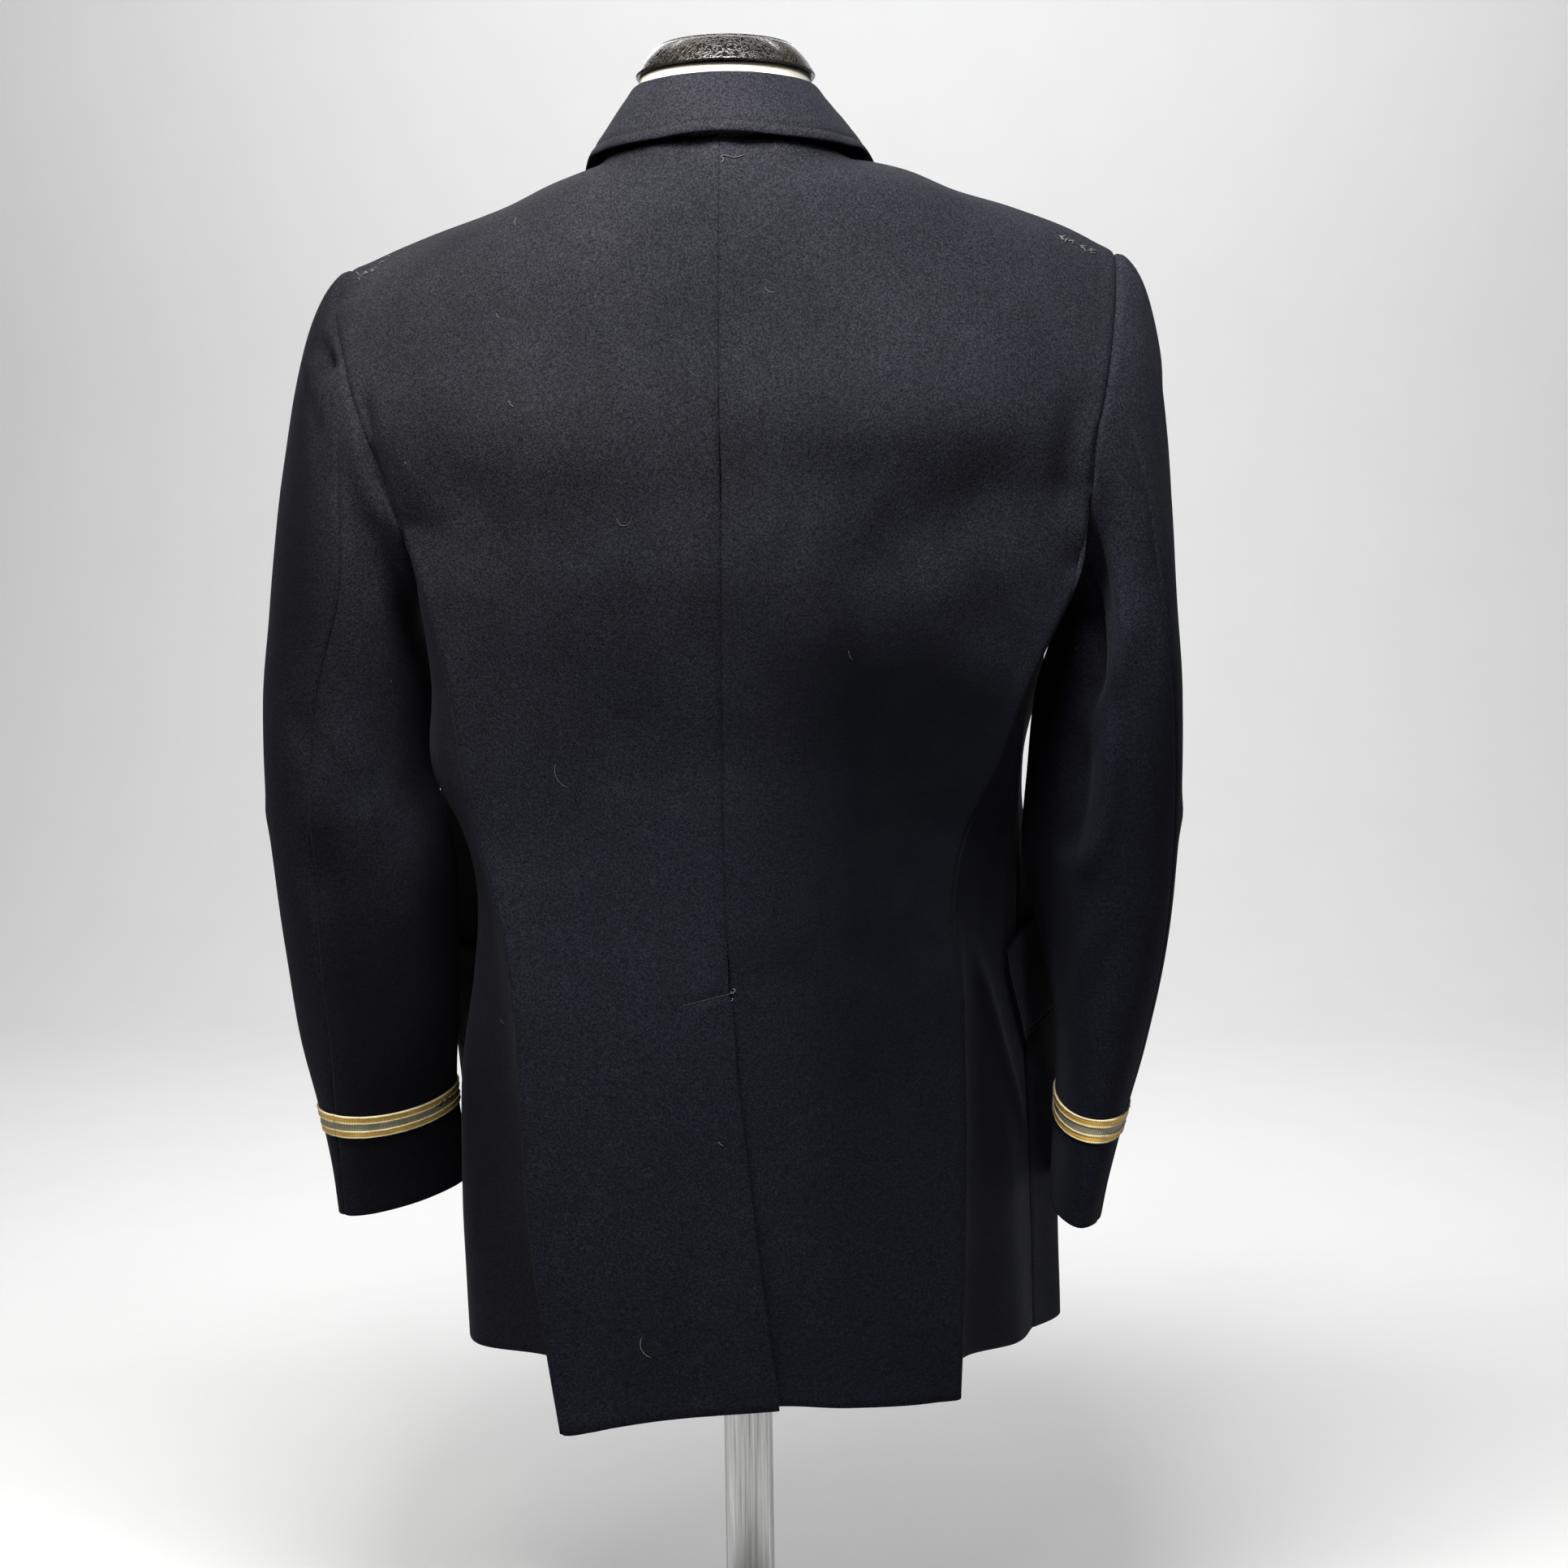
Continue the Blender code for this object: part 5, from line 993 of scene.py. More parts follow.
# Soft folds. view: the side it is looked at from. Three places along it, each as a place across (x, or y from the sides) and a height
# above the hem. wide: half width. deep: depth, a trough below 0 and a ridge above 0. All in metres. ends: share of its length that
# fades out at each end.
FOLD_COLS = ("view", "a", "az", "b", "bz", "c", "cz", "wide", "deep", "ends")
FOLDS = (
    ("back", 0.2260, 0.6300, 0.2190, 0.5823, 0.2095, 0.5400, 0.0068, -0.0078, 0.35),
    ("back", 0.2020, 0.6300, 0.1960, 0.5850, 0.1860, 0.5400, 0.0110, 0.0022, 0.40),
    ("back", 0.1640, 0.5750, 0.1542, 0.5528, 0.1500, 0.5300, 0.0140, -0.0016, 0.40),
    ("back", -0.0383, 0.6000, -0.0366, 0.5418, -0.0332, 0.4800, 0.0070, 0.0013, 0.40),
    ("back", -0.0500, 0.6000, -0.0480, 0.5418, -0.0440, 0.4800, 0.0080, -0.0012, 0.40),
    ("back", -0.1039, 0.5820, -0.0924, 0.5411, -0.0740, 0.5000, 0.0090, 0.0016, 0.40),
    ("back", -0.0363, 0.4860, -0.1271, 0.5312, -0.2201, 0.5718, 0.0260, -0.0040, 0.30),
    ("back", -0.1716, 0.5747, -0.1518, 0.5361, -0.1171, 0.4927, 0.0160, -0.0014, 0.40),
    ("back", -0.2130, 0.6180, -0.2140, 0.5750, -0.2080, 0.5330, 0.0130, -0.0052, 0.35),
    ("back", 0.0700, 0.5300, 0.1150, 0.5050, 0.1560, 0.4900, 0.0240, -0.0022, 0.40),
    ("back", 0.0500, 0.2150, 0.0560, 0.1300, 0.0640, 0.0400, 0.0260, 0.0020, 0.35),
    ("back", -0.0750, 0.2450, -0.0800, 0.1500, -0.0850, 0.0300, 0.0280, -0.0018, 0.35),
    ("back", -0.1457, 0.2836, -0.1645, 0.2182, -0.1900, 0.1200, 0.0090, 0.0028, 0.30),
    ("back", 0.2640, 0.6600, 0.2540, 0.6480, 0.2440, 0.6300, 0.0065, -0.0046, 0.35),
    ("back", 0.2720, 0.6540, 0.2640, 0.6380, 0.2540, 0.6160, 0.0060, 0.0026, 0.35),
    ("back", 0.2640, 0.6260, 0.2590, 0.6080, 0.2560, 0.5800, 0.0060, -0.0030, 0.35),
    ("back", 0.2820, 0.3640, 0.2500, 0.3580, 0.2080, 0.3540, 0.0200, 0.0042, 0.30),
    ("back", 0.2780, 0.3040, 0.2430, 0.3100, 0.2060, 0.3150, 0.0240, -0.0038, 0.30),
    ("back", 0.2815, 0.4303, 0.2672, 0.4064, 0.2574, 0.3773, 0.0090, -0.0018, 0.40),
    ("back", 0.2518, 0.4208, 0.2395, 0.3948, 0.2243, 0.3791, 0.0100, 0.0018, 0.40),
    ("back", 0.2300, 0.5600, 0.2260, 0.5250, 0.2230, 0.4800, 0.0080, -0.0024, 0.40),
    ("back", 0.2440, 0.5700, 0.2400, 0.5300, 0.2360, 0.4850, 0.0090, 0.0018, 0.40),
    ("back", -0.2290, 0.5480, -0.2455, 0.4750, -0.2390, 0.4190, 0.0065, 0.0044, 0.25),
    ("back", -0.2390, 0.4260, -0.2335, 0.3500, -0.2160, 0.3120, 0.0070, 0.0048, 0.28),
    ("back", -0.2120, 0.5300, -0.2270, 0.4650, -0.2205, 0.4050, 0.0110, -0.0110, 0.30),
    ("back", -0.2210, 0.4200, -0.2150, 0.3550, -0.2050, 0.3200, 0.0110, -0.0080, 0.30),
    ("back", -0.2580, 0.5500, -0.2630, 0.4750, -0.2600, 0.3950, 0.0085, -0.0022, 0.35),
    ("back", -0.2176, 0.3400, -0.2230, 0.3234, -0.2300, 0.3050, 0.0110, 0.0024, 0.40),
    ("back", -0.2269, 0.2900, -0.2210, 0.2620, -0.2165, 0.2300, 0.0070, 0.0022, 0.40),
    ("back", -0.2380, 0.2860, -0.2330, 0.2550, -0.2290, 0.2200, 0.0080, -0.0020, 0.40),
    ("front", 0.0500, 0.2300, 0.0620, 0.1400, 0.0750, 0.0400, 0.0260, 0.0022, 0.35),
    ("front", -0.0700, 0.2100, -0.0760, 0.1300, -0.0850, 0.0400, 0.0240, -0.0020, 0.35),
    ("front", 0.0100, 0.3950, 0.0600, 0.4150, 0.1250, 0.4500, 0.0110, 0.0022, 0.40),
    ("front", 0.0050, 0.3700, 0.0650, 0.3800, 0.1300, 0.4050, 0.0120, -0.0020, 0.40),
    ("front", -0.0350, 0.3950, -0.0800, 0.4100, -0.1300, 0.4380, 0.0110, 0.0020, 0.40),
    ("front", -0.0350, 0.3700, -0.0850, 0.3760, -0.1350, 0.3950, 0.0120, -0.0022, 0.40),
    ("front", 0.1750, 0.6300, 0.1700, 0.5800, 0.1720, 0.5300, 0.0100, -0.0026, 0.40),
    ("front", -0.1750, 0.6350, -0.1690, 0.5850, -0.1700, 0.5250, 0.0110, -0.0024, 0.40),
    ("front", 0.2400, 0.3450, 0.2150, 0.3300, 0.1950, 0.3250, 0.0100, -0.0030, 0.40),
    ("front", 0.2450, 0.3150, 0.2200, 0.3000, 0.1980, 0.2980, 0.0100, 0.0026, 0.40),
    ("front", -0.2500, 0.3500, -0.2250, 0.3360, -0.2050, 0.3320, 0.0100, -0.0030, 0.40),
    ("front", -0.2450, 0.3200, -0.2250, 0.3080, -0.2000, 0.3020, 0.0100, 0.0026, 0.40),
    ("front", -0.2600, 0.6500, -0.2500, 0.6250, -0.2350, 0.5950, 0.0070, -0.0024, 0.40),
    ("front", 0.2650, 0.6500, 0.2550, 0.6200, 0.2400, 0.5900, 0.0070, -0.0026, 0.40),
    ("left", -0.0200, 0.6400, 0.0050, 0.6000, 0.0200, 0.5400, 0.0100, -0.0026, 0.40),
    ("left", -0.0350, 0.3800, 0.0000, 0.3600, 0.0350, 0.3550, 0.0120, 0.0026, 0.40),
    ("right", 0.0200, 0.6400, 0.0050, 0.5950, -0.0150, 0.5400, 0.0100, -0.0024, 0.40),
    ("right", 0.0350, 0.3550, 0.0000, 0.3500, -0.0350, 0.3700, 0.0120, 0.0024, 0.40),
    ("back", 0.2464, 0.6490, 0.2543, 0.6400, 0.2607, 0.6180, 0.0046, -0.0048, 0.30),
    ("back", 0.2450, 0.6390, 0.2500, 0.6200, 0.2540, 0.6000, 0.0050, 0.0028, 0.35),
    ("back", 0.0290, 0.2425, 0.0135, 0.2466, -0.0005, 0.2500, 0.0024, -0.0010, 0.15),
    ("back", 0.0270, 0.2385, 0.0130, 0.2422, 0.0000, 0.2455, 0.0040, 0.0008, 0.30),
)

rng = np.random.default_rng(11)
WAVES = []
for _ in range(26):
    long = rng.uniform(0.030, 0.130)
    way = rng.normal(size=3) * (1.0, 1.0, 0.55)
    way /= np.linalg.norm(way)
    WAVES.append((way * 2 * np.pi / long, rng.uniform(0, 2 * np.pi), long / 0.13))


def uneven(points, size):
    """Slight unevenness of worn cloth."""
    total = np.zeros(points.shape[:-1])
    for way, phase, weight in WAVES:
        total += weight * np.sin(points @ way + phase)
    return total / math.sqrt(len(WAVES)) * size


def folds_at(points, normals, table=FOLDS):
    total = np.zeros(len(points))
    for view, a, az, b, bz, c, cz, wide, deep, ends in table:
        line = spline([0, 0.5, 1], [(a, az), (b, bz), (c, cz)], np.linspace(0, 1, 21))
        run, ways = [], []
        for across, z in line:
            place, normal = spot(view, across, z)
            run.append(place)
            ways.append(normal)
        run, way = np.array(run), np.mean(ways, axis=0)
        way /= np.linalg.norm(way)
        low, high = run.min(0) - 3 * wide, run.max(0) + 3 * wide
        near = np.where(((points > low) & (points < high)).all(1))[0]
        if not len(near):
            continue
        p = points[near]
        best, where = np.full(len(p), 1e9), np.zeros(len(p))
        for i in range(len(run) - 1):
            d = run[i + 1] - run[i]
            size = max(d @ d, 1e-12)
            s = np.clip((p - run[i]) @ d / size, 0, 1)
            off = np.linalg.norm(p - run[i] - s[:, None] * d, axis=1)
            better = off < best
            best = np.where(better, off, best)
            where = np.where(better, (i + s) / (len(run) - 1), where)
        fade = smooth(0, max(ends, 0.02), where) * smooth(1, 1 - max(ends, 0.02), where)
        facing = smooth(0.0, 0.45, normals[near] @ way)
        total[near] += deep * np.exp(-((best / wide) ** 2)) * fade * facing
    return total


def meet(panels):
    """Where pieces meet along a seam they sink or rise as one; folded back on itself, a seam stays where it is."""
    every = [(p, i, j) for p in panels for i, j in p.border()]
    where = KDTree(len(every))
    for k, (p, i, j) in enumerate(every):
        where.insert(Vector(p.grid[i, j]), k)
    where.balance()
    wish = {id(p): p.move.copy() for p in panels}
    for k, (p, i, j) in enumerate(every):
        near = [every[m] for _, m, _ in where.find_range(Vector(p.grid[i, j]), 0.0003)]
        if not any(o is not p for o, _, _ in near):
            continue
        ways = np.array([o.normal[a, b] for o, a, b in near])
        level = float(np.mean([o.move[a, b] for o, a, b in near]))
        wish[id(p)][i, j] = level * float(smooth(0.80, 0.97, (ways @ p.normal[i, j]).min()))
    fade = np.array([1.0, 0.8, 0.55, 0.32, 0.15, 0.05])
    for p in panels:
        want, m = wish[id(p)], p.move
        for k, w in enumerate(fade):
            if k == 0:
                first, last = want[:, 0] - m[:, 0], want[:, -1] - m[:, -1]
            m[:, k] += first * w
            m[:, -1 - k] += last * w
        top = want[-1] - m[-1]
        for k, w in enumerate(fade):
            m[-1 - k] += top * w
        for i, j in p.border():
            m[i, j] = want[i, j]


for p in shapes:
    flat, n = p.grid.reshape(-1, 3), p.normal.reshape(-1, 3)
    p.move = (p.fine.dip.ravel() + folds_at(flat, n) + uneven(flat, 0.00055)).reshape(p.grid.shape[:2])
meet(shapes)
for p in shapes:
    p.grid = p.grid + p.normal * p.move[..., None]
for p in shapes:
    old = p.normal
    new = grid_normals(p.grid)
    new *= np.sign((new * old).sum(-1, keepdims=True) + 1e-12)
    p.normal = new
    p.stretch = np.ones(p.grid.shape[:2])
share_seams(shapes)
for p in shapes:
    pull_back(p, FINE_GAP)


# ---------------------------------------------------------------- object making
def mesh_object(name, points, faces, mats, uv=None, slots=None):
    mesh = bpy.data.meshes.new(name)
    mesh.from_pydata([tuple(v) for v in points], [], [tuple(int(k) for k in f) for f in faces])
    obj = bpy.data.objects.new(name, mesh)
    bpy.context.scene.collection.objects.link(obj)
    for m in mats:
        mesh.materials.append(m)
    if slots is not None:
        mesh.polygons.foreach_set("material_index", np.asarray(slots, np.int32))
    if uv is not None:
        layer = mesh.uv_layers.new(name="weave")
        loops = np.empty(len(mesh.loops), np.int32)
        mesh.loops.foreach_get("vertex_index", loops)
        layer.data.foreach_set("uv", np.asarray(uv, np.float32)[loops].ravel())
    mesh.shade_smooth()
    return obj


def shell(name, grid, normal, stretch, wall, mats, uv, bulge, nodes):
    """Closed cloth wall on a fine grid, its free edges rounded. bulge: how far the rim stands out, by edge: first, last, low, top."""
    r, c = grid.shape[:2]
    inner = grid - normal * (wall * stretch)[..., None]
    n = r * c
    rim = [(0, j) for j in range(c)] + [(i, c - 1) for i in range(1, r)] + [(r - 1, j) for j in range(c - 2, -1, -1)] + [(i, 0) for i in range(r - 2, 0, -1)]
    k = (np.arange(r - 1)[:, None] * c + np.arange(c - 1)[None, :]).ravel()
    skin = np.stack([k, k + 1, k + c + 1, k + c], 1)
    centre_face = skin[len(skin) // 2]
    a, b, d = (grid.reshape(-1, 3)[centre_face[i]] for i in (0, 1, 3))
    if np.cross(b - a, d - a) @ normal.reshape(-1, 3)[centre_face[0]] < 0:
        skin = skin[:, ::-1]
        turn = True
    else:
        turn = False
    faces = [tuple(f) for f in skin] + [tuple(f[::-1] + n) for f in skin]
    middle = []
    for i, j in rim:
        out = np.zeros(3)
        if i == 0 and bulge["low"]:
            out += grid[0, j] - grid[1, j]
        if i == r - 1 and bulge["top"]:
            out += grid[-1, j] - grid[-2, j]
        loose = grid[i, j, 2] < bulge.get("below", 9.0) + HEM
        if j == 0 and bulge["first"] and loose:
            out += grid[i, 0] - grid[i, 1]
        if j == c - 1 and bulge["last"] and loose:
            out += grid[i, -1] - grid[i, -2]
        size = np.linalg.norm(out)
        out = out / size * 0.0007 if size > 1e-9 else out
        middle.append((grid[i, j] + inner[i, j]) / 2 + out)
    m = len(rim)
    for q in range(m):
        w = (q + 1) % m
        a, b = rim[q][0] * c + rim[q][1], rim[w][0] * c + rim[w][1]
        f1, f2 = (b, a, 2 * n + q, 2 * n + w), (2 * n + w, 2 * n + q, a + n, b + n)
        faces += [f1[::-1], f2[::-1]] if turn else [f1, f2]
    points = np.concatenate([grid.reshape(-1, 3), inner.reshape(-1, 3), np.array(middle)])
    flat_uv = uv.reshape(-1, 2)
    uvs = np.concatenate([flat_uv, flat_uv, np.array([uv[i, j] for i, j in rim])])
    obj = mesh_object(name, points, faces, mats, uvs)
    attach(obj, "root")
    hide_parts(*nodes)
    return obj


def flat_cut(grid):
    """Width, length and area that the piece is cut to, measured along its cloth."""
    wide = np.linalg.norm(np.diff(grid, axis=1), axis=-1).sum(1).max()
    long = np.linalg.norm(np.diff(grid, axis=0), axis=-1).sum(0).max()
    a = np.linalg.norm(np.cross(grid[1:, :-1] - grid[:-1, :-1], grid[:-1, 1:] - grid[:-1, :-1]), axis=-1) / 2
    b = np.linalg.norm(np.cross(grid[1:, :-1] - grid[1:, 1:], grid[:-1, 1:] - grid[1:, 1:]), axis=-1) / 2
    return float(wide), float(long), float(a.sum() + b.sum())


CUTS = {}


def declare(obj, grid):
    wide, long, area = flat_cut(grid)
    area = min(area, wide * long)
    CUTS[obj.name] = (round(wide, 3), round(long, 3), round(area, 4))


# ---------------------------------------------------------------- materials
def nodes_of(name):
    m = bpy.data.materials.new(name)
    m.use_nodes = True
    t = m.node_tree
    return m, t, t.nodes["Principled BSDF"]


def link(t, a, b):
    t.links.new(a, b)


def ramp(t, stops, smooth_it=True):
    n = t.nodes.new("ShaderNodeValToRGB")
    n.color_ramp.interpolation = "LINEAR" if smooth_it else "CONSTANT"
    while len(n.color_ramp.elements) < len(stops):
        n.color_ramp.elements.new(0.5)
    for e, (at, colour) in zip(n.color_ramp.elements, stops):
        e.position = at
        e.color = (*colour, 1) if len(colour) == 3 else colour
    return n


def grey(v):
    return (v, v, v)


def noise(t, vector, scale, detail=2.0, rough=0.5):
    n = t.nodes.new("ShaderNodeTexNoise")
    n.inputs["Scale"].default_value = scale
    n.inputs["Detail"].default_value = detail
    n.inputs["Roughness"].default_value = rough
    link(t, vector, n.inputs["Vector"])
    return n


def scaled(t, vector, by):
    n = t.nodes.new("ShaderNodeMapping")
    n.inputs["Scale"].default_value = by
    link(t, vector, n.inputs["Vector"])
    return n.outputs["Vector"]


def turned_by(t, vector, by, angle):
    n = t.nodes.new("ShaderNodeMapping")
    n.inputs["Scale"].default_value = by
    n.inputs["Rotation"].default_value = (0, 0, angle)
    link(t, vector, n.inputs["Vector"])
    return n.outputs["Vector"]


def mixed(t, factor, a, b, how="MIX"):
    n = t.nodes.new("ShaderNodeMix")
    n.data_type = "RGBA"
    n.blend_type = how
    link(t, factor, n.inputs["Factor"]) if not isinstance(factor, float) else setattr(n.inputs["Factor"], "default_value", factor)
    for socket, v in ((n.inputs[6], a), (n.inputs[7], b)):
        if isinstance(v, tuple):
            socket.default_value = (*v, 1)
        else:
            link(t, v, socket)
    return n.outputs[2]


def math_node(t, what, a, b):
    n = t.nodes.new("ShaderNodeMath")
    n.operation = what
    for socket, v in ((n.inputs[0], a), (n.inputs[1], b)):
        if isinstance(v, (int, float)):
            socket.default_value = v
        else:
            link(t, v, socket)
    return n.outputs[0]


def bump(t, height, distance, strength, normal=None):
    n = t.nodes.new("ShaderNodeBump")
    n.inputs["Distance"].default_value = distance
    n.inputs["Strength"].default_value = strength
    link(t, height, n.inputs["Height"])
    if normal is not None:
        link(t, normal, n.inputs["Normal"])
    return n.outputs["Normal"]


def wool(name, dark, light, seed=0.0):
    """Close fine twill of navy wool, lightly napped, with a few pale specks, and with painted light and shade: lighter
    towards the shoulders, tinted cool on the right and warm on the left, with painted shade on the lower right back,
    the left sleeve's inner side and the top of the left sleeve's outside.
    """
    m, t, shader = nodes_of(name)
    coord = t.nodes.new("ShaderNodeTexCoord")
    obj = coord.outputs["Object"]
    uv = t.nodes.new("ShaderNodeUVMap")
    uv.uv_map = "weave"
    uv = uv.outputs["UV"]
    # twill: fine ridges on the slant, broken by noise
    twill = t.nodes.new("ShaderNodeTexWave")
    twill.wave_type, twill.bands_direction = "BANDS", "X"
    twill.inputs["Scale"].default_value = 210.0
    twill.inputs["Distortion"].default_value = 2.2
    twill.inputs["Detail"].default_value = 1.5
    twill.inputs["Detail Scale"].default_value = 2.0
    link(t, turned_by(t, uv, (1, 1, 1), math.radians(58)), twill.inputs["Vector"])
    grain = noise(t, obj, 740.0, 3.0, 0.74)
    nap = noise(t, scaled(t, uv, (1300, 620, 1)), 1.0, 3.0, 0.6)
    broad = noise(t, obj, 9.0, 3.0, 0.55)
    cloud = noise(t, obj, 42.0, 3.0, 0.6)
    speck = t.nodes.new("ShaderNodeTexVoronoi")
    speck.inputs["Scale"].default_value = 46.0
    link(t, obj, speck.inputs["Vector"])
    dots = ramp(t, [(0.0, grey(1.0)), (0.020, grey(0.75)), (0.034, grey(0.0)), (1.0, grey(0.0))])
    link(t, speck.outputs["Distance"], dots.inputs["Fac"])
    pick = t.nodes.new("ShaderNodeSeparateColor")
    link(t, speck.outputs["Color"], pick.inputs["Color"])
    chosen = math_node(t, "GREATER_THAN", pick.outputs["Red"], 0.86)
    flecks = math_node(t, "MULTIPLY", dots.outputs["Color"], chosen)
    # colour
    ground = ramp(t, [(0.34, tuple(v * 0.55 for v in dark)), (0.50, tuple((a + b) / 2 for a, b in zip(dark, light))), (0.66, tuple(v * 1.42 for v in light))])
    link(t, grain.outputs["Fac"], ground.inputs["Fac"])
    fibres = ramp(t, [(0.34, grey(0.80)), (0.66, grey(1.22))])
    link(t, nap.outputs["Fac"], fibres.inputs["Fac"])
    tone = ramp(t, [(0.30, (0.82, 0.82, 0.84)), (0.70, (1.18, 1.17, 1.14))])
    link(t, broad.outputs["Fac"], tone.inputs["Fac"])
    worn = ramp(t, [(0.35, grey(0.90)), (0.70, grey(1.12))])
    link(t, cloud.outputs["Fac"], worn.inputs["Fac"])
    colour = mixed(t, 1.0, ground.outputs["Color"], fibres.outputs["Color"], "MULTIPLY")
    colour = mixed(t, 1.0, colour, tone.outputs["Color"], "MULTIPLY")
    colour = mixed(t, 1.0, colour, worn.outputs["Color"], "MULTIPLY")
    # painted light: the colour is lighter and warmer towards the shoulders and darker towards the hem, standing in for
    # the lamp above
    split = t.nodes.new("ShaderNodeSeparateXYZ")
    link(t, obj, split.inputs["Vector"])
    wander = math_node(t, "ADD", split.outputs["Z"], math_node(t, "MULTIPLY", broad.outputs["Fac"], 0.16))
    level = math_node(t, "MULTIPLY", math_node(t, "SUBTRACT", wander, 0.36), 1.35)
    painted_top_light = ramp(t, [(0.0, (0.86, 0.88, 0.96)), (0.45, (0.92, 0.93, 0.96)), (0.60, (1.26, 1.25, 1.16)), (0.76, (1.60, 1.56, 1.30)), (0.90, (1.66, 1.60, 1.30)), (1.0, (1.94, 1.86, 1.50))])
    link(t, level, painted_top_light.inputs["Fac"])
    colour = mixed(t, 1.0, colour, painted_top_light.outputs["Color"], "MULTIPLY")
    # painted light: a cool tint on the wearer's right and a warm one on the left, standing in for the colour of the
    # light from each side
    across = ramp(t, [(0.0, (0.94, 0.97, 1.10)), (1.0, (1.05, 1.03, 0.97))])
    link(t, math_node(t, "ADD", math_node(t, "MULTIPLY", split.outputs["X"], 1.8), 0.5), across.inputs["Fac"])
    colour = mixed(t, 1.0, colour, across.outputs["Color"], "MULTIPLY")
    # painted shade: the right back, from the hem up to the shoulder blade, is darkened towards near black
    right = ramp(t, [(0.08, grey(0.45)), (0.20, grey(1.0)), (0.36, grey(1.0)), (0.53, grey(0.0))])
    link(t, math_node(t, "ADD", math_node(t, "MULTIPLY", split.outputs["X"], 1.8), 0.5), right.inputs["Fac"])
    right_back_shade_height = ramp(t, [(0.05, grey(0.28)), (0.234, grey(0.60)), (0.36, grey(1.0)), (0.56, grey(1.0)), (0.71, grey(0.0))])
    link(t, level, right_back_shade_height.inputs["Fac"])
    deep = math_node(t, "MULTIPLY", right.outputs["Color"], right_back_shade_height.outputs["Color"])
    colour = mixed(t, math_node(t, "MULTIPLY", deep, 0.92), colour, (0.0008, 0.0010, 0.0026))
    # painted shade: the inner side of the left sleeve and the body beside it are darkened towards near black
    inner = ramp(t, [(0.76, grey(0.0)), (0.82, grey(1.0)), (0.955, grey(1.0)), (0.99, grey(0.0))])
    link(t, math_node(t, "ADD", math_node(t, "MULTIPLY", split.outputs["X"], 1.8), 0.5), inner.inputs["Fac"])
    left_sleeve_shade_height = ramp(t, [(0.02, grey(0.3)), (0.12, grey(1.0)), (0.38, grey(1.0)), (0.47, grey(0.0))])
    link(t, level, left_sleeve_shade_height.inputs["Fac"])
    colour = mixed(t, math_node(t, "MULTIPLY", math_node(t, "MULTIPLY", inner.outputs["Color"], left_sleeve_shade_height.outputs["Color"]), 0.62), colour, (0.0010, 0.0011, 0.0018))
    # painted shade: the top of the left sleeve's outside is darkened
    outer = ramp(t, [(0.925, grey(0.0)), (0.975, grey(1.0))])
    link(t, math_node(t, "ADD", math_node(t, "MULTIPLY", split.outputs["X"], 1.8), 0.5), outer.inputs["Fac"])
    sleeve_top_shade_height = ramp(t, [(0.50, grey(0.15)), (0.64, grey(1.0))])
    link(t, level, sleeve_top_shade_height.inputs["Fac"])
    colour = mixed(t, math_node(t, "MULTIPLY", math_node(t, "MULTIPLY", outer.outputs["Color"], sleeve_top_shade_height.outputs["Color"]), 0.78), colour, (0.0020, 0.0021, 0.0030))
    colour = mixed(t, flecks, colour, (0.10, 0.10, 0.10))
    link(t, colour, shader.inputs["Base Color"])
    rough = ramp(t, [(0.3, grey(0.80)), (0.7, grey(0.96))])
    link(t, cloud.outputs["Fac"], rough.inputs["Fac"])
    link(t, rough.outputs["Color"], shader.inputs["Roughness"])
    height = math_node(t, "ADD", math_node(t, "MULTIPLY", twill.outputs["Fac"], 0.14), math_node(t, "MULTIPLY", grain.outputs["Fac"], 0.9))
    height = math_node(t, "ADD", height, math_node(t, "MULTIPLY", nap.outputs["Fac"], 0.5))
    link(t, bump(t, height, 0.00050, 0.80), shader.inputs["Normal"])
    shader.inputs["Specular IOR Level"].default_value = 0.07
    shader.inputs["Sheen Weight"].default_value = 0.022
    shader.inputs["Sheen Roughness"].default_value = 0.40
    shader.inputs["Sheen Tint"].default_value = (0.72, 0.76, 0.92, 1)
    return m


WOOL = wool("navy_wool", (0.0040, 0.0042, 0.0074), (0.0098, 0.0101, 0.0150))
WOOL_DARK = WOOL


def thread(name, colour, rough=0.6):
    m, t, shader = nodes_of(name)
    coord = t.nodes.new("ShaderNodeTexCoord")
    n = noise(t, coord.outputs["Object"], 2600.0, 2.0)
    c = ramp(t, [(0.3, tuple(v * 0.6 for v in colour)), (0.7, tuple(min(1, v * 1.25) for v in colour))])
    link(t, n.outputs["Fac"], c.inputs["Fac"])
    link(t, c.outputs["Color"], shader.inputs["Base Color"])
    link(t, bump(t, n.outputs["Fac"], 0.0001, 0.5), shader.inputs["Normal"])
    shader.inputs["Roughness"].default_value = rough
    shader.inputs["Sheen Weight"].default_value = 0.2
    return m


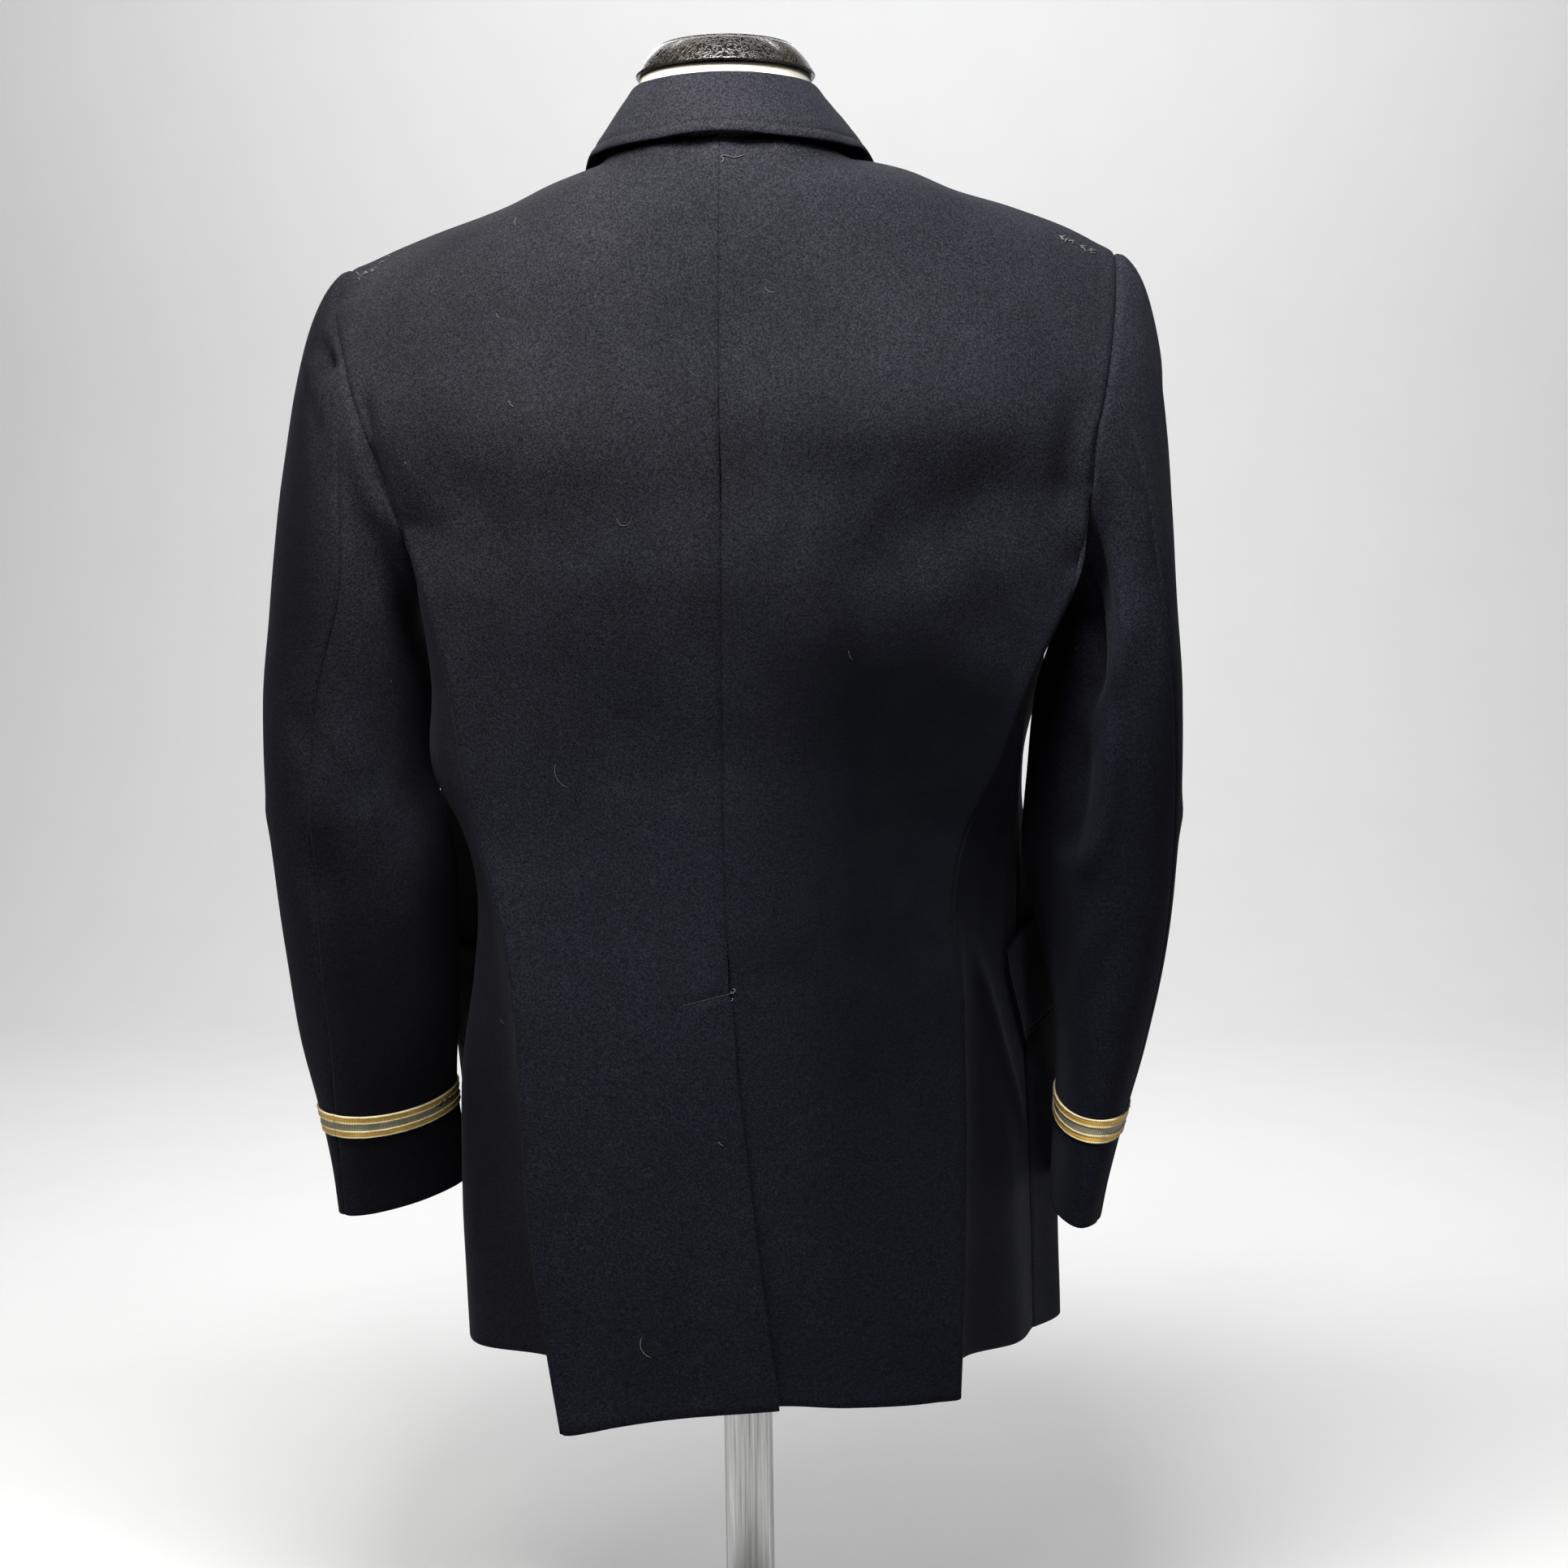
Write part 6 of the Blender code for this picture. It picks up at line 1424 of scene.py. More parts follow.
def woven_band(name, dark, light, metal, rough, rib=1500.0, lengthwise=0.35):
    """Woven braid: fine ribs across the band, a lengthwise cord in it, and worn patches."""
    m, t, shader = nodes_of(name)
    uv = t.nodes.new("ShaderNodeUVMap")
    uv.uv_map = "weave"
    uv = uv.outputs["UV"]
    ribs = t.nodes.new("ShaderNodeTexWave")
    ribs.wave_type, ribs.bands_direction = "BANDS", "X"
    ribs.inputs["Scale"].default_value = rib / 5.0
    ribs.inputs["Distortion"].default_value = 0.8
    ribs.inputs["Detail"].default_value = 1.0
    ribs.inputs["Detail Scale"].default_value = 3.0
    link(t, uv, ribs.inputs["Vector"])
    cords = t.nodes.new("ShaderNodeTexWave")
    cords.wave_type, cords.bands_direction = "BANDS", "Y"
    cords.inputs["Scale"].default_value = 330.0
    cords.inputs["Distortion"].default_value = 1.0
    link(t, uv, cords.inputs["Vector"])
    coord = t.nodes.new("ShaderNodeTexCoord")
    patch = noise(t, coord.outputs["Object"], 95.0, 3.0, 0.6)
    grain = noise(t, scaled(t, uv, (900, 2600, 1)), 1.0, 2.0, 0.6)
    height = math_node(t, "ADD", ribs.outputs["Fac"], math_node(t, "MULTIPLY", cords.outputs["Fac"], lengthwise))
    height = math_node(t, "ADD", height, math_node(t, "MULTIPLY", grain.outputs["Fac"], 0.5))
    c = ramp(t, [(0.20, tuple(v * 0.72 for v in dark)), (0.55, dark), (1.0, light)])
    share = math_node(t, "MULTIPLY", height, 0.52)
    link(t, share, c.inputs["Fac"])
    worn = ramp(t, [(0.30, (0.80, 0.78, 0.74)), (0.68, (1.10, 1.10, 1.08))])
    link(t, patch.outputs["Fac"], worn.inputs["Fac"])
    link(t, mixed(t, 1.0, c.outputs["Color"], worn.outputs["Color"], "MULTIPLY"), shader.inputs["Base Color"])
    link(t, bump(t, height, 0.00035, 0.7), shader.inputs["Normal"])
    r = ramp(t, [(0.2, grey(rough + 0.12)), (0.9, grey(rough - 0.08))])
    link(t, share, r.inputs["Fac"])
    link(t, r.outputs["Color"], shader.inputs["Roughness"])
    shader.inputs["Metallic"].default_value = metal
    return m


GOLD_STRIPE = woven_band("braid_gold", (0.700, 0.410, 0.070), (0.960, 0.660, 0.160), 0.15, 0.55)
PALE_CORD = woven_band("braid_pale", (0.760, 0.630, 0.370), (0.940, 0.830, 0.570), 0.05, 0.60)
GREY_STRIPE = woven_band("braid_grey", (0.285, 0.268, 0.180), (0.440, 0.415, 0.290), 0.0, 0.75)
# near black, for a gap in the band's middle
BAND_DARK_GAP = woven_band("braid_stain", (0.020, 0.017, 0.016), (0.060, 0.050, 0.040), 0.0, 0.85)


def gilt():
    m, t, shader = nodes_of("gilt_metal")
    coord = t.nodes.new("ShaderNodeTexCoord")
    wear = noise(t, coord.outputs["Object"], 190.0, 4.0, 0.6)
    fine_n = noise(t, coord.outputs["Object"], 2400.0, 2.0)
    c = ramp(t, [(0.35, (0.46, 0.30, 0.10)), (0.60, (0.78, 0.56, 0.22))])
    link(t, wear.outputs["Fac"], c.inputs["Fac"])
    link(t, c.outputs["Color"], shader.inputs["Base Color"])
    r = ramp(t, [(0.3, grey(0.42)), (0.7, grey(0.24))])
    link(t, wear.outputs["Fac"], r.inputs["Fac"])
    link(t, r.outputs["Color"], shader.inputs["Roughness"])
    link(t, bump(t, fine_n.outputs["Fac"], 0.00008, 0.35), shader.inputs["Normal"])
    shader.inputs["Metallic"].default_value = 1.0
    return m


GILT_METAL = gilt()


def jersey():
    """Cream knitted cover of the form."""
    m, t, shader = nodes_of("cream_jersey")
    uv = t.nodes.new("ShaderNodeUVMap")
    uv.uv_map = "weave"
    uv = uv.outputs["UV"]
    knit = t.nodes.new("ShaderNodeTexWave")
    knit.wave_type, knit.bands_direction = "BANDS", "X"
    knit.inputs["Scale"].default_value = 240.0
    knit.inputs["Distortion"].default_value = 1.0
    link(t, uv, knit.inputs["Vector"])
    rows = t.nodes.new("ShaderNodeTexWave")
    rows.wave_type, rows.bands_direction = "BANDS", "Y"
    rows.inputs["Scale"].default_value = 300.0
    rows.inputs["Distortion"].default_value = 1.0
    link(t, uv, rows.inputs["Vector"])
    coord = t.nodes.new("ShaderNodeTexCoord")
    soil = noise(t, coord.outputs["Object"], 16.0, 4.0, 0.6)
    height = math_node(t, "ADD", knit.outputs["Fac"], math_node(t, "MULTIPLY", rows.outputs["Fac"], 0.5))
    c = ramp(t, [(0.0, (0.78, 0.73, 0.60)), (0.5, (0.89, 0.86, 0.74)), (1.0, (0.94, 0.92, 0.82))])
    link(t, math_node(t, "MULTIPLY", height, 0.66), c.inputs["Fac"])
    s = ramp(t, [(0.35, (0.90, 0.88, 0.82)), (0.65, (1.0, 1.0, 1.0))])
    link(t, soil.outputs["Fac"], s.inputs["Fac"])
    link(t, mixed(t, 1.0, c.outputs["Color"], s.outputs["Color"], "MULTIPLY"), shader.inputs["Base Color"])
    link(t, bump(t, height, 0.00025, 0.45), shader.inputs["Normal"])
    shader.inputs["Roughness"].default_value = 0.88
    shader.inputs["Sheen Weight"].default_value = 0.25
    return m


JERSEY = jersey()


def crackle():
    """Black crackle enamel over a brown ground."""
    m, t, shader = nodes_of("crackle_enamel")
    coord = t.nodes.new("ShaderNodeTexCoord")
    obj = coord.outputs["Object"]
    warp = noise(t, obj, 160.0, 3.0, 0.6)
    bent = mixed(t, 0.010, obj, warp.outputs["Color"], "ADD")
    cells = t.nodes.new("ShaderNodeTexVoronoi")
    cells.feature = "DISTANCE_TO_EDGE"
    cells.inputs["Scale"].default_value = 300.0
    link(t, scaled(t, bent, (1, 1, 0.42)), cells.inputs["Vector"])
    crack = ramp(t, [(0.0, grey(0.0)), (0.09, grey(0.55)), (0.22, grey(1.0))])
    link(t, cells.outputs["Distance"], crack.inputs["Fac"])
    patch = noise(t, obj, 34.0, 4.0, 0.6)
    ground = ramp(t, [(0.40, (0.004, 0.004, 0.004)), (0.62, (0.013, 0.010, 0.006))])
    link(t, patch.outputs["Fac"], ground.inputs["Fac"])
    link(t, mixed(t, crack.outputs["Color"], (0.014, 0.011, 0.008), ground.outputs["Color"]), shader.inputs["Base Color"])
    r = ramp(t, [(0.0, grey(0.34)), (1.0, grey(0.13))])
    link(t, crack.outputs["Color"], r.inputs["Fac"])
    link(t, r.outputs["Color"], shader.inputs["Roughness"])
    pebble = noise(t, obj, 520.0, 2.0, 0.6)
    height = math_node(t, "ADD", crack.outputs["Color"], math_node(t, "MULTIPLY", pebble.outputs["Fac"], 0.7))
    link(t, bump(t, height, 0.00036, 0.45), shader.inputs["Normal"])
    shader.inputs["Coat Weight"].default_value = 0.35
    shader.inputs["Coat Roughness"].default_value = 0.18
    return m


CRACKLE = crackle()


def steel():
    m, t, shader = nodes_of("pole_steel")
    coord = t.nodes.new("ShaderNodeTexCoord")
    lines = noise(t, scaled(t, coord.outputs["Object"], (900, 900, 12)), 1.0, 3.0, 0.6)
    c = ramp(t, [(0.3, grey(0.30)), (0.7, grey(0.52))])
    link(t, lines.outputs["Fac"], c.inputs["Fac"])
    link(t, c.outputs["Color"], shader.inputs["Base Color"])
    r = ramp(t, [(0.3, grey(0.42)), (0.7, grey(0.26))])
    link(t, lines.outputs["Fac"], r.inputs["Fac"])
    link(t, r.outputs["Color"], shader.inputs["Roughness"])
    link(t, bump(t, lines.outputs["Fac"], 0.00005, 0.4), shader.inputs["Normal"])
    shader.inputs["Metallic"].default_value = 1.0
    return m


STEEL_METAL = steel()


def paint():
    m, t, shader = nodes_of("base_paint")
    coord = t.nodes.new("ShaderNodeTexCoord")
    peel = noise(t, coord.outputs["Object"], 780.0, 2.0, 0.5)
    wear = noise(t, coord.outputs["Object"], 26.0, 4.0, 0.6)
    c = ramp(t, [(0.35, (0.020, 0.020, 0.022)), (0.70, (0.042, 0.042, 0.044))])
    link(t, wear.outputs["Fac"], c.inputs["Fac"])
    link(t, c.outputs["Color"], shader.inputs["Base Color"])
    r = ramp(t, [(0.3, grey(0.36)), (0.7, grey(0.52))])
    link(t, wear.outputs["Fac"], r.inputs["Fac"])
    link(t, r.outputs["Color"], shader.inputs["Roughness"])
    link(t, bump(t, peel.outputs["Fac"], 0.00012, 0.5), shader.inputs["Normal"])
    return m


BASE_PAINT = paint()
DARK_THREAD = thread("dark_thread", (0.0055, 0.0058, 0.0085))
GREY_THREAD = thread("grey_thread", (0.120, 0.120, 0.125))
PALE_FIBRE = thread("pale_fibre", (0.075, 0.074, 0.070))
# near-black thread for the real slits at the shoulders, also laid along the vent's crease as painted shade
BLACK_SLIT_AND_CREASE_SHADE = thread("slit", (0.004, 0.004, 0.005), 0.95)

# ------------------------------------------------------------------- the cloth
made = {}
for p in shapes:
    f = p.fine
    kind = p.name.split("_")[0]
    held = "gathered" if kind == "sleeve" else "hung"
    made[p.name] = shell(p.name + "_cloth", p.grid, p.normal, p.stretch, WALL, [WOOL], f.uv, f.free, [p.name])
    declare(made[p.name], p.grid)

fine_fronts = {s.name: tree_of(["front_" + s.name]) for s in (LEFT, RIGHT)}
fine_body = tree_of([n for n in shape if not n.startswith("sleeve")])


def richer(grid, kr, kc):
    """The same surface on a finer grid."""
    r, c = grid.shape[:2]
    a = spline(np.arange(r), grid.reshape(r, -1), np.linspace(0, r - 1, (r - 1) * kr + 1)).reshape(-1, c, 3)
    a = a.transpose(1, 0, 2)
    n = a.shape[1]
    b = spline(np.arange(c), a.reshape(c, -1), np.linspace(0, c - 1, (c - 1) * kc + 1)).reshape(-1, n, 3)
    return b.transpose(1, 0, 2)


def clear_of(tree, outer, normal, wall, least, reach=0.006, skip=0):
    """Raises a fine piece wherever its inner face is too near the cloth beneath."""
    r, c = outer.shape[:2]
    lift = np.zeros((r, c))
    for i in range(r):
        for j in range(skip, c):
            p = outer[i, j] - normal[i, j] * wall
            place, _, _, away = tree.find_nearest(Vector(p))
            if place is not None and away < reach:
                lift[i, j] = max(0.0, least - (p - np.array(place)) @ normal[i, j])
    for _ in range(3):
        pad = np.pad(lift, 1, mode="edge")
        lift = np.maximum(lift, (pad[:-2, 1:-1] + pad[2:, 1:-1] + pad[1:-1, :-2] + pad[1:-1, 2:]) / 4)
    return outer + normal * lift[..., None]


def stitched(grid, edges, deep=0.00045, inset=0.0050, pitch=0.0032):
    """Depth of a row of stitches run along some edges of a grid."""
    dip = np.zeros(grid.shape[:2])
    for axis, end in edges:
        away = run_from(grid, axis, end)
        along = run_from(grid, 1 - axis, 0)
        dip -= deep * np.exp(-(((away - inset) / 0.0009) ** 2)) * (0.72 + 0.28 * np.cos(2 * np.pi * along / pitch))
    return dip


def laid_piece(panel, kr, kc, tree, node, least, skip, edges, name, free, mats):
    outer = richer(panel.grid, kr, kc)
    normal = richer(panel.normal, kr, kc)
    normal /= np.linalg.norm(normal, axis=-1, keepdims=True)
    outer = clear_of(tree, outer, normal, WALL, least, skip=skip)
    flat = outer.reshape(-1, 3)
    move = uneven(flat, 0.00022).reshape(outer.shape[:2]) + stitched(outer, edges)
    outer = outer + normal * move[..., None]
    uv = np.stack([run_from(outer, 1, 0), run_from(outer, 0, 0)], -1)
    obj = shell(name, outer, normal, np.ones(outer.shape[:2]), WALL, mats, uv, free, [node])
    return obj, outer, normal


ALL_FREE = {"first": True, "last": True, "low": True, "top": True}
seams_of = {}
for side, corners in ((LEFT, FLAP_LEFT), (RIGHT, FLAP_RIGHT)):
    n = side.name
    obj, g, nn = laid_piece(lapel(side), 9, 9, fine_fronts[n], "lapel_" + n, 0.0004, 16, [(1, -1), (0, -1)], "lapel_" + n + "_cloth",
                            ALL_FREE, [WOOL])
    declare(obj, g)
    seams_of["lapel_" + n] = (g, nn, [(1, -1), (0, -1)])
    made["lapel_" + n] = obj
    obj, g, nn = laid_piece(flap(side, corners), 8, 7, fine_body, "flap_" + n, 0.0004, 0, [(1, 0), (1, -1), (0, -1)], "flap_" + n + "_cloth",
                            ALL_FREE, [WOOL])
    declare(obj, g)
    seams_of["flap_" + n] = (g, nn, [(1, 0), (1, -1), (0, -1)])
    made["flap_" + n] = obj


# ------------------------------------------------------------------- the collar
def fine_collar():
    rings, _ = collar()
    count = rings.shape[0]
    # the fall hangs a little closer to the back than the plain collar
    for i in range(count):
        edge = rings[i, 6]
        place, _, _, away = fine_body.find_nearest(Vector(edge))
        if place is None or away > 0.030 or edge[1] < 0.0:
            continue
        go = (np.array(place) - edge) / max(away, 1e-9)
        step = min(max(away - 0.0030, 0.0), 0.0085) * float(smooth(-0.005, 0.034, edge[1]))
        for q, w in ((3, 0.22), (4, 0.58), (5, 1.0), (6, 1.0), (7, 0.58), (8, 0.22)):
            rings[i, q] = rings[i, q] + go * step * w + np.array((0, 0, 0.0034)) * w * float(smooth(-0.005, 0.034, edge[1]))
    k = 22
    rings = spline(np.arange(count), rings.reshape(count, -1), np.linspace(0, count - 1, (count - 1) * k + 1)).reshape(-1, rings.shape[1], 3)
    out_path, in_path = rings[:, 0:6], rings[:, 6:11]

    def resample(path, shares):
        rows = []
        for line in path:
            rows.append(spline(lengths(line), line, shares))
        return np.array(rows)

    near_fold = np.concatenate([np.linspace(0, 0.36, 12)[:-1], np.linspace(0.36, 0.56, 14)[:-1], np.linspace(0.56, 0.86, 12)[:-1], np.linspace(0.86, 1.0, 16)])
    outer = resample(out_path, near_fold)
    inner = resample(in_path, np.concatenate([np.linspace(0, 0.42, 12)[:-1], np.linspace(0.42, 0.60, 8)[:-1], np.linspace(0.60, 1, 8)]))
    # distance from the fall's free edge along the outer face
    away = run_from(outer, 1, -1)
    along = run_from(outer, 0, 0)
    edge_along = along[:, -1][:, None] * np.ones_like(away)
    down = outer[:, -1] - outer[:, -4]
    down /= np.linalg.norm(down, axis=1)[:, None]
    across = outer[:, -1] - inner[:, 0]
    across /= np.linalg.norm(across, axis=1)[:, None]
    normal = np.empty_like(outer)
    tangent_u = np.gradient(outer, axis=0)
    tangent_v = np.gradient(outer, axis=1)
    normal = np.cross(tangent_u, tangent_v)
    normal /= np.maximum(np.linalg.norm(normal, axis=-1, keepdims=True), 1e-12)
    if (normal[:, -3] * across).sum() < 0:
        normal = -normal
    dip = -0.00060 * np.exp(-(((away - 0.0052) / 0.0010) ** 2)) * (0.74 + 0.26 * np.cos(2 * np.pi * edge_along / 0.0032))
    swell = 0.00045 * np.exp(-(((away - 0.0022) / 0.0022) ** 2)) + 0.0004 * np.exp(-(((away - 0.0095) / 0.004) ** 2))
    rough = uneven(outer.reshape(-1, 3), 0.00035).reshape(outer.shape[:2]) * smooth(0.0, 0.01, away)
    outer = outer + normal * (dip + swell + rough)[..., None]
    a, b = outer[:, -1], inner[:, 0]
    turn = []
    for s in (0.2, 0.4, 0.6, 0.8):
        turn.append(a * (1 - s) + b * s + down * 0.0011 * math.sin(math.pi * s))
    loop = np.concatenate([outer, np.stack(turn, 1), inner], axis=1)
    n_ring, n_pt = loop.shape[:2]
    faces = []
    for i in range(n_ring - 1):
        base = i * n_pt
        for j in range(n_pt):
            w = (j + 1) % n_pt
            faces.append((base + j, base + w, base + n_pt + w, base + n_pt + j))
    points = loop.reshape(-1, 3)
    uv = np.stack([edge_along[:, :1] * np.ones((1, n_pt)), run_from(loop, 1, 0)], -1).reshape(-1, 2)
    # the two ends, closed as strips between the outer path and the inner path
    first, last_ring = 0, (n_ring - 1) * n_pt
    n_out = outer.shape[1]
    ends = []
    for base in (first, last_ring):
        a_side = list(range(0, n_out))
        b_side = list(range(n_pt - 1, n_out + 3, -1)) + [n_out + 3]
        b_side = list(range(n_pt - 1, n_out - 1, -1))
        # pair the points by their share of the way
        i = j = 0
        strip = []
        while i < len(a_side) - 1 or j < len(b_side) - 1:
            if j >= len(b_side) - 1 or (i < len(a_side) - 1 and (i + 1) / len(a_side) <= (j + 1) / len(b_side)):
                strip.append((a_side[i], a_side[i + 1], b_side[j]))
                i += 1
            else:
                strip.append((a_side[i], b_side[j + 1], b_side[j]))
                j += 1
        ends.append([tuple(base + q for q in f) for f in strip])
    faces += [f[::-1] for f in ends[0]] + ends[1]
    volume = 0.0
    for f in faces:
        for q in range(1, len(f) - 1):
            volume += points[f[0]] @ np.cross(points[f[q]], points[f[q + 1]])
    if volume < 0:
        faces = [f[::-1] for f in faces]
    obj = mesh_object("collar_cloth", points, faces, [WOOL], uv)
    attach(obj, "root")
    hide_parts("collar")
    # cut: stand and fall laid flat
    length = float(along[:, n_out // 2].max())
    width = float(run_from(outer, 1, 0)[:, -1].max())
    area = float(flat_cut(outer)[2])
    length = float(max(along[:, j].max() for j in range(0, n_out, 6)))
    CUTS[obj.name] = (round(width, 3), round(length, 3), round(area, 4))
    return obj, outer, normal


made["collar"], collar_grid, collar_normal = fine_collar()


# --------------------------------------------------------------------- threads
def tube(points, radius, around=6):
    """Points, faces of a thin tube with tapered, closed ends."""
    pts = np.asarray(points, float)
    n = len(pts)
    t = np.gradient(pts, axis=0)
    t /= np.maximum(np.linalg.norm(t, axis=1, keepdims=True), 1e-12)
    ref = np.array([0.0, 0.0, 1.0]) if abs(t[0][2]) < 0.8 else np.array([0.0, 1.0, 0.0])
    rings, faces = [], []
    for i in range(n):
        a = np.cross(t[i], ref)
        a /= max(np.linalg.norm(a), 1e-9)
        b = np.cross(t[i], a)
        ref = np.cross(a, t[i])
        r = radius * (0.55 if i in (0, n - 1) else 1.0)
        ang = np.linspace(0, 2 * np.pi, around, endpoint=False)
        rings.append(pts[i] + r * (np.cos(ang)[:, None] * a + np.sin(ang)[:, None] * b))
    v = np.concatenate(rings)
    for i in range(n - 1):
        for j in range(around):
            k = (j + 1) % around
            faces.append((i * around + j, i * around + k, (i + 1) * around + k, (i + 1) * around + j))
    faces.append(tuple(range(around))[::-1])
    faces.append(tuple((n - 1) * around + j for j in range(around)))
    return v, faces


def joined(name, tubes, mat):
    points, faces = [], []
    base = 0
    for v, f in tubes:
        points.append(v)
        faces += [tuple(k + base for k in q) for q in f]
        base += len(v)
    obj = mesh_object(name, np.concatenate(points), faces, [mat])
    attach(obj, "root")
    return obj


def line_inset(grid, normal, axis, end, inset):
    """The line that lies a little way in from one edge of a grid."""
    away = run_from(grid, axis, end)
    g, nn = (grid, normal) if axis == 1 else (grid.transpose(1, 0, 2), normal.transpose(1, 0, 2))
    away = away if axis == 1 else away.T
    pts, ns = [], []
    for row, nrow, a in zip(g, nn, away):
        order = np.argsort(a)
        pts.append([np.interp(inset, a[order], row[order, k]) for k in range(3)])
        ns.append([np.interp(inset, a[order], nrow[order, k]) for k in range(3)])
    pts, ns = np.array(pts), np.array(ns)
    return pts, ns / np.linalg.norm(ns, axis=1, keepdims=True)


def stitches_on(pts, ns, pitch=0.0032, long=0.0021, radius=0.00021, sink=0.00005, trim=0.004):
    run = np.concatenate([[0], np.cumsum(np.linalg.norm(np.diff(pts, axis=0), axis=1))])
    out = []
    for s in np.arange(trim, run[-1] - trim, pitch):
        at = np.array([s, s + long * 0.25, s + long * 0.5, s + long * 0.75, s + long])
        line = np.stack([np.interp(at, run, pts[:, k]) for k in range(3)], 1)
        up = np.stack([np.interp(at, run, ns[:, k]) for k in range(3)], 1)
        rise = np.array([-0.6, 0.6, 1.0, 0.6, -0.6])[:, None] * radius - sink
        out.append(tube(line + up * rise, radius, 5))
    return out


rows = []
pts, ns = line_inset(collar_grid, collar_normal, 1, -1, 0.0052)
rows += stitches_on(pts, ns)
for g, nn, edges in seams_of.values():
    for axis, end in edges:
        pts, ns = line_inset(g, nn, axis, end, 0.0050)
        keep = slice(8, -4) if len(pts) > 40 else slice(2, -2)
        rows += stitches_on(pts[keep], ns[keep])
for n in ("left", "right"):
    p = shape["front_" + n]
    g, nn = p.grid, p.normal
    last = -1 if n == "left" else 0
    pts, ns = line_inset(g, nn, 1, last, 0.0052)
    rows += stitches_on(pts[: int(len(FZ) * 0.98)], ns[: int(len(FZ) * 0.98)])
topstitch = joined("topstitching", rows, DARK_THREAD)


def on_back(x, z, lift):
    place, normal = spot("back", x, z, LAID)
    return place + normal * lift, normal


LAID = tree_of(list(shape))

# vent: the row of hand stitches that holds its top, and its end knots
rows = []
for k in range(11):
    s = k / 10
    x, z = 0.0272 + (-0.0016 - 0.0272) * s, 0.2432 + (0.2502 - 0.2432) * s
    a, _ = on_back(x + 0.0009, z - 0.0003, 0.0001)
    m, _ = on_back(x, z, 0.00035)
    b, _ = on_back(x - 0.0009, z + 0.0003, 0.0001)
    rows.append(tube(np.array([a, m, b]), 0.00028, 6))
joined("vent_stitches", rows, DARK_THREAD)
# painted shade: a near-black thread laid along the crease that the stitches pull into the cloth, standing in for its
# shadow
crease = [on_back(0.0272 - 0.0288 * s, 0.2430 + 0.0070 * s, 0.00005)[0] for s in np.linspace(0, 1, 15)]
joined("vent_crease", [tube(np.array(crease), 0.00042, 6)], BLACK_SLIT_AND_CREASE_SHADE)
rows = []
for x, z, turn in ((-0.0026, 0.2515, 0.3), (-0.0012, 0.2460, 1.6), (-0.0020, 0.2503, 2.4)):
    c = [on_back(x + 0.0010 * math.cos(turn + q) * (0.4 + 0.2 * q), z + 0.0010 * math.sin(turn + q) * (0.4 + 0.2 * q), 0.0004 + 0.0001 * q)[0] for q in np.linspace(0, 4.2, 10)]
    rows.append(tube(np.array(c), 0.00026, 6))
joined("vent_knots", rows, GREY_THREAD)

# cut threads left where shoulder straps were sewn down; shoulder: x, height, way they lie
rng = np.random.default_rng(5)
rows, slits = [], []
for x0, z0, x1, z1, count in ((0.2165, 0.7105, 0.2400, 0.6990, 15), (-0.2085, 0.7130, -0.2310, 0.7050, 19)):
    for k in range(count):
        s = rng.uniform(0, 1)
        x, z = x0 + (x1 - x0) * s + rng.normal() * 0.0012, z0 + (z1 - z0) * s + rng.normal() * 0.0012
        turn, long, bend = rng.uniform(-0.9, 0.9) + (0 if rng.uniform() < 0.6 else 1.4), rng.uniform(0.0018, 0.0052), rng.normal() * 0.5
        c = []
        for q in np.linspace(-0.5, 0.5, 7):
            a = turn + bend * q * 2
            c.append(on_back(x + long * q * math.cos(a), z + long * q * math.sin(a) * 0.8, 0.0003 + 0.0009 * (0.5 - abs(q)) * rng.uniform(0.4, 1.3))[0])
        rows.append(tube(np.array(c), rng.uniform(0.00016, 0.00028), 5))
    for k in range(5):
        s = (k + 0.5) / 5 + rng.normal() * 0.04
        x, z = x0 + (x1 - x0) * s, z0 + (z1 - z0) * s + 0.0006
        half = rng.uniform(0.0014, 0.0030)
        c = [on_back(x + half * q, z - half * q * 0.42 * (1 if x0 > 0 else -1), 0.00008)[0] for q in np.linspace(-1, 1, 7)]
        slits.append(tube(np.array(c), 0.00038, 6))
joined("shoulder_threads", rows, GREY_THREAD)
joined("shoulder_slits", slits, BLACK_SLIT_AND_CREASE_SHADE)

# stray fibres: x, height, length, way it lies, bend, radius
LINT_COLS = ("x", "z", "long", "turn", "bend", "radius")
LINT = (
    (0.0548, 0.0360, 0.0150, 1.15, 0.9, 0.00022),
    (0.0056, 0.1597, 0.0040, 0.70, 0.3, 0.00026),
    (0.1350, 0.6629, 0.0042, 0.90, 0.6, 0.00020),
    (0.1286, 0.7245, 0.0060, 1.50, 0.7, 0.00016),
    (0.1247, 0.6083, 0.0050, 0.90, 0.2, 0.00022),
    (0.1053, 0.3816, 0.0180, 1.10, 0.8, 0.00012),
    (0.0590, 0.5350, 0.0110, 0.30, 1.4, 0.00011),
    (-0.0310, 0.6720, 0.0075, 0.40, 0.9, 0.00014),
    (-0.0760, 0.4550, 0.0065, 1.20, 0.5, 0.00012),
    (0.1480, 0.2250, 0.0046, 0.60, 0.4, 0.00015),
    (-0.1180, 0.6550, 0.0052, 2.30, 0.8, 0.00013),
)
rows = []
for x, z, long, turn, bend, radius in LINT:
    c = []
    for q in np.linspace(-0.5, 0.5, 9):
        a = turn + bend * q
        c.append(on_back(x + long * q * math.cos(a), z + long * q * math.sin(a), radius * 1.2 + 0.0005 * (0.5 - abs(q)))[0])
    rows.append(tube(np.array(c), radius, 5))
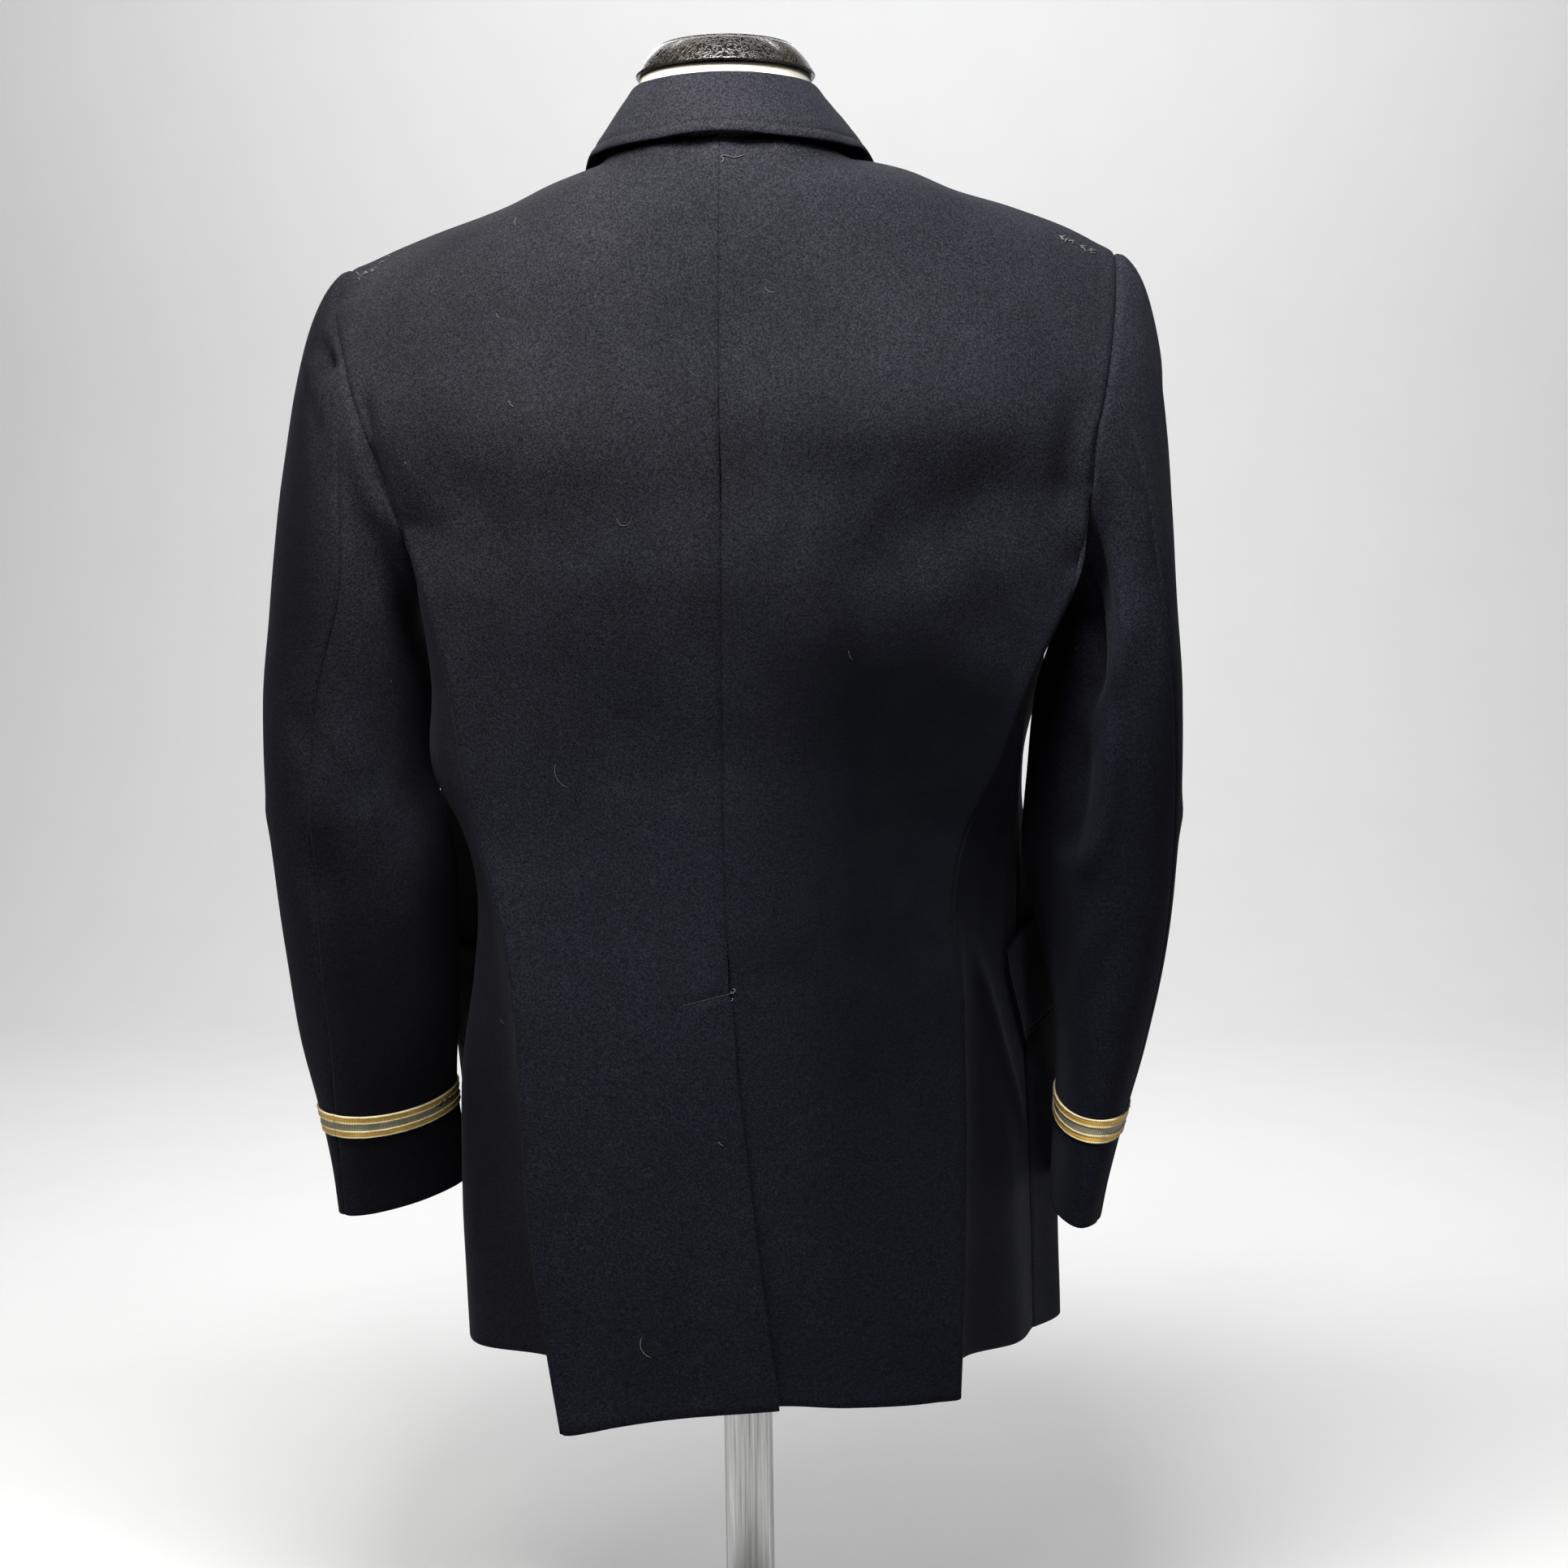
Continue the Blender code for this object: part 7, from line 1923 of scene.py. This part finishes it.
# a curl of white thread under the collar
c = []
for q in np.linspace(0, 1, 22):
    a = 4.4 - q * 5.2
    x = -0.0012 + 0.0034 * math.cos(a) * (1 - q) - 0.0150 * max(0.0, q - 0.45) / 0.55
    z = 0.7535 + 0.0028 * math.sin(a) * (1 - q) + 0.0022 * max(0.0, q - 0.45) / 0.55 + 0.0006 * math.sin(14 * q)
    c.append(on_back(x, z, 0.0005)[0])
rows.append(tube(np.array(c), 0.00024, 6))
joined("stray_fibres", rows, PALE_FIBRE)


# ------------------------------------------------------------------ cuff bands
# Across the band: place as a share of its width, how far it stands out, and which yarn runs there to the next row.
BAND_COLS = ("at", "out", "yarn")
BAND = (
    (0.000, 0.00015, 1), (0.020, 0.00070, 1), (0.045, 0.00092, 1), (0.070, 0.00070, 1), (0.085, 0.00045, 0), (0.110, 0.00060, 0),
    (0.150, 0.00068, 0), (0.185, 0.00050, 0), (0.200, 0.00045, 0), (0.235, 0.00066, 0), (0.265, 0.00050, 1), (0.285, 0.00085, 1),
    (0.310, 0.00098, 1), (0.335, 0.00080, 1), (0.350, 0.00030, 2), (0.380, 0.00022, 2), (0.430, 0.00026, 2), (0.470, 0.00022, 2),
    (0.500, 0.00026, 2), (0.540, 0.00022, 2), (0.590, 0.00026, 2), (0.635, 0.00022, 2), (0.655, 0.00030, 1), (0.670, 0.00080, 1),
    (0.695, 0.00098, 1), (0.720, 0.00085, 1), (0.740, 0.00050, 0), (0.770, 0.00066, 0), (0.805, 0.00045, 0), (0.820, 0.00050, 0),
    (0.855, 0.00068, 0), (0.895, 0.00060, 0), (0.920, 0.00045, 1), (0.935, 0.00070, 1), (0.960, 0.00092, 1), (0.982, 0.00070, 1),
    (1.000, 0.00015, 1),
)


def fine_braid(side):
    top, under = shape["sleeve_top_" + side.name].grid, shape["sleeve_under_" + side.name].grid
    if side.sign < 0:
        top, under = top[:, ::-1], under[:, ::-1]
    loop = [top[:, j] for j in range(top.shape[1])] + [under[:, j] for j in range(under.shape[1] - 2, 0, -1)]
    loop = np.array(loop)
    join = 0
    rows_out = []
    for at, _, _ in BAND:
        h = BRAID_UP + BRAID_W * at
        ring = []
        for col in loop:
            run = np.concatenate([[0], np.cumsum(np.linalg.norm(np.diff(col[:60], axis=0), axis=1))])
            ring.append([np.interp(h, run, col[:60, k]) for k in range(3)])
        ring = np.array(ring)
        for _ in range(6):
            ring = (np.roll(ring, 1, 0) + 2 * ring + np.roll(ring, -1, 0)) / 4
        rows_out.append(ring)
    g = np.array(rows_out)
    # closer columns, the join at the hind seam
    n = g.shape[1]
    closed = np.concatenate([g[:, -2:], g, g[:, :3]], axis=1)
    fine_at = np.concatenate([np.linspace(0, 1, 9)[:-1] * 1.0, np.linspace(1, n - 1, (n - 2) * 2 + 1)[:-1], np.linspace(n - 1, n, 9)[:-1]])
    g = np.array([spline(np.arange(-2, n + 3), row, fine_at) for row in closed])
    m = g.shape[1]
    around = np.roll(g, -1, axis=1) - np.roll(g, 1, axis=1)
    rise = np.repeat((g[-1] - g[0])[None], len(g), axis=0)
    nn = np.cross(around, rise)
    nn /= np.linalg.norm(nn, axis=-1, keepdims=True)
    centre = g.mean(axis=(0, 1))
    if ((g[0] - centre)[:, :2] * nn[0][:, :2]).sum() < 0:
        nn = -nn
    steps = np.linalg.norm(np.roll(g[len(g) // 2], -1, axis=0) - g[len(g) // 2], axis=1)
    run = np.concatenate([[0], np.cumsum(steps)])
    total = run[-1]
    run = run[:-1]
    from_join = np.minimum(run, total - run)
    butt = 1 - 0.75 * np.exp(-((from_join / 0.0007) ** 2))
    ripple = 1 + 0.10 * np.sin(run / total * 2 * np.pi * 23) + 0.08 * np.sin(run / total * 2 * np.pi * 41 + 1)
    relief = np.array([b[1] for b in BAND])[:, None] * (butt * ripple)[None, :]
    # a near-black gap in the band's middle, beside the body on the left cuff
    inward = smooth(0.0, 1.0, np.zeros(m))
    loose = np.zeros(m)
    if side.sign > 0:
        best = np.argmin(np.hypot(g[0, :, 0] - 0.2000, g[0, :, 1] + 0.030))
        off = np.abs(run - run[best])
        loose = np.exp(-((np.minimum(off, total - off) / 0.014) ** 2))
    base = 0.0006
    lift = base + relief
    outer = g + nn * lift[..., None]
    inner = g + nn * 0.0001
    r, c = g.shape[:2]
    points = np.concatenate([inner.reshape(-1, 3), outer.reshape(-1, 3)])
    faces, slots = [], []
    shares = np.array([b[0] for b in BAND])
    for j in range(c):
        k = (j + 1) % c
        for i in range(r - 1):
            mat = BAND[i][2]
            mid = (shares[i] + shares[i + 1]) / 2
            wavy = 0.075 + 0.05 * math.sin(run[j] * 900) + 0.03 * math.sin(run[j] * 2300 + 2)
            if loose[j] > 0.42 and abs(mid - 0.62) < wavy * loose[j] + 0.02:
                mat = 3
            faces.append((i * c + j, i * c + k, (i + 1) * c + k, (i + 1) * c + j))
            slots.append(mat)
            faces.append((r * c + i * c + j, r * c + (i + 1) * c + j, r * c + (i + 1) * c + k, r * c + i * c + k))
            slots.append(mat)
        faces.append((j, r * c + j, r * c + k, k))
        slots.append(1)
        faces.append(((r - 1) * c + j, (r - 1) * c + k, r * c + (r - 1) * c + k, r * c + (r - 1) * c + j))
        slots.append(1)
    volume = sum(points[f[0]] @ np.cross(points[f[1]], points[f[2]]) + points[f[0]] @ np.cross(points[f[2]], points[f[3]]) for f in faces)
    if volume < 0:
        faces = [f[::-1] for f in faces]
    u = np.repeat(run[None], r, axis=0)
    v = np.repeat((shares * BRAID_W)[:, None], c, axis=1)
    uv = np.stack([u, v], -1).reshape(-1, 2)
    obj = mesh_object("braid_" + side.name + "_band", points, faces, [GOLD_STRIPE, PALE_CORD, GREY_STRIPE, BAND_DARK_GAP], np.concatenate([uv, uv]), slots)
    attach(obj, "root")
    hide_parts("braid_" + side.name)
    CUTS[obj.name] = (BRAID_W, round(float(total), 3), round(float(total * BRAID_W), 5))
    # the join: a few dark tacking stitches over the butted ends
    rows = []
    for s in np.linspace(0.10, 0.92, 7):
        i = int(np.argmin(np.abs(shares - s)))
        a, b = outer[i, -3], outer[i, 3]
        mid = (outer[i, 0] + nn[i, 0] * 0.0006)
        rows.append(tube(np.array([a + nn[i, -3] * 0.00002, mid, b + nn[i, 3] * 0.00002]), 0.00016, 5))
    joined("braid_" + side.name + "_tacks", rows, DARK_THREAD)
    return obj


for side in (LEFT, RIGHT):
    made["braid_" + side.name] = fine_braid(side)


# -------------------------------------------------------------- turned pieces
def lathe(name, profile, steps, mat, node, place=(0, 0, 0), axis=(0, 0, 1), k=1, turn_uv=0.1):
    """Profile of (radius, height) turned about an axis, its ends on the axis closed."""
    prof = np.array(profile, float)
    if k > 1:
        prof = np.stack([np.interp(np.linspace(0, len(prof) - 1, (len(prof) - 1) * k + 1), np.arange(len(prof)), prof[:, q]) for q in (0, 1)], 1)
    ang = np.linspace(0, 2 * np.pi, steps, endpoint=False)
    run = np.concatenate([[0], np.cumsum(np.hypot(*np.diff(prof, axis=0).T))])
    points, faces, uv = [], [], []
    turn = Vector((0, 0, 1)).rotation_difference(Vector(axis)).to_matrix()
    turn = np.array(turn)
    rings = []
    for (r, h), s in zip(prof, run):
        if r < 1e-7:
            rings.append([len(points)])
            points.append((0, 0, h))
            uv.append((0, s))
        else:
            rings.append(list(range(len(points), len(points) + steps)))
            points += [(r * math.cos(a), r * math.sin(a), h) for a in ang]
            uv += [(a * turn_uv, s) for a in ang]
    for a, b in zip(rings[:-1], rings[1:]):
        for j in range(steps):
            w = (j + 1) % steps
            if len(a) == 1 and len(b) == 1:
                continue
            if len(a) == 1:
                faces.append((a[0], b[j], b[w]))
            elif len(b) == 1:
                faces.append((a[j], b[0], a[w]))
            else:
                faces.append((a[j], b[j], b[w], a[w]))
    pts = np.array(points) @ turn.T + np.array(place)
    volume = sum(pts[f[0]] @ np.cross(pts[f[q]], pts[f[q + 1]]) for f in faces for q in range(1, len(f) - 1))
    if volume < 0:
        faces = [f[::-1] for f in faces]
    obj = mesh_object(name, pts, faces, [mat], np.array(uv))
    obj.data.set_sharp_from_angle(angle=math.radians(50))
    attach(obj, "root")
    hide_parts(node)
    return obj


dome = [(BUTTON_R * 0.86 * math.sin(a), 0.0024 + 0.0036 * math.cos(a)) for a in np.linspace(0, math.pi / 2, 14)]
rim = [(BUTTON_R * 0.90 + 0.0010 * math.sin(a), 0.0023 + 0.0010 * math.cos(a)) for a in np.linspace(-1.2, 3.0, 12)]
BUTTON_FINE = [(0.0, 0.0060)] + dome[1:] + rim + [(0.0095, 0.0005), (0.0040, 0.0003), (0.0040, 0.0), (0.0, 0.0)]
plain_front = outer_tree(["front_left"])
for k in range(4):
    z = HEM + BREAK - 0.014 - BUTTON_PITCH * k
    place, normal, _, _ = plain_front.ray_cast(Vector((0, -1.0, z)), Vector((0, 1, 0)))
    if normal.y > 0:
        normal = -normal
    lathe("button_%d_gilt" % (k + 1), BUTTON_FINE, 56, GILT_METAL, "button_%d" % (k + 1), place + normal * 0.0009, normal)

lathe("form_base_disc", [(0.0, BASE_T), (0.020, BASE_T), (0.140, BASE_T - 0.001)] + [(0.140 + 0.0385 * math.sin(a), BASE_T - 0.0065 + 0.0055 * math.cos(a)) for a in np.linspace(0.15, 1.45, 10)]
      + [(BASE_R, 0.0060), (BASE_R, 0.0016), (BASE_R - 0.0005, 0.0005), (BASE_R - 0.0016, 0.0), (0.0, 0.0)], 128, BASE_PAINT, "form_base")
lathe("form_pole_tube", [(0.0, HEM + FORM[0][0] - 0.0003), (POLE_R - 0.001, HEM + FORM[0][0] - 0.0003), (POLE_R, HEM + FORM[0][0] - 0.0013), (POLE_R, 0.060), (POLE_R + 0.0015, 0.058),
                         (POLE_R + 0.0060, 0.050), (POLE_R + 0.0080, 0.034), (POLE_R + 0.0090, BASE_T + 0.004), (POLE_R + 0.0135, BASE_T + 0.0025), (POLE_R + 0.0140, BASE_T + 0.0004), (0.0, BASE_T + 0.0003)],
      72, STEEL_METAL, "form_pole", k=3)
cap_rows = np.array(CAP)
cap_fine = spline(np.arange(len(cap_rows) - 2), cap_rows[:-2], np.linspace(0, len(cap_rows) - 3, 46))
cap_fine[0, 0] = 0.0
lathe("form_neck_cap_enamel", [tuple(c) for c in cap_fine] + [tuple(cap_rows[-2]), (0.0, cap_rows[-1][1])], 128, CRACKLE, "form_neck_cap", (0, NECK_Y, HEM))


def fine_torso():
    rows = np.array(FORM)
    t = np.linspace(0, len(rows) - 1, (len(rows) - 1) * 6 + 1)
    around = 144
    a = np.linspace(0, 2 * np.pi, around, endpoint=False)
    grid = []
    for z, w, d, y, square in spline(np.arange(len(rows)), rows, t):
        c, s = np.cos(a), np.sin(a)
        grid.append(np.stack([w * np.sign(c) * np.abs(c) ** (2 / square), y + d * np.sign(s) * np.abs(s) ** (2 / square), np.full(around, z + HEM)], -1))
    grid = np.array(grid)
    n = len(grid)
    faces = [(i * around + j, i * around + (j + 1) % around, (i + 1) * around + (j + 1) % around, (i + 1) * around + j) for i in range(n - 1) for j in range(around)]
    points = [tuple(v) for v in grid.reshape(-1, 3)] + [(0.0, float(rows[0][3]), rows[0][0] + HEM), (0.0, float(rows[-1][3]), rows[-1][0] + HEM)]
    low, top = len(points) - 2, len(points) - 1
    faces += [(low, (j + 1) % around, j) for j in range(around)]
    faces += [(top, (n - 1) * around + j, (n - 1) * around + (j + 1) % around) for j in range(around)]
    uv = np.concatenate([np.stack([np.repeat(a[None] * 0.12, n, 0), grid[..., 2]], -1).reshape(-1, 2), [[0, 0], [0, 1]]])
    obj = mesh_object("form_torso_cover", np.array(points), faces, [JERSEY], uv)
    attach(obj, "root")
    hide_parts("form_torso")
    return obj


fine_torso()


# -------------------------------------------------------- floor, light, camera
def plain(name, colour, rough):
    m, t, shader = nodes_of(name)
    coord = t.nodes.new("ShaderNodeTexCoord")
    n = noise(t, coord.outputs["Object"], 6.0, 3.0)
    c = ramp(t, [(0.3, tuple(v * 0.985 for v in colour)), (0.7, colour)])
    link(t, n.outputs["Fac"], c.inputs["Fac"])
    link(t, c.outputs["Color"], shader.inputs["Base Color"])
    shader.inputs["Roughness"].default_value = rough
    shader.inputs["Specular IOR Level"].default_value = 0.15
    return m


arc = [(math.sin(a), 1 - math.cos(a)) for a in np.linspace(0, math.pi / 2, 24)]
profile = [(2.0, 0.0), (-2.6, 0.0)] + [(-2.6 - 1.4 * s, 1.4 * h) for s, h in arc[1:]] + [(-4.0, 4.5)]
profile = np.array(profile)
points = np.array([(x, y, z) for y, z in profile for x in (-2.2, 2.2)])
faces = [(2 * k, 2 * k + 1, 2 * k + 3, 2 * k + 2) for k in range(len(profile) - 1)]
floor = mesh_object("studio_floor", points, faces, [plain("floor_paper", (0.90, 0.90, 0.89), 0.9)])

world = bpy.data.worlds.new("studio")
bpy.context.scene.world = world
world.use_nodes = True
world.node_tree.nodes["Background"].inputs["Color"].default_value = (1.0, 1.0, 1.0, 1)
world.node_tree.nodes["Background"].inputs["Strength"].default_value = WORLD_LIGHT
world.cycles_visibility.diffuse = False  # the pale surroundings are seen, the lamps below light the cloth
world.cycles_visibility.glossy = False


def soft_light(name, place, aim, wide, high, power, colour=(1, 1, 1)):
    data = bpy.data.lights.new(name, "AREA")
    data.shape, data.size, data.size_y, data.energy, data.color = "RECTANGLE", wide, high, power, colour
    obj = bpy.data.objects.new(name, data)
    bpy.context.scene.collection.objects.link(obj)
    obj.location = place
    obj.rotation_mode = "QUATERNION"
    obj.rotation_quaternion = (Vector(aim) - Vector(place)).to_track_quat("-Z", "Y")
    obj.visible_camera = False
    return obj


for row in LIGHTS:
    soft_light(*row)

# camera: how far round from straight behind, distance, height, pitch down, roll and pan, in degrees and metres
AROUND, DISTANCE, HEIGHT, PITCH, ROLL_BY, PAN, LENS = 4.0, 1.600, HEM + 0.489, 4.27, 0.8, 1.06, 3030.0 / 1932.0 * 36.0
a = math.radians(AROUND)
eye = np.array((-math.sin(a) * DISTANCE, math.cos(a) * DISTANCE, HEIGHT))
ahead = np.array((math.sin(a), -math.cos(a), 0.0))
right = np.array((ahead[1], -ahead[0], 0.0))
ahead = ahead * math.cos(math.radians(PAN)) + right * math.sin(math.radians(PAN))
right = np.array((ahead[1], -ahead[0], 0.0))
up = np.array((0.0, 0.0, 1.0))
p = math.radians(PITCH)
look, top = ahead * math.cos(p) - up * math.sin(p), up * math.cos(p) + ahead * math.sin(p)
q = math.radians(ROLL_BY)
cam_right, cam_up = right * math.cos(q) - top * math.sin(q), right * math.sin(q) + top * math.cos(q)
data = bpy.data.cameras.new("camera")
data.lens, data.sensor_width, data.sensor_fit = LENS, 36.0, "HORIZONTAL"
camera = bpy.data.objects.new("camera", data)
bpy.context.scene.collection.objects.link(camera)
from mathutils import Matrix

turn = Matrix([[cam_right[k], cam_up[k], -look[k], eye[k]] for k in range(3)] + [[0, 0, 0, 1]])
camera.matrix_world = turn
bpy.context.scene.camera = camera
bpy.context.scene.view_settings.view_transform = "Standard"
bpy.context.scene.view_settings.look = "None"
